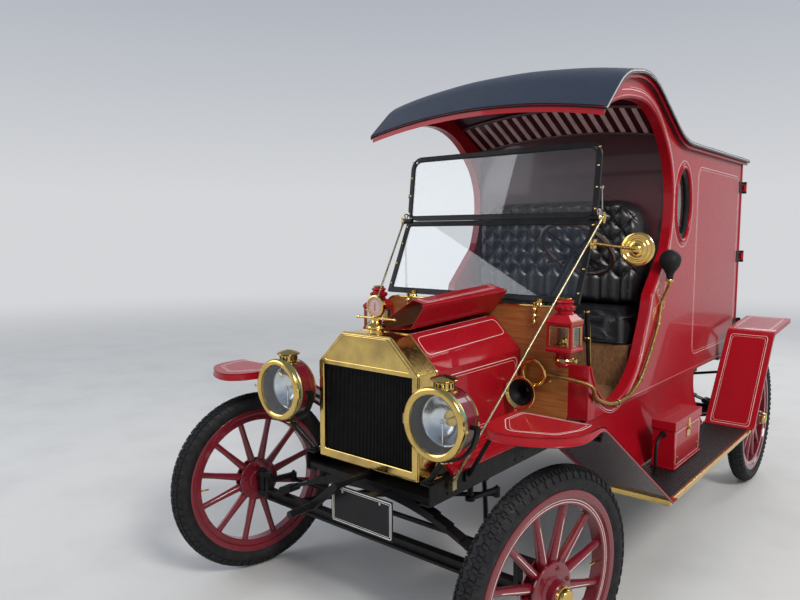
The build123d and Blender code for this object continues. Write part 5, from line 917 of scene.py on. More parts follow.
# pale slats only in a band near the roof's front: their own colour, and painted light where it fell on the ceiling
shape = bmesh.new()
for k in range(roofLook["slats"]):
    x = (k - (roofLook["slats"] - 1) / 2) * roofLook["slatSpacing"]
    addRibbon(shape, [roofPoint(x, a, -30.0) for a in range(1300, 1490, 12)], (0, 0, -1), roofLook["slatWidth"],
              height=6.0)
finishShape(shape, "ceilingSlats", "slatPaint", "chassis", bevel=1.2)
shape = bmesh.new()
for distance in (1290, 1492):
    addRibbon(shape, [roofPoint(x, min(distance, 1488), -30.0) for x in range(-510, 511, 30)], (0, 0, -1), 30.0,
              height=9.0)
finishShape(shape, "ceilingBattens", "ceilingPaint", "chassis", bevel=1.5)
print("roof ready")

# body: C-shaped edge, oval windows, painted lines and scroll
bodyLook = {"half": 555.0, "bead": 6.0, "lineOffset": 34.0, "ovalAt": (1660.0, 1600.0), "ovalWidth": 210.0,
            "ovalHeight": 340.0}
cEdge, last = [(630.0, 945.0)], (630.0, 945.0)
for end, middle in (((840, 764), (710, 830)), ((1156, 984), (1035, 830)), ((1239, 1182), (1205, 1082)),
                    ((1435, 1376), (1325, 1268)), ((1484, 1622), (1475, 1500)), ((1360, 1875), (1450, 1760)),
                    ((1007, 2005), (1190, 1985)), ((645, 1903), (820, 1975))):
    cEdge += arcPoints(last, middle, end, 10)
    last = end


def offsetPath(points, shift):
    # the same open path, moved sideways
    moved = []
    for k in range(len(points)):
        (x0, y0), (x1, y1) = points[max(k - 1, 0)], points[min(k + 1, len(points) - 1)]
        length = math.hypot(x1 - x0, y1 - y0)
        moved.append((points[k][0] + (y1 - y0) / length * shift, points[k][1] - (x1 - x0) / length * shift))
    return moved


def smoothPath(points, count=8):
    # a rounder path through points
    result = []
    for k in range(len(points) - 1):
        p0, p1, p2 = points[max(k - 1, 0)], points[k], points[k + 1]
        p3 = points[min(k + 2, len(points) - 1)]
        for j in range(count):
            t = j / count
            result.append(0.5 * (2 * p1 + (p2 - p0) * t + (2 * p0 - 5 * p1 + 4 * p2 - p3) * t * t
                                 + (3 * p1 - p0 - 3 * p2 + p3) * t * t * t))
    return result + [points[-1]]


def scrollPath(centre, size, turns, start, flip):
    # a spiral that ends in a long tail
    points = []
    for k in range(40):
        share = k / 39
        angle = start + flip * turns * tau * share
        radius = size * (0.16 + 0.84 * share ** 1.3)
        points.append((centre[0] + radius * math.cos(angle), centre[1] + radius * math.sin(angle)))
    return points


def ovalRing(x, shift, count=64):
    # points round the oval window, this far outside its edge
    a0, z0 = bodyLook["ovalAt"]
    wide, high = bodyLook["ovalWidth"] / 2 + shift, bodyLook["ovalHeight"] / 2 + shift
    return [at(x, a0 + wide * math.cos(tau * k / count), z0 + high * math.sin(tau * k / count)) for k in range(count)]


shape, lines, gold = bmesh.new(), bmesh.new(), bmesh.new()
for side in (1, -1):
    x = side * bodyLook["half"]
    out = Vector((side, 0, 0))
    addTube(shape, [at(x, a, z) for a, z in offsetPath(cEdge, 9)], bodyLook["bead"], segments=10)
    addRibbon(lines, [at(x, a, z) for a, z in offsetPath(cEdge[2:-6], bodyLook["lineOffset"])], out, 3.0)
    addRibbon(lines, [at(x, a, z) for a, z in offsetPath(cEdge[4:-8], bodyLook["lineOffset"] + 9)], out, 1.4)
    addTube(shape, [at(x, 2740, z) for z in (745, 1100, 1500, 1878)], 5.0, segments=8)
    addTube(shape, [at(x, a, 748) for a in (850, 1400, 2000, 2750)], 5.0, segments=8)
    for shift, radius in ((9.0, 7.0), (24.0, 3.0)):
        addTube(shape, ovalRing(x, shift), radius, segments=8, closed=True)
    addRibbon(lines, ovalRing(x, 40), out, 2.4, closed=True)
    for inset, radius, width in ((0, 60, 3.0), (13, 50, 1.3)):
        panel = roundedBox(1880 + inset, 820 + inset, 2690 - inset, 1800 - inset, radius)
        addRibbon(lines, [at(x, a, z) for a, z in panel], out, width, closed=True)
    for centre, size, start, flip in (((1352, 1190), 46, 0.6, 1), ((1422, 1128), 40, 3.4, -1),
                                      ((1306, 1098), 28, 2.2, 1)):
        addRibbon(gold, [at(x, a, z) for a, z in scrollPath(centre, size, 1.35, start, flip)], out, 3.2)
    addRibbon(gold, smoothPath([at(x, 1290, 1060), at(x, 1325, 1120), at(x, 1372, 1140), at(x, 1420, 1180),
                                at(x, 1450, 1245)], 6), out, 2.6)
finishShape(shape, "bodyBeads", "redPaint", "chassis", angle=60)
finishShape(lines, "bodyLines", "lineWhite", "chassis")
finishShape(gold, "bodyScroll", "lineGold", "chassis")
shape, panes = bmesh.new(), bmesh.new()
for side in (1, -1):
    rings = []
    for x, shrink in ((550, -1), (548, 16), (540, 24), (524, 24), (521, 16), (519, -1)):
        rings.append([shape.verts.new(p) for p in ovalRing(side * x, -shrink)])
    addFaces(shape, rings, closed=True)
    addPrism(panes, ovalRing(side * 530, -22, count=48), Vector((side * 0.004, 0, 0)))
finishShape(shape, "ovalFrames", "blackPaint", "chassis", angle=40)
finishShape(panes, "ovalPanes", "windowGlass", "chassis")
print("body ready")

# hood: painted loops, hinge knuckles; ribs on the shelves below it
hoodLength = 524
hoodFront = ((0, 1086), (112, 1086), (188, 1006), (228, 966), (228, 686.5))
hoodRear = ((0, 1112), (134, 1112), (208, 1036), (262, 985), (262, 686.5))


def hoodPoint(strip, across, along):
    # a point on one of the left half's strips: 0 flat top, 1 slope, 2 shoulder, 3 side; shares 0 to 1
    ends = []
    for (p, q) in ((hoodFront[strip], hoodFront[strip + 1]), (hoodRear[strip], hoodRear[strip + 1])):
        ends.append((p[0] + (q[0] - p[0]) * across, p[1] + (q[1] - p[1]) * across))
    (x0, z0), (x1, z1) = ends
    return at(x0 + (x1 - x0) * along, 78.5 + hoodLength * along, z0 + (z1 - z0) * along)


def hoodLoop(shape, strip, inset, width):
    # a closed painted loop on a strip
    reach = (hoodPoint(strip, 0, 0.5) - hoodPoint(strip, 1, 0.5)).length * 1000
    u, v = inset / reach, inset / hoodLength
    corner = min(0.3, 26 / reach)
    flat = roundedBox(u * reach, v * hoodLength, reach - u * reach, hoodLength - v * hoodLength,
                      min(22, reach * corner), count=5)
    points = [hoodPoint(strip, a / reach, b / hoodLength) for a, b in flat]
    normal = (hoodPoint(strip, 0, 1) - hoodPoint(strip, 1, 0)).cross(hoodPoint(strip, 1, 1) - hoodPoint(strip, 0, 0))
    normal = normal if normal.dot(Vector((1, 0, 1))) > 0 else -normal
    addRibbon(shape, points, normal, width, closed=True)


shape = bmesh.new()
for strip, inset, width in ((3, 26, 3.2), (3, 37, 1.5), (1, 15, 2.8), (0, 15, 2.2)):
    hoodLoop(shape, strip, inset, width)
finishShape(shape, "hoodLines", "lineWhite", "chassis")
knuckle = bmesh.new()
hingeRun = Vector((0, hoodLength, 26)).normalized()
addLathe(knuckle, [(-12, 5.2), (-11.5, 6.2), (11.5, 6.2), (12, 5.2)], Vector(), hingeRun, segments=10)
growPiece("hoodHinge", rowTree, knuckle, {"Count": 20, "First": tuple(at(0, 92, 1091.2)),
          "Step": tuple(Vector((0, 26.2, 1.3)) * mm)}, "blackPaint", "chassis")
shape = bmesh.new()
ribs = 6
for side in (1, -1):
    for k in range(ribs):
        share = (k + 0.7) / (ribs + 0.2)
        addTube(shape, [at(side * (234 + (305 - 234) * share), 80, 689 + (622 - 689) * share),
                        at(side * (268 + (305 - 268) * share), 602, 689 + (622 - 689) * share)], 4.2, segments=8)
finishShape(shape, "shelfRibs", "redPaint", "chassis")
shape = bmesh.new()
for distance in (150, 500):
    share = (distance - 78.5) / hoodLength
    x = 228 + 34 * share
    addTube(shape, [at(x + 4, distance, 715), at(x + 13, distance, 712), at(x + 16, distance, 700),
                    at(x + 12, distance, 684)], 4.0, segments=8)
    addLathe(shape, [(-2, 11), (5, 11), (7, 8), (8, 0)], at(x, distance, 720), (1, 0, 0), segments=14)
finishShape(shape, "hoodCatches", "brass", "chassis")
print("hood ready")

# firewall edging and the windshield's fittings
look = {"half": 470.0, "low": 946.0, "top": 1165.0, "corner": 60.0, "front": 607.0, "back": 631.0}
board = [(-look["half"], look["low"]), (-look["half"], look["top"]), (look["half"], look["top"]),
         (look["half"], look["low"])]
edgePath = roundedPath(board, [0, look["corner"], look["corner"], 0], count=10)
# the windshield's foot, fold and top, by distance and height
windshieldFoot, windshieldFold, windshieldTop = (641, 1180), (792, 1516), (829, 1827)
windshieldPanes = ((windshieldFoot, windshieldFold), (windshieldFold, windshieldTop))
shape = bmesh.new()
for distance in (look["front"], look["back"]):
    addTube(shape, [at(x, distance, z) for x, z in edgePath], 3.2, segments=8)
outward = []
for k, (x, z) in enumerate(edgePath):
    (x0, z0), (x1, z1) = edgePath[max(k - 1, 0)], edgePath[min(k + 1, len(edgePath) - 1)]
    outward.append(Vector((-(z1 - z0), 0, x1 - x0)).normalized())
addRibbon(shape, [at(x, 619, z) for x, z in edgePath], outward, 25.0, height=1.6)
for side in (1, -1):
    foot = at(side * 325, 641, 1100)
    addLathe(shape, [(0, 10), (0, 15), (4, 17), (9, 15), (12, 11), (20, 10.5), (26, 14), (32, 16.5), (38, 14),
                     (44, 10.5), (58, 10.5), (62, 13), (67, 15), (72, 13), (75, 10.5), (86, 10.5), (88, 13), (92, 13),
                     (94, 10)], foot, (0, 0, 1), segments=24)
    # thumb nuts on the windshield's pivots
    pivot = at(side * 502, *windshieldFold)
    addLathe(shape, [(0, 12.5), (3, 15), (6, 15), (9, 12), (16, 9), (18, 7), (18, 0)], pivot, (side, 0, 0),
             segments=20)
    addPrism(shape, [pivot + Vector((side * u * mm, v * mm, w * mm)) for u, v, w in
                     ((16, -4, -22), (22, -4, -22), (26, -2, 0), (22, -4, 22), (16, -4, 22), (14, -3, 0))],
             Vector((0, 0.004, 0)))
finishShape(shape, "firewallTrim", "brass", "chassis", angle=40)


def onQuadrant(side, degrees, reach=34):
    # a point on the slotted quadrant that holds the upper pane
    t = math.radians(degrees)
    return at(side * 497, windshieldFold[0] + reach * math.cos(t), windshieldFold[1] + reach * math.sin(t))


shape = bmesh.new()
for side in (1, -1):
    addTube(shape, [onQuadrant(side, degrees) for degrees in range(20, 118, 7)], 3.4, segments=8)
    for degrees in (20, 69, 117):
        addTube(shape, [at(side * 497, *windshieldFold), onQuadrant(side, degrees)], 3.0, segments=8)
    addLathe(shape, [(-5, 8), (5, 8), (7, 5), (7, 0)], at(side * 497, 816, 1638), (side, 0, 0), segments=12)
    addTube(shape, [at(side * 497, 826, 1516 + 34), at(side * 497, 816, 1638)], 3.0, segments=8)
finishShape(shape, "windshieldQuadrants", "steel", "chassis")
shape = bmesh.new()
for (a0, z0), (a1, z1) in windshieldPanes:
    run = Vector((0, a1 - a0, z1 - z0)).normalized()
    normal = Vector((0, -run.z, run.y))
    length = math.hypot(a1 - a0, z1 - z0)
    loop = roundedPath([(-469, 22), (469, 22), (469, length - 22), (-469, length - 22)], [14, 14, 40, 40] if z0 > 1500
                       else [14, 14, 14, 14], closed=True)
    start = Vector((0, a0, z0))
    points = []
    for x, v in loop:
        p = start + run * v - normal * 4
        points.append(at(x, p.y, p.z))
    addTube(shape, points, 4.5, segments=8, closed=True)
finishShape(shape, "windshieldGaskets", "rubber", "chassis")
spots = []
for side in (1, -1):
    for share in (0.12, 0.4, 0.68, 0.92):
        for (a0, z0), (a1, z1) in windshieldPanes:
            run = Vector((0, a1 - a0, z1 - z0))
            normal = Vector((0, -run.z, run.y)).normalized()
            p = Vector((side * 480, a0, z0)) + run * share
            spots.append((at(p.x, p.y, p.z) + normal * 0.0002, normal))
growStuds("windshieldScrews", [(-1, 5), (1, 5), (2.2, 3.5), (2.6, 0)], 10, spots, "brass", "chassis")
print("windshield ready")

# side lamps: square lanterns
lanternLook = {"x": 474.0, "distance": 560.5, "postX": 45.5, "postY": 41.5, "vents": 12}
for name, side in sides:
    middle = at(side * lanternLook["x"], lanternLook["distance"], 0)
    shape = bmesh.new()
    # body plates, corner posts and a stepped roof
    for profile in ([(1004, 44), (1004, 49), (1008, 53), (1018, 53), (1024, 46), (1024, 20), (1004, 20)],
                    [(1104, 44), (1108, 52), (1120, 54), (1124, 52), (1138, 38), (1147, 31), (1149, 29), (1149, 10),
                     (1110, 20)]):
        addLathe(shape, [(z, half * math.sqrt(2)) for z, half in profile], middle, upward, segments=4,
                 turn=math.radians(45), closed=True)
    for u in (-1, 1):
        for v in (-1, 1):
            post = middle + off(u * lanternLook["postX"], v * lanternLook["postY"], 0)
            addBox(shape, post + Vector((-0.0065, -0.0058, 1.014)), post + Vector((0.0065, 0.0058, 1.110)))
    finishShape(shape, "lanternBody" + name, "redPaint", "chassis", ["side_lamps"], bevel=1.4,
                segments=2)
    shape = bmesh.new()
    addLathe(shape, [(1203, 18), (1205, 25), (1208, 26), (1211, 23), (1213, 14), (1214, 0)], middle, upward,
             segments=28)
    addLathe(shape, [(959, 24), (961, 33), (965, 39), (972, 42), (979, 39), (984, 33), (987, 24)], middle, upward,
             segments=32)
    addLathe(shape, [(36, 4), (47, 4), (48, 8), (52, 9), (56, 8), (57, 0)], middle + Vector((0, -0.010, 0.973)),
             (side, 0, 0), segments=16)
    addTube(shape, [middle + Vector((u * mm, v * mm, 1.125)) for u, v in ((-52, -47), (52, -47), (52, 47),
                                                                          (-52, 47))], 2.6, segments=8, closed=True)
    # the bracket behind
    addBox(shape, middle + Vector((-0.016, 0.044, 0.990)), middle + Vector((0.016, 0.0478, 1.09)))
    # bezels round the panes in front and outside
    for loop in ([(v, -46.5, w) for v, w in ((-38, 1028), (38, 1028), (38, 1100), (-38, 1100))],
                 [(side * 50.5, v, w) for v, w in ((-33, 1028), (33, 1028), (33, 1100), (-33, 1100))]):
        addTube(shape, [middle + off(*p) for p in loop], 3.0, segments=8, closed=True)
    # burner inside
    addLathe(shape, [(1016, 20), (1034, 20), (1038, 14), (1050, 12), (1054, 7), (1060, 0)], middle, upward,
             segments=20)
    finishShape(shape, "lanternBrass" + name, "brass", "chassis", angle=40)
    shape = bmesh.new()
    for u, v in ((0, -1), (0, 1), (1, 0), (-1, 0)):
        face = middle + Vector((u * 47 * mm, v * 43 * mm, 0))
        w = (38, 2) if v else (2, 34)
        addBox(shape, face + Vector((-w[0] * mm, -w[1] * mm, 1.020)), face + Vector((w[0] * mm, w[1] * mm, 1.107)))
    finishShape(shape, "lanternPanes" + name, "windowGlass", "chassis", bevel=1.5, segments=1)
    shape = bmesh.new()
    addLathe(shape, [(1147, 24), (1148, 33), (1153, 35), (1157, 31), (1160, 31), (1163, 37), (1169, 41), (1177, 41),
                     (1182, 35), (1184, 28), (1187, 27), (1190, 31), (1194, 34), (1199, 33), (1203, 26), (1204, 12)],
             middle, upward, segments=32)
    addLathe(shape, [(983, 20), (984, 33), (990, 30), (997, 32), (1002, 38), (1006, 40), (1006, 20)], middle, upward,
             segments=32)
    addLathe(shape, [(942, 14), (944, 24), (950, 31), (957, 35), (961, 33), (961, 20)], middle, upward, segments=28)
    finishShape(shape, "lanternCrown" + name, "redPaint", "chassis")
    # dark slots round the crown: painted shade in its vent openings
    slot = bmesh.new()
    addBox(slot, Vector((0.0385, -0.0030, 0)), Vector((0.0416, 0.0030, 0.008)))
    growRing("lanternVents" + name, slot, lanternLook["vents"], "coreBlack", "chassis",
             Matrix.Translation(middle + Vector((0, 0, 1.169))))
print("side lamps ready")

# seat: a tall buttoned back and a crowned cushion on the box
seatLook = {"half": 455.0, "bottom": 1105.3, "top": 1620.0, "corner": 150.0, "front": 1350.0, "back": 1489.0,
            "tuftWide": 101.0, "tuftHigh": 118.0, "puff": 34.0, "rows": 86, "columns": 136, "fill": 0.7,
            "buttonsFrom": 1240, "cushionHalf": 486.0, "cushionFront": 1140.0, "cushionBack": 1489.0,
            "cushionLow": 950.6, "cushionHigh": 1105.0, "swell": 13.0, "voxel": 0.009, "pressure": 4.0, "frames": 20,
            "travel": 0.024}
look = seatLook


def seatHalf(z):
    low = look["top"] - look["corner"]
    if z <= low:
        return look["half"]
    part = min(z - low, look["corner"])
    return look["half"] - look["corner"] + math.sqrt(look["corner"] ** 2 - part ** 2)


def seatFront(x, z):
    # how far the leather stands in front of the back board
    edge = min(seatHalf(z) - abs(x), z - look["bottom"], look["top"] - z)
    if z > look["top"] - look["corner"] and abs(x) > look["half"] - look["corner"]:
        edge = min(edge, look["corner"] - math.hypot(abs(x) - look["half"] + look["corner"],
                                                     z - look["top"] + look["corner"]))
    edge = max(min(edge / 46.0, 1.0), 0.0)
    crown = math.sqrt(1 - (1 - edge) ** 2)
    u, v = x / look["tuftWide"], (z - look["buttonsFrom"]) / look["tuftHigh"]
    if v < 0:
        # upright channels under the lowest row of buttons
        puff = abs(math.sin(math.pi * (u + 0.5))) ** 0.45
    else:
        first, second = abs(math.sin(math.pi * (u + v + 0.5))), abs(math.sin(math.pi * (u - v + 0.5)))
        puff = min(first, second) ** 0.38 * (0.55 + 0.45 * max(first, second) ** 0.5)
    blend = min(edge * 1.6, 1.0)
    return 50 + crown * (46 + (puff * look["puff"]) * blend + 8 * (1 - blend))


shape = bmesh.new()
front, rear = [], []
for j in range(look["rows"] + 1):
    z = look["bottom"] + (look["top"] - look["bottom"]) * j / look["rows"]
    half = max(seatHalf(z), 20)
    xs = [half * (2 * k / look["columns"] - 1) for k in range(look["columns"] + 1)]
    front.append([shape.verts.new(at(x, look["back"] - seatFront(x, z), z)) for x in xs])
    rear.append([shape.verts.new(at(x, look["back"] - 3 + 0.4 * math.sin(x * 0.05), z)) for x in xs])
addSlab(shape, front, rear)
seatBack = finishShape(shape, "seatBack", "leather", "chassis", ["seat_back"], angle=80, subdivide=1)
buttons = []
for j in range(3):
    for k in range(-5, 6):
        x = (k + (0.5 if j % 2 == 0 else 0.0)) * look["tuftWide"]
        z = look["buttonsFrom"] + j * look["tuftHigh"] / 2
        for height in (z, z + look["tuftHigh"]):
            if abs(x) < seatHalf(height) - 42 and height < look["top"] - 40:
                spot = (x, round(height, 1))
                if spot not in [b[2] for b in buttons]:
                    buttons.append((at(x, look["back"] - seatFront(x, height) - 1, height), Vector((0, -1, 0)), spot))
growStuds("seatButtons", [(-3, 8), (1, 8.5), (3.5, 6), (5, 0)], 12, [(p, aim) for p, aim, _ in buttons], "leather",
          "chassis")

# the cushion starts a little smaller and is blown up by a cloth simulation
shape = bmesh.new()
inset = look["swell"]
plan = roundedBox(-look["cushionHalf"] + inset, look["cushionFront"] + inset, look["cushionHalf"] - inset,
                  look["cushionBack"] - 3, [40, 40, 20, 20], count=6)
levels = ((look["cushionLow"], 0.0), (look["cushionLow"] + 10, -5.0), (look["cushionLow"] + 62, 0.0),
          (look["cushionHigh"] - 34, 0.0), (look["cushionHigh"] - 20, 8.0))


def cushionRing(z, pull):
    # the plan at a height, pulled in towards its middle by some millimetres
    middle, reach = 1315, 175
    return [at(x * (1 - pull / look["cushionHalf"]), middle + (a - middle) * (1 - pull / reach), z) for x, a in plan]


rings = [[shape.verts.new(p) for p in cushionRing(z, pull)] for z, pull in levels]
addFaces(shape, rings)
shape.faces.new(rings[0])
shape.faces.new(rings[-1])
bmesh.ops.recalc_face_normals(shape, faces=shape.faces)
cushion = shapeObject("seatCushion", shape)
remesh = cushion.modifiers.new("remesh", "REMESH")
remesh.mode = "VOXEL"
remesh.voxel_size = look["voxel"]
settle(cushion)
start = [vertex.co.copy() for vertex in cushion.data.vertices]
base = at(0, 0, look["cushionLow"] + 6).z
pinned = cushion.vertex_groups.new(name="held")
pinned.add([k for k, co in enumerate(start) if co.z < base], 1.0, "REPLACE")
cloth = cushion.modifiers.new("cloth", "CLOTH")
cloth.settings.use_pressure = True
cloth.settings.uniform_pressure_force = look["pressure"]
cloth.settings.effector_weights.gravity = 0.0
cloth.settings.vertex_group_mass = "held"
cloth.settings.quality = 5
cloth.settings.tension_stiffness = 12
for number in range(1, look["frames"] + 1):
    scene.frame_set(number)
settle(cushion)
scene.frame_set(1)
limitX, limitY = look["cushionHalf"] * mm, (at(0, look["cushionFront"], 0).y, at(0, look["cushionBack"], 0).y)
for vertex, before in zip(cushion.data.vertices, start):
    move = vertex.co - before
    if move.length > look["travel"]:
        move = move.normalized() * look["travel"]
    spot = before + move
    spot.x = max(-limitX, min(limitX, spot.x))
    spot.y = max(limitY[0], min(limitY[1], spot.y))
    spot.z = max(look["cushionLow"] * mm, min(look["cushionHigh"] * mm + 0.004, spot.z))
    vertex.co = spot
soften = cushion.modifiers.new("soften", "SMOOTH")
soften.factor = 0.5
soften.iterations = 4
addSubdivision(cushion, 1)
settle(cushion).materials.append(finishes["leather"])
shade(cushion, 80)
cushion.vertex_groups.clear()
registerPiece(cushion, "chassis", ["seat_cushion"])
shape = bmesh.new()
for z, pull in ((look["cushionHigh"] - 27, -3.0), (look["cushionLow"] + 12, -1.0)):
    addTube(shape, cushionRing(z, pull), 4.0, segments=8, closed=True)
finishShape(shape, "seatWelts", "leather", "chassis")
print("seat ready")

# horn: flared bell, coil, ribbed hose along the body and a rubber bulb
hornLook = {"bell": (330.0, 480.0, 835.0), "hose": 6.6, "pitch": 4.6,
            "coil": (335.0, 585.0, 900.0), "coilRadius": 58.0, "bulb": (603.3, 1345.0, 1335.0), "besideBody": 565.3}
look = hornLook
shape = bmesh.new()
mouth = at(*look["bell"])
addLathe(shape, [(1, 60), (-1, 64), (0, 67), (3, 67), (6, 59), (12, 48), (22, 37), (36, 27), (54, 20), (72, 17),
                 (80, 16), (86, 13), (94, 12), (80, 9), (60, 14), (34, 24), (18, 36), (8, 50)], mouth, (0, 1, 0),
         segments=48, closed=True)
addTube(shape, [mouth + Vector((0, y * mm, 0)) for y in (70, 92, 100)], 10.5, segments=16)
hub = at(*look["coil"])
coil = [hub + Vector(((look["coilRadius"] - 9) * math.cos(t) * mm, (-8 + 5.2 * t / tau) * mm,
                      (look["coilRadius"] - 9) * math.sin(t) * mm)) for t in [tau * 1.6 * k / 56 for k in range(57)]]
addTube(shape, coil, 8.8, segments=12)
finishShape(shape, "hornBell", "brass", "chassis", ["horn"], angle=45)
route = [(393, 585, 900), (565.3, 590, 880), (650, 822), (760, 776), (880, 758), (1020, 770), (1130, 818),
         (1235, 918), (1330, 1040), (1368, 1140), (603.3, 1345, 1227), (603.3, 1345, 1246)]
routePoints = [at(*p) if len(p) == 3 else at(look["besideBody"], *p) for p in route]
hoseData = bpy.data.curves.new("hoseLine", "CURVE")
hoseData.dimensions = "3D"
spline = hoseData.splines.new("POLY")
line = smoothPath(routePoints, 10)
spline.points.add(len(line) - 1)
for spot, p in zip(spline.points, line):
    spot.co = (*p, 1)
hoseCurve = makeObject("hoseLine", hoseData)


def makeHoseTree():
    # rings strung along a curve a set distance apart
    tree, begin, end = newTree("ringsAlongCurve", [("Line", "Object"), ("Pitch", "Float"), ("Radius", "Float"),
                                                   ("Wire", "Float"), ("Finish", "Material")])
    link = tree.links.new
    info = tree.nodes.new("GeometryNodeObjectInfo")
    link(begin.outputs["Line"], info.inputs["Object"])
    spread = tree.nodes.new("GeometryNodeCurveToPoints")
    spread.mode = "LENGTH"
    link(info.outputs["Geometry"], spread.inputs["Curve"])
    link(begin.outputs["Pitch"], spread.inputs["Length"])
    loop = tree.nodes.new("GeometryNodeCurvePrimitiveCircle")
    loop.inputs["Resolution"].default_value = 10
    link(begin.outputs["Radius"], loop.inputs["Radius"])
    wire = tree.nodes.new("GeometryNodeCurvePrimitiveCircle")
    wire.inputs["Resolution"].default_value = 6
    link(begin.outputs["Wire"], wire.inputs["Radius"])
    bar = tree.nodes.new("GeometryNodeCurveToMesh")
    link(loop.outputs["Curve"], bar.inputs["Curve"])
    link(wire.outputs["Curve"], bar.inputs["Profile Curve"])
    place = tree.nodes.new("GeometryNodeInstanceOnPoints")
    link(spread.outputs["Points"], place.inputs["Points"])
    link(spread.outputs["Rotation"], place.inputs["Rotation"])
    link(bar.outputs[0], place.inputs["Instance"])
    return realize(tree, begin, end, place.outputs[0])


piece = makeObject("hornHoseRings", bpy.data.meshes.new("hornHoseRings"))
growFrom(piece, makeHoseTree(), {"Line": hoseCurve, "Pitch": look["pitch"] * mm, "Radius": look["hose"] * mm,
                                 "Wire": 1.7 * mm, "Finish": finishes["hoseBrass"]})
bpy.data.objects.remove(hoseCurve)
shade(piece, 60)
registerPiece(piece, "chassis")
shape = bmesh.new()
addTube(shape, line, look["hose"] - 0.6, segments=10)
for k, (a, z) in enumerate(((650, 822), (880, 758), (1130, 818), (1330, 1040))):
    p = at(look["besideBody"], a, z)
    addLathe(shape, [(-6, 9), (-6, 11.5), (6, 11.5), (6, 9)], p,
             (0, routePoints[k * 2 + 3].y - p.y + 0.001, routePoints[k * 2 + 3].z - p.z), segments=14, closed=True)
    addLathe(shape, [(-1, 6), (3, 6), (4.5, 4), (4.5, 0)], p + Vector((-0.009, 0, -0.018)), (1, 0, 0), segments=10)
finishShape(shape, "hornHose", "hoseBrass", "chassis", angle=60)
shape = bmesh.new()
bulb = at(*look["bulb"])
profile = [(-92, 13), (-84, 15.5), (-78, 14.5), (-62, 17), (-48, 26), (-34, 37), (-18, 45), (0, 48), (16, 45.5),
           (30, 37), (41, 24), (46.5, 10), (48, 0)]
addLathe(shape, profile, bulb, (0, 0, 1), segments=48)
finishShape(shape, "hornBulb", "rubber", "chassis", ["horn_bulb"], angle=60, subdivide=1)
shape = bmesh.new()
addLathe(shape, [(-98, 12), (-98, 16.5), (-95, 18), (-90, 18), (-87, 16.5), (-87, 12)], bulb, (0, 0, 1), segments=24,
         closed=True)
finishShape(shape, "bulbCollar", "brass", "chassis")
print("horn ready")

# mirror: ringed brass back, glass towards the driver
mirrorLook = {"centre": (656.0, 790.0, 1393.0), "clamp": (496.0, 750.0, 1412.0)}
shape = bmesh.new()
face = at(*mirrorLook["centre"])
addLathe(shape, [(12, 60), (12, 64), (9, 66), (3, 66), (0, 63), (-1, 58), (1.5, 55), (1.5, 50), (-1, 47.5),
                 (-1.5, 42), (1, 39), (1, 34), (-2, 31), (-3, 24), (-1, 21), (-4, 16), (-8, 12), (-9, 0)], face,
         (0, 1, 0), segments=56)
clamp = at(*mirrorLook["clamp"])
arm = [face + Vector((0, -0.004, 0)), face + Vector((-0.030, -0.010, 0.004)), face + Vector((-0.085, -0.024, 0.010)),
       clamp + Vector((0.016, 0, 0)), clamp]
addTube(shape, arm, [9, 8.5, 7, 8, 9], segments=12, flat=0.6)
addBox(shape, clamp + Vector((-0.006, -0.014, -0.018)), clamp + Vector((0.007, 0.014, 0.018)))
addLathe(shape, [(0, 8), (4, 8), (6, 5), (12, 4.5), (14, 7), (18, 7), (19, 0)], clamp + Vector((0, -0.014, 0)),
         (0, -1, 0), segments=16)
finishShape(shape, "mirrorBack", "brass", "chassis", ["door_mirror"], angle=38)
shape = bmesh.new()
addLathe(shape, [(11, 0), (11, 60), (12.8, 60), (12.8, 0)], face, (0, 1, 0), segments=48)
finishShape(shape, "mirrorGlass", "mirrorGlass", "chassis")
print("mirror ready")

# painted lines on the fenders, taken straight down onto their sheets
def surfaceOf(node):
    source = frame["nodes"][node]
    return BVHTree.FromPolygons([v.co for v in source.data.vertices],
                                [tuple(f.vertices) for f in source.data.polygons])


def dropLine(surface, points):
    # the points of a surface straight below these, with the way it faces there
    aim = Vector((0, 0, -1))
    spots, normals = [], []
    for p in points:
        hit, normal, _, _ = surface.ray_cast(p, aim)
        if hit:
            spots.append(hit)
            normals.append(normal if normal.dot(aim) < 0 else -normal)
    return spots, normals


def linePoints(corners, radii, spacing=12.0, count=6):
    # a rounded loop with points near enough to follow a bent sheet
    loop = roundedPath(corners, radii, closed=True, count=count)
    dense = []
    for k in range(len(loop)):
        (x0, y0), (x1, y1) = loop[k], loop[(k + 1) % len(loop)]
        steps = max(1, int(math.hypot(x1 - x0, y1 - y0) / spacing))
        dense += [(x0 + (x1 - x0) * j / steps, y0 + (y1 - y0) * j / steps) for j in range(steps)]
    return dense


fenderLook = {"line": 3.0, "thinLine": 1.4, "between": 9.0}
frontTop, rearTop = surfaceOf("front_fenders"), surfaceOf("rear_fenders")
# painted panels: the sheet they lie on, how round their corners are, and the corners by x and distance
panels = (
    (frontTop, [20, 34, 34, 40, 12, 12], [(588, -58), (652, -160), (784, -108), (818, -18), (818, 52), (588, 52)]),
    (frontTop, [14] * 4, [(588, 92), (818, 92), (768, 716), (588, 716)]),
    (rearTop, [14] * 4, [(628, 2010), (818, 2010), (818, 2376), (628, 2376)]),
    (rearTop, [14, 14, 30, 30], [(628, 2424), (818, 2424), (818, 2806), (628, 2806)]))
shape = bmesh.new()
for side in (1, -1):
    for surface, radii, corners in panels:
        for step, width in ((0.0, fenderLook["line"]), (fenderLook["between"], fenderLook["thinLine"])):
            middleX = sum(x for x, _ in corners) / len(corners)
            middleA = sum(a for _, a in corners) / len(corners)
            shrunk = [(x - math.copysign(step, x - middleX), a - math.copysign(step, a - middleA))
                      for x, a in corners]
            spots, normals = dropLine(surface, [at(side * x, a, 1300) for x, a in linePoints(shrunk, radii)])
            if len(spots) > 8:
                addRibbon(shape, spots, normals, width, closed=True)
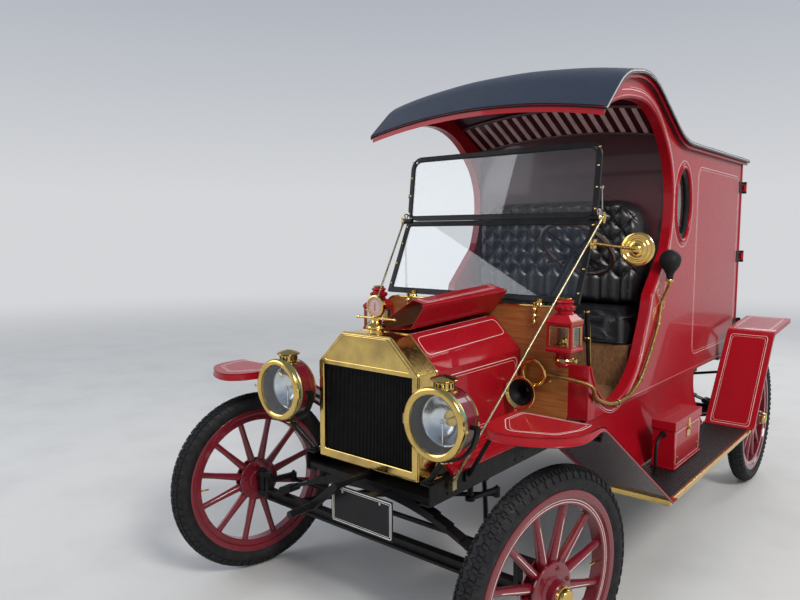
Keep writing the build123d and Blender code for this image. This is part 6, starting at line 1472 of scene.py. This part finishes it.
finishShape(shape, "fenderLines", "lineWhite", "chassis")
print("fender lines ready")

# running boards: ribbed mats with brass edging
boardLook = {"inner": 602.0, "outer": 830.0, "front": 745.0, "back": 2010.0, "top": 445.0, "ribs": 15}
look = boardLook
for name, side in sides:
    rib = bmesh.new()
    addBox(rib, Vector((-0.0028, 0, 0)), Vector((0.0028, (look["back"] - 785 - 14) * mm, 0.0022)))
    growPiece("boardRibs" + name, rowTree, rib, {"Count": look["ribs"], "Step": (side * 0.0142, 0, 0),
              "First": tuple(at(side * 620, 792, look["top"] - 0.3))}, "rubber", "chassis")
    shape = bmesh.new()
    x = side * look["outer"]
    # the outer face, its top and the front end
    for ends, front, back, bottom, top in (((x - side * 3, x + side * 1.2), look["front"], look["back"], 425, 446.2),
                                           ((x - side * 14, x), look["front"], look["back"], 444.6, 446.4),
                                           ((side * look["inner"], x), 743.6, 748, 426, 446.2)):
        addBox(shape, at(min(ends), front, bottom), at(max(ends), back, top))
    finishShape(shape, "boardEdge" + name, "brass", "chassis", bevel=0.8)
print("running boards ready")

# number plate: bare, with a double painted border and two bolts
plateLook = {"x": 72.0, "z": 490.0, "width": 290.0, "height": 140.0, "front": -150.0}
look = plateLook
shape = bmesh.new()
for inset, width in ((7.0, 3.4), (13.5, 1.6)):
    w, h = look["width"] / 2 - inset, look["height"] / 2 - inset
    loop = roundedBox(-w, -h, w, h, 5, count=4)
    addRibbon(shape, [at(look["x"] + x, look["front"] - 0.1, look["z"] + z) for x, z in loop], (0, -1, 0), width,
              closed=True)
finishShape(shape, "plateLines", "lineIvory", "chassis")
spots = [(at(look["x"] + x, look["front"], look["z"] + 50), Vector((0, -1, 0))) for x in (-88, 88)]
growStuds("plateBolts", [(-1, 5), (1.5, 5), (2.6, 3.6), (3, 0)], 10, spots, "steel", "chassis")

# windshield stays: thin straight rods with turned ends
shape = bmesh.new()
for side in (1, -1):
    top, foot = at(side * 513, *windshieldFold), at(side * 315, 56, 590)
    run = (foot - top).normalized()
    length = (foot - top).length
    addTube(shape, [top + run * s for s in (0.0, 0.010, 0.012, 0.030, 0.034, length * 0.5, length - 0.16,
                                            length - 0.155, length - 0.105, length - 0.1, length - 0.03,
                                            length - 0.024, length)], [8, 8, 6, 6, 4.6, 4.6, 4.6, 7.2, 7.2, 4.6, 4.6,
                                                                       7.5, 7.5], segments=12)
    addLathe(shape, [(-6, 9), (-5, 11), (5, 11), (6, 9)], top, (1, 0, 0), segments=16)
    addTube(shape, [at(side * x, *windshieldFold) for x in (493, 520)], 5.5, segments=12)
    addBox(shape, foot + Vector((-0.009, -0.012, -0.022)), foot + Vector((0.009, 0.012, 0.010)))
finishShape(shape, "windshieldStays", "dullBrass", "chassis", ["windshield_stays"], angle=40)

# steering wheel: a rim with finger grips, four spokes, a turned hub with its cap
wheelRim = {"hub": (285.0, 1053.0, 1385.0), "axis": (0.074957, 0.677422, 0.731766), "radius": 178.0, "grip": 12.0}
hub, axis = at(*wheelRim["hub"]), Vector(wheelRim["axis"]).normalized()
across = axis.cross(Vector((1, 0, 0))).normalized()
beside = across.cross(axis).normalized()
shape = bmesh.new()
ringPoints, ringRadii = [], []
for k in range(160):
    t = tau * k / 160
    reach = (wheelRim["radius"] - wheelRim["grip"]) * mm
    ringPoints.append(hub + (beside * math.cos(t) + across * math.sin(t)) * reach)
    ringRadii.append(wheelRim["grip"] - 0.9 * abs(math.sin(t * 20)) ** 3)
addTube(shape, ringPoints, ringRadii, segments=14, closed=True)
finishShape(shape, "wheelRimWood", "darkWood", "steering_wheel", ["steering_wheel"], angle=60)
shape = bmesh.new()
for k in range(4):
    t = tau * (k + 0.5) / 4
    out = beside * math.cos(t) + across * math.sin(t)
    addTube(shape, [hub + out * r * mm - axis * d * mm for r, d in ((20, 8), (60, 9), (110, 6), (150, 1), (160, 0))],
            [9, 8, 7, 7.5, 9], segments=12, flat=0.55)
addLathe(shape, [(-30, 12), (-30, 22), (-24, 26), (-6, 27), (0, 25), (4, 20), (6, 14)], hub, axis, segments=36)
addTube(shape, [hub - axis * 0.030, hub - axis * 0.052], 10, segments=20)
finishShape(shape, "wheelSpokes", "blackPaint", "steering_wheel", angle=45)
shape = bmesh.new()
addLathe(shape, [(5, 0), (5, 15), (9, 15), (10, 12), (16, 12), (18, 9), (19, 0)], hub, axis, segments=6)
finishShape(shape, "wheelNut", "brass", "steering_wheel", bevel=0.8)
print("steering wheel ready")

# engine: head bolts, plugs with their wires, water hoses' clamps, a fan behind the radiator
engineLook = {"headTop": 925.0, "cylinders": 4, "fan": (0, 108, 850.0), "blades": 4}
look = engineLook
spots = [(at(x, 172 + 59.3 * k, look["headTop"]), Vector(upward)) for k in range(7) for x in (-58, 58)]
growStuds("headBolts", [(-1, 9), (6, 9), (7.5, 7), (7.5, 5), (12, 5), (13, 0)], 6, spots, "steel", "chassis")
porcelain, wires, brassTips = bmesh.new(), bmesh.new(), bmesh.new()
for k in range(look["cylinders"]):
    foot = at(-24, 200 + 100 * k, look["headTop"])
    addLathe(wires, [(-1, 13), (9, 13), (9, 10)], foot, (0, 0, 1), segments=6)
    addLathe(porcelain, [(8, 8), (12, 8.5), (30, 6), (34, 6), (36, 4), (36, 0)], foot, (0, 0, 1), segments=16)
    addLathe(brassTips, [(35, 3), (38, 6), (43, 6), (46, 3), (46, 0)], foot, (0, 0, 1), segments=12)
    tip = foot + Vector((0, 0, 0.041))
    lead = smoothPath([tip, tip + Vector((0.03, 0.01, 0.028)), tip + Vector((0.085, 0.03, 0.02)),
                       at(88, 240 + 98 * k, 905), at(92, 330 + 70 * k, 870), at(92, 545, 868 - 9 * k),
                       at(92, 612, 866 - 9 * k)], 6)
    addTube(wires, lead, 3.4, segments=8)
finishShape(porcelain, "plugPorcelain", "lineIvory", "chassis")
finishShape(wires, "plugWires", "rubber", "chassis", angle=50)
finishShape(brassTips, "plugTips", "brass", "chassis")
shape = bmesh.new()
fanHub = at(*look["fan"])
for k in range(look["blades"]):
    t = tau * k / look["blades"]
    out, beside = Vector((math.cos(t), 0, math.sin(t))), Vector((-math.sin(t), 0, math.cos(t)))
    addPrism(shape, [fanHub + out * 0.020 + beside * 0.012, fanHub + out * 0.020 - beside * 0.012,
                     fanHub + out * 0.135 - beside * 0.032 + Vector((0, 0.010, 0)),
                     fanHub + out * 0.135 + beside * 0.032 + Vector((0, -0.010, 0))], Vector((0, 0.002, 0)))
addLathe(shape, [(-12, 0), (-12, 18), (-8, 24), (10, 24), (14, 20), (42, 20), (42, 0)], fanHub, backward,
         segments=24)
finishShape(shape, "engineFan", "blackPaint", "chassis")
shape = bmesh.new()
for distance, z in ((185, 940), (185, 985)):
    addLathe(shape, [(-5, 19), (-5, 22.5), (5, 22.5), (5, 19)], at(0, distance, z), (0, 0, 1), segments=24,
             closed=True)
for k in range(5):
    addTube(shape, [at(-80, 160 + 90 * k, 702), at(-80, 160 + 90 * k, 878)], 3, segments=6)
finishShape(shape, "engineClamps", "steel", "chassis")
print("engine ready")

# rear doors: raised panels, painted lines, straps at the hinges
doorLook = {"back": 2798.0, "panels": ((800, 1240), (1340, 1830)), "from": 60, "to": 492, "inset": 22}
look = doorLook
for name, side in sides:
    body = bodyOf["rear_door_" + name.lower()]
    shape, lines = bmesh.new(), bmesh.new()
    for low, high in look["panels"]:
        loop = roundedBox(look["from"], low, look["to"], high, 26)
        addTube(shape, [at(side * x, look["back"], z) for x, z in loop], 5.5, segments=8, closed=True)
        inset = look["inset"]
        loop = roundedBox(look["from"] + inset, low + inset, look["to"] - inset, high - inset, 16)
        addRibbon(lines, [at(side * x, look["back"] + 0.1, z) for x, z in loop], backward, 2.6, closed=True)
    for z in (900, 1740):
        addTube(shape, [at(side * x, look["back"] + 1, z) for x in (300, 306, 380, 470, 540)], [2, 7, 8, 9, 11],
                segments=10, flat=0.5)
    finishShape(shape, "doorBeads" + name, "redPaint", body, angle=60)
    finishShape(lines, "doorLines" + name, "lineWhite", body)
print("doors ready")

# tool box: lid seam, hinges and hasp
boxLook = {"inner": 637.0, "outer": 732.0, "front": 1090.0, "back": 1450.0, "low": 445.0, "high": 655.0}
look = boxLook
shape = bmesh.new()
addBox(shape, at(look["inner"] - 3, look["front"] - 4, look["high"] - 34), at(look["outer"] + 4, look["back"] + 4,
                                                                          look["high"] + 1))
addTube(shape, [at(x, a, look["high"] - 35) for x, a in ((635, 1087), (735, 1087), (735, 1453), (635, 1453))], 2.6,
        segments=8, closed=True)
addTube(shape, [at(x, a, look["low"] + 8) for x, a in ((636, 1089), (733, 1089), (733, 1451), (636, 1451))], 4.5,
        segments=8, closed=True)
finishShape(shape, "toolBoxLid", "redPaint", "chassis", bevel=2.5)
shape = bmesh.new()
addBox(shape, at(731, 1256, 590), at(738.5, 1284, 642))
addBox(shape, at(731, 1248, 560), at(736, 1292, 592))
addLathe(shape, [(0, 8), (5, 8), (8, 4), (8, 0)], at(737, 1270, 600), (1, 0, 0), segments=16)
for a in (1130, 1410):
    addBox(shape, at(731, a - 9, 470), at(734.5, a + 9, 500))
finishShape(shape, "toolBoxHasp", "brass", "chassis", bevel=1.0)
lines = bmesh.new()
loop = roundedBox(1108, 466, 1432, 604, 14)
addRibbon(lines, [at(732, a, z) for a, z in loop], (1, 0, 0), 2.4, closed=True)
finishShape(lines, "toolBoxLines", "lineWhite", "chassis")
print("tool box ready")

# frame: rivets along the rails
spots = []
for side in (1, -1):
    for a in (40, 90, 500, 560, 1020, 1080, 1480, 1540, 1960, 2020, 2380, 2440, 2560):
        spots += [(at(side * 305, a, z), Vector((side, 0, 0))) for z in (556, 590)]
growStuds("frameRivets", [(-1, 7), (1, 7), (3.5, 5), (5, 0)], 10, spots, "blackPaint", "chassis")
print("frame ready")

# front fenders: rolled sheets with a deep lip round the nose that thins along the slope
billLook = {"inner": 562.0, "outer": 845.0, "height": 890.0, "sheet": 4.0, "lip": 26.0, "edge": 11.0, "end": 785.0,
            "boardTop": 449.0}
noseLine = smoothPath([Vector(p) for p in ((562, -95), (585, -158), (640, -196), (722, -180), (800, -132), (834, -78),
                                           (845, -20))], 7)
sideLine = roundedPath([(-260, billLook["height"]), (70, billLook["height"]), (745, billLook["boardTop"]),
                        (billLook["end"], billLook["boardTop"])], [0, 110, 20, 0], count=14)


def billHeight(distance):
    for (a0, z0), (a1, z1) in zip(sideLine, sideLine[1:]):
        if distance <= a1:
            return z0 + (z1 - z0) * (distance - a0) / (a1 - a0)
    return billLook["boardTop"]


def lipDepth(distance):
    share = max(0.0, min(1.0, (distance + 60) / 150))
    return billLook["lip"] + (billLook["edge"] - billLook["lip"]) * share * share * (3 - 2 * share)


shape = bmesh.new()
backRows = [8 * k for k in range(18)] + [144 + 36 * k for k in range(16)] + [700, 716, 724, 730, 736, 742, 748, 756,
                                                                             770, 785]
for side in (1, -1):
    skins = []
    for drop in (0.0, billLook["sheet"]):
        columns = []
        for p in noseLine:
            distances = [p.y * (1 - k / 10) for k in range(10)] + backRows
            columns.append([shape.verts.new(at(side * p.x, a, billHeight(a) - drop)) for a in distances])
        skins.append(columns)
    addSlab(shape, *skins)
    outerEdge = [(billLook["outer"], float(a)) for a in reversed(backRows[1:])]
    innerEdge = [(billLook["inner"], float(a)) for a in backRows[1:]]
    loop = outerEdge + [(p.x, p.y) for p in reversed(noseLine)] + innerEdge
    rings = []
    for k, (x, a) in enumerate(loop):
        (x0, a0), (x1, a1) = loop[max(k - 1, 0)], loop[min(k + 1, len(loop) - 1)]
        inward = Vector((a1 - a0, -(x1 - x0))).normalized() * billLook["sheet"]
        if inward.x * (700 - x) + inward.y * (200 - a) < 0:
            inward = -inward
        depth = min(lipDepth(a), max(billHeight(a) - 446.0, 3.6))
        z, inner = billHeight(a), billHeight(a + inward.y)
        rings.append([shape.verts.new(at(side * x, a, z - 0.3)), shape.verts.new(at(side * x, a, z - depth)),
                      shape.verts.new(at(side * (x + inward.x), a + inward.y, inner - depth)),
                      shape.verts.new(at(side * (x + inward.x), a + inward.y, inner - 0.5))])
    addFaces(shape, rings)
    shape.faces.new(rings[0])
    shape.faces.new(rings[-1])
    bead = [at(side * x, a, billHeight(a) - lipDepth(a)) for x, a in loop if a < 735]
    addTube(shape, bead, 3.2, segments=8)
finishShape(shape, "frontFenders", "fenderPaint", "chassis", ["front_fenders"], angle=50)
print("front fenders ready")

# turned studs in front of the firewall, and a dark cone inside the horn's bell: painted shade in its throat
shape = bmesh.new()
for side in (1, -1):
    foot = at(side * 325, 597, 1092)
    addLathe(shape, [(0, 4), (2, 8), (8, 10), (14, 8), (17, 5), (22, 5), (26, 9), (32, 11), (38, 9), (42, 5), (48, 5),
                     (52, 9), (58, 11), (64, 9), (68, 6), (80, 6), (83, 9), (90, 9), (92, 6)], foot, (0, 0, 1),
             segments=24)
    addTube(shape, [foot + Vector((0, 0, 0.086)), at(side * 325, 636, 1182)], 4.5, segments=10)
    for z in (1104, 1158):
        addTube(shape, [at(side * 325, 597, z), at(side * 325, 609, z)], 4.0, segments=10)
finishShape(shape, "firewallStuds", "brass", "chassis", angle=45)
# a dark cone inside the horn's bell: painted shade
shape = bmesh.new()
addLathe(shape, [(5, 50), (16, 34), (32, 22), (56, 12), (74, 8), (76, 0), (77, 0), (75, 9.5), (57, 13.5), (33, 23.5),
                 (17, 35.5), (6, 51.5)], at(*hornLook["bell"]), (0, 1, 0), segments=40, closed=True)
finishShape(shape, "hornThroat", "coreBlack", "chassis", angle=60)
hoodTop = surfaceOf("hood_side_right")
low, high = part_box("hood_side_right")
shape = bmesh.new()
for inset, width in ((0.024, 3.0), (0.033, 1.4)):
    x0, x1, y0, y1 = low.x + inset, high.x - inset, low.y + inset, high.y - inset
    corners = [(x0, y0), (x1, y0), (x1, y1), (x0, y1)]
    dense = [Vector((x, y, 2.0)) for x, y in linePoints(corners, [0.016] * 4, spacing=0.01, count=5)]
    spots, normals = dropLine(hoodTop, dense)
    if len(spots) == len(dense):
        addRibbon(shape, spots, normals, width, closed=True)
finishShape(shape, "lidLines", "lineWhite", "hood_side_right")

# pedals: ribbed pads; hand lever: grip and release; a bent pipe from the board to the tool box
pedalLook = {"across": (85.0, 150.0, 215.0), "distance": 735.0, "height": 900.0, "ribs": 5}
shape = bmesh.new()
slope = Vector((0, -0.6, 0.8))
for x in pedalLook["across"]:
    pad = at(x, pedalLook["distance"], pedalLook["height"]) + Vector((0, 0.8, 0.6)) * 4.6 * mm
    for k in range(pedalLook["ribs"]):
        middle = pad + slope * (k - (pedalLook["ribs"] - 1) / 2) * 12 * mm
        addTube(shape, [middle + Vector((step * mm, 0, 0)) for step in (-23, 23)], 2.2, segments=8)
finishShape(shape, "pedalRibs", "rubber", "chassis")
shape = bmesh.new()
leverLow, leverHigh = at(390, 1010, 572), at(390, 950, 1060)
leverRun = (leverHigh - leverLow).normalized()
addLathe(shape, [(-62, 12.6), (-60, 14), (-56, 14), (-54, 12.6)], leverHigh, leverRun, segments=20)
addLathe(shape, [(54, 12), (57, 14), (63, 13), (67, 8), (68, 0)], leverHigh, leverRun, segments=20)
addTube(shape, [leverHigh + leverRun * s * mm + Vector((0, y * mm, 0)) for s, y in ((40, 14), (36, 22), (-70, 26),
                                                                                    (-96, 20))], 3.2, segments=8)
addTube(shape, [leverHigh - leverRun * 0.094 + Vector((0, 0.020, 0)), leverLow + leverRun * 0.07
                + Vector((0, 0.016, 0))], 2.4, segments=8)
finishShape(shape, "leverRelease", "brass", "chassis")
shape = bmesh.new()
addTube(shape, smoothPath([at(684, a, z) for a, z in ((1004, 444), (1004, 500), (1008, 556), (1034, 590), (1066, 598),
                                                      (1092, 598))], 6), 7.0, segments=12)
addLathe(shape, [(0, 16), (4, 16), (6, 10), (10, 9)], at(684, 1004, 445), (0, 0, 1), segments=20)
addLathe(shape, [(0, 14), (4, 14), (6, 9), (9, 9)], at(684, 1090, 598), (0, -1, 0), segments=20)
finishShape(shape, "boardPipe", "blackPaint", "chassis", angle=50)
print("pedals and lever ready")

for node, (material, bevel) in dressing.items():
    dressNode(node, material, bevel)
print("nodes dressed")

# floor, lights and camera
floorMesh = bpy.data.meshes.new("floor")
floorMesh.from_pydata([(-40, -40, 0), (40, -40, 0), (40, 40, 0), (-40, 40, 0)], [], [(0, 1, 2, 3)])
floor = makeObject("floor", floorMesh)
floorPale = makeFinish("floorPale", (0.62, 0.62, 0.61), (0.57, 0.57, 0.56), size=2.0, rough=(0.8, 0.9))
floorMesh.materials.append(floorPale)


def seenOnly(tree):
    # one for rays that show the background, nought for those that light the car
    rays = tree.nodes.new("ShaderNodeLightPath")
    result = rays.outputs["Is Camera Ray"]
    for label in ("Is Glossy Ray", "Is Transmission Ray"):
        either = tree.nodes.new("ShaderNodeMath")
        either.operation = "MAXIMUM"
        tree.links.new(result, either.inputs[0])
        tree.links.new(rays.outputs[label], either.inputs[1])
        result = either.outputs[0]
    return result


# the floor turns into the background far from the car
skyLook = {"horizon": (0.66, 0.67, 0.69, 1), "above": (0.20, 0.25, 0.34, 1), "light": (0.50, 0.53, 0.58, 1),
           "fadeFrom": 3.5, "fadeTo": 15.0}
tree = floorPale.node_tree
link = tree.links.new
place = tree.nodes.new("ShaderNodeTexCoord")
far = tree.nodes.new("ShaderNodeVectorMath")
far.operation = "LENGTH"
link(place.outputs["Object"], far.inputs[0])
fade = addRange(tree, far.outputs["Value"], skyLook["fadeFrom"], skyLook["fadeTo"])
fade.interpolation_type = "SMOOTHSTEP"
share = tree.nodes.new("ShaderNodeMath")
share.operation = "MULTIPLY"
link(fade.outputs[0], share.inputs[0])
link(seenOnly(tree), share.inputs[1])
glow = addNode(tree, "ShaderNodeEmission", Color=skyLook["horizon"], Strength=1.0)
blend = tree.nodes.new("ShaderNodeMixShader")
link(share.outputs[0], blend.inputs[0])
link(tree.nodes["Principled BSDF"].outputs[0], blend.inputs[1])
link(glow.outputs[0], blend.inputs[2])
link(blend.outputs[0], tree.nodes["Material Output"].inputs["Surface"])

world = bpy.data.worlds.new("studio")
scene.world = world
world.use_nodes = True
tree = world.node_tree
link = tree.links.new
background = tree.nodes["Background"]
background.inputs["Strength"].default_value = 1.0
direction = tree.nodes.new("ShaderNodeTexCoord")
apart = tree.nodes.new("ShaderNodeSeparateXYZ")
sky = tree.nodes.new("ShaderNodeValToRGB")
link(direction.outputs["Generated"], apart.inputs[0])
link(apart.outputs["Z"], sky.inputs["Fac"])
sky.color_ramp.elements[0].color = skyLook["horizon"]
sky.color_ramp.elements[0].position = 0.06
sky.color_ramp.elements[1].color = skyLook["above"]
sky.color_ramp.elements[1].position = 0.6
plain = tree.nodes.new("ShaderNodeMix")
plain.data_type = "RGBA"
plain.inputs[6].default_value = skyLook["light"]
link(seenOnly(tree), plain.inputs[0])
link(sky.outputs["Color"], plain.inputs[7])
link(plain.outputs[2], background.inputs["Color"])

# name, place, point it faces, size, power, colour
lampTable = (("keyLight", (5.5, -3.0, 6.0), (0.0, -0.5, 0.8), 2.2, 420, (1.0, 0.96, 0.90)),
             ("fillLight", (-5.0, -5.0, 4.0), (0.0, -0.5, 0.9), 4.0, 140, (0.92, 0.95, 1.0)),
             ("backLight", (1.0, 6.5, 5.5), (0.0, 0.0, 1.2), 4.0, 200, (1.0, 0.98, 0.95)))
for name, place, target, size, power, color in lampTable:
    light = bpy.data.lights.new(name, "AREA")
    light.size = size
    light.energy = power
    light.color = color
    lamp = makeObject(name, light)
    lamp.location = place
    lamp.rotation_euler = (Vector(target) - Vector(place)).to_track_quat("-Z", "Y").to_euler()

cameraLook = {"place": (1.622, -3.0593, 1.441), "down": 5.39, "turn": 39.89, "lens": 30.231, "sensor": 36.0}
cameraData = bpy.data.cameras.new("camera")
cameraData.sensor_width = cameraLook["sensor"]
cameraData.lens = cameraLook["lens"]
camera = makeObject("camera", cameraData)
camera.location = cameraLook["place"]
camera.rotation_euler = (math.radians(90 - cameraLook["down"]), 0, math.radians(cameraLook["turn"]))
scene.camera = camera
scene.view_settings.view_transform = "Standard"
print("stage ready")
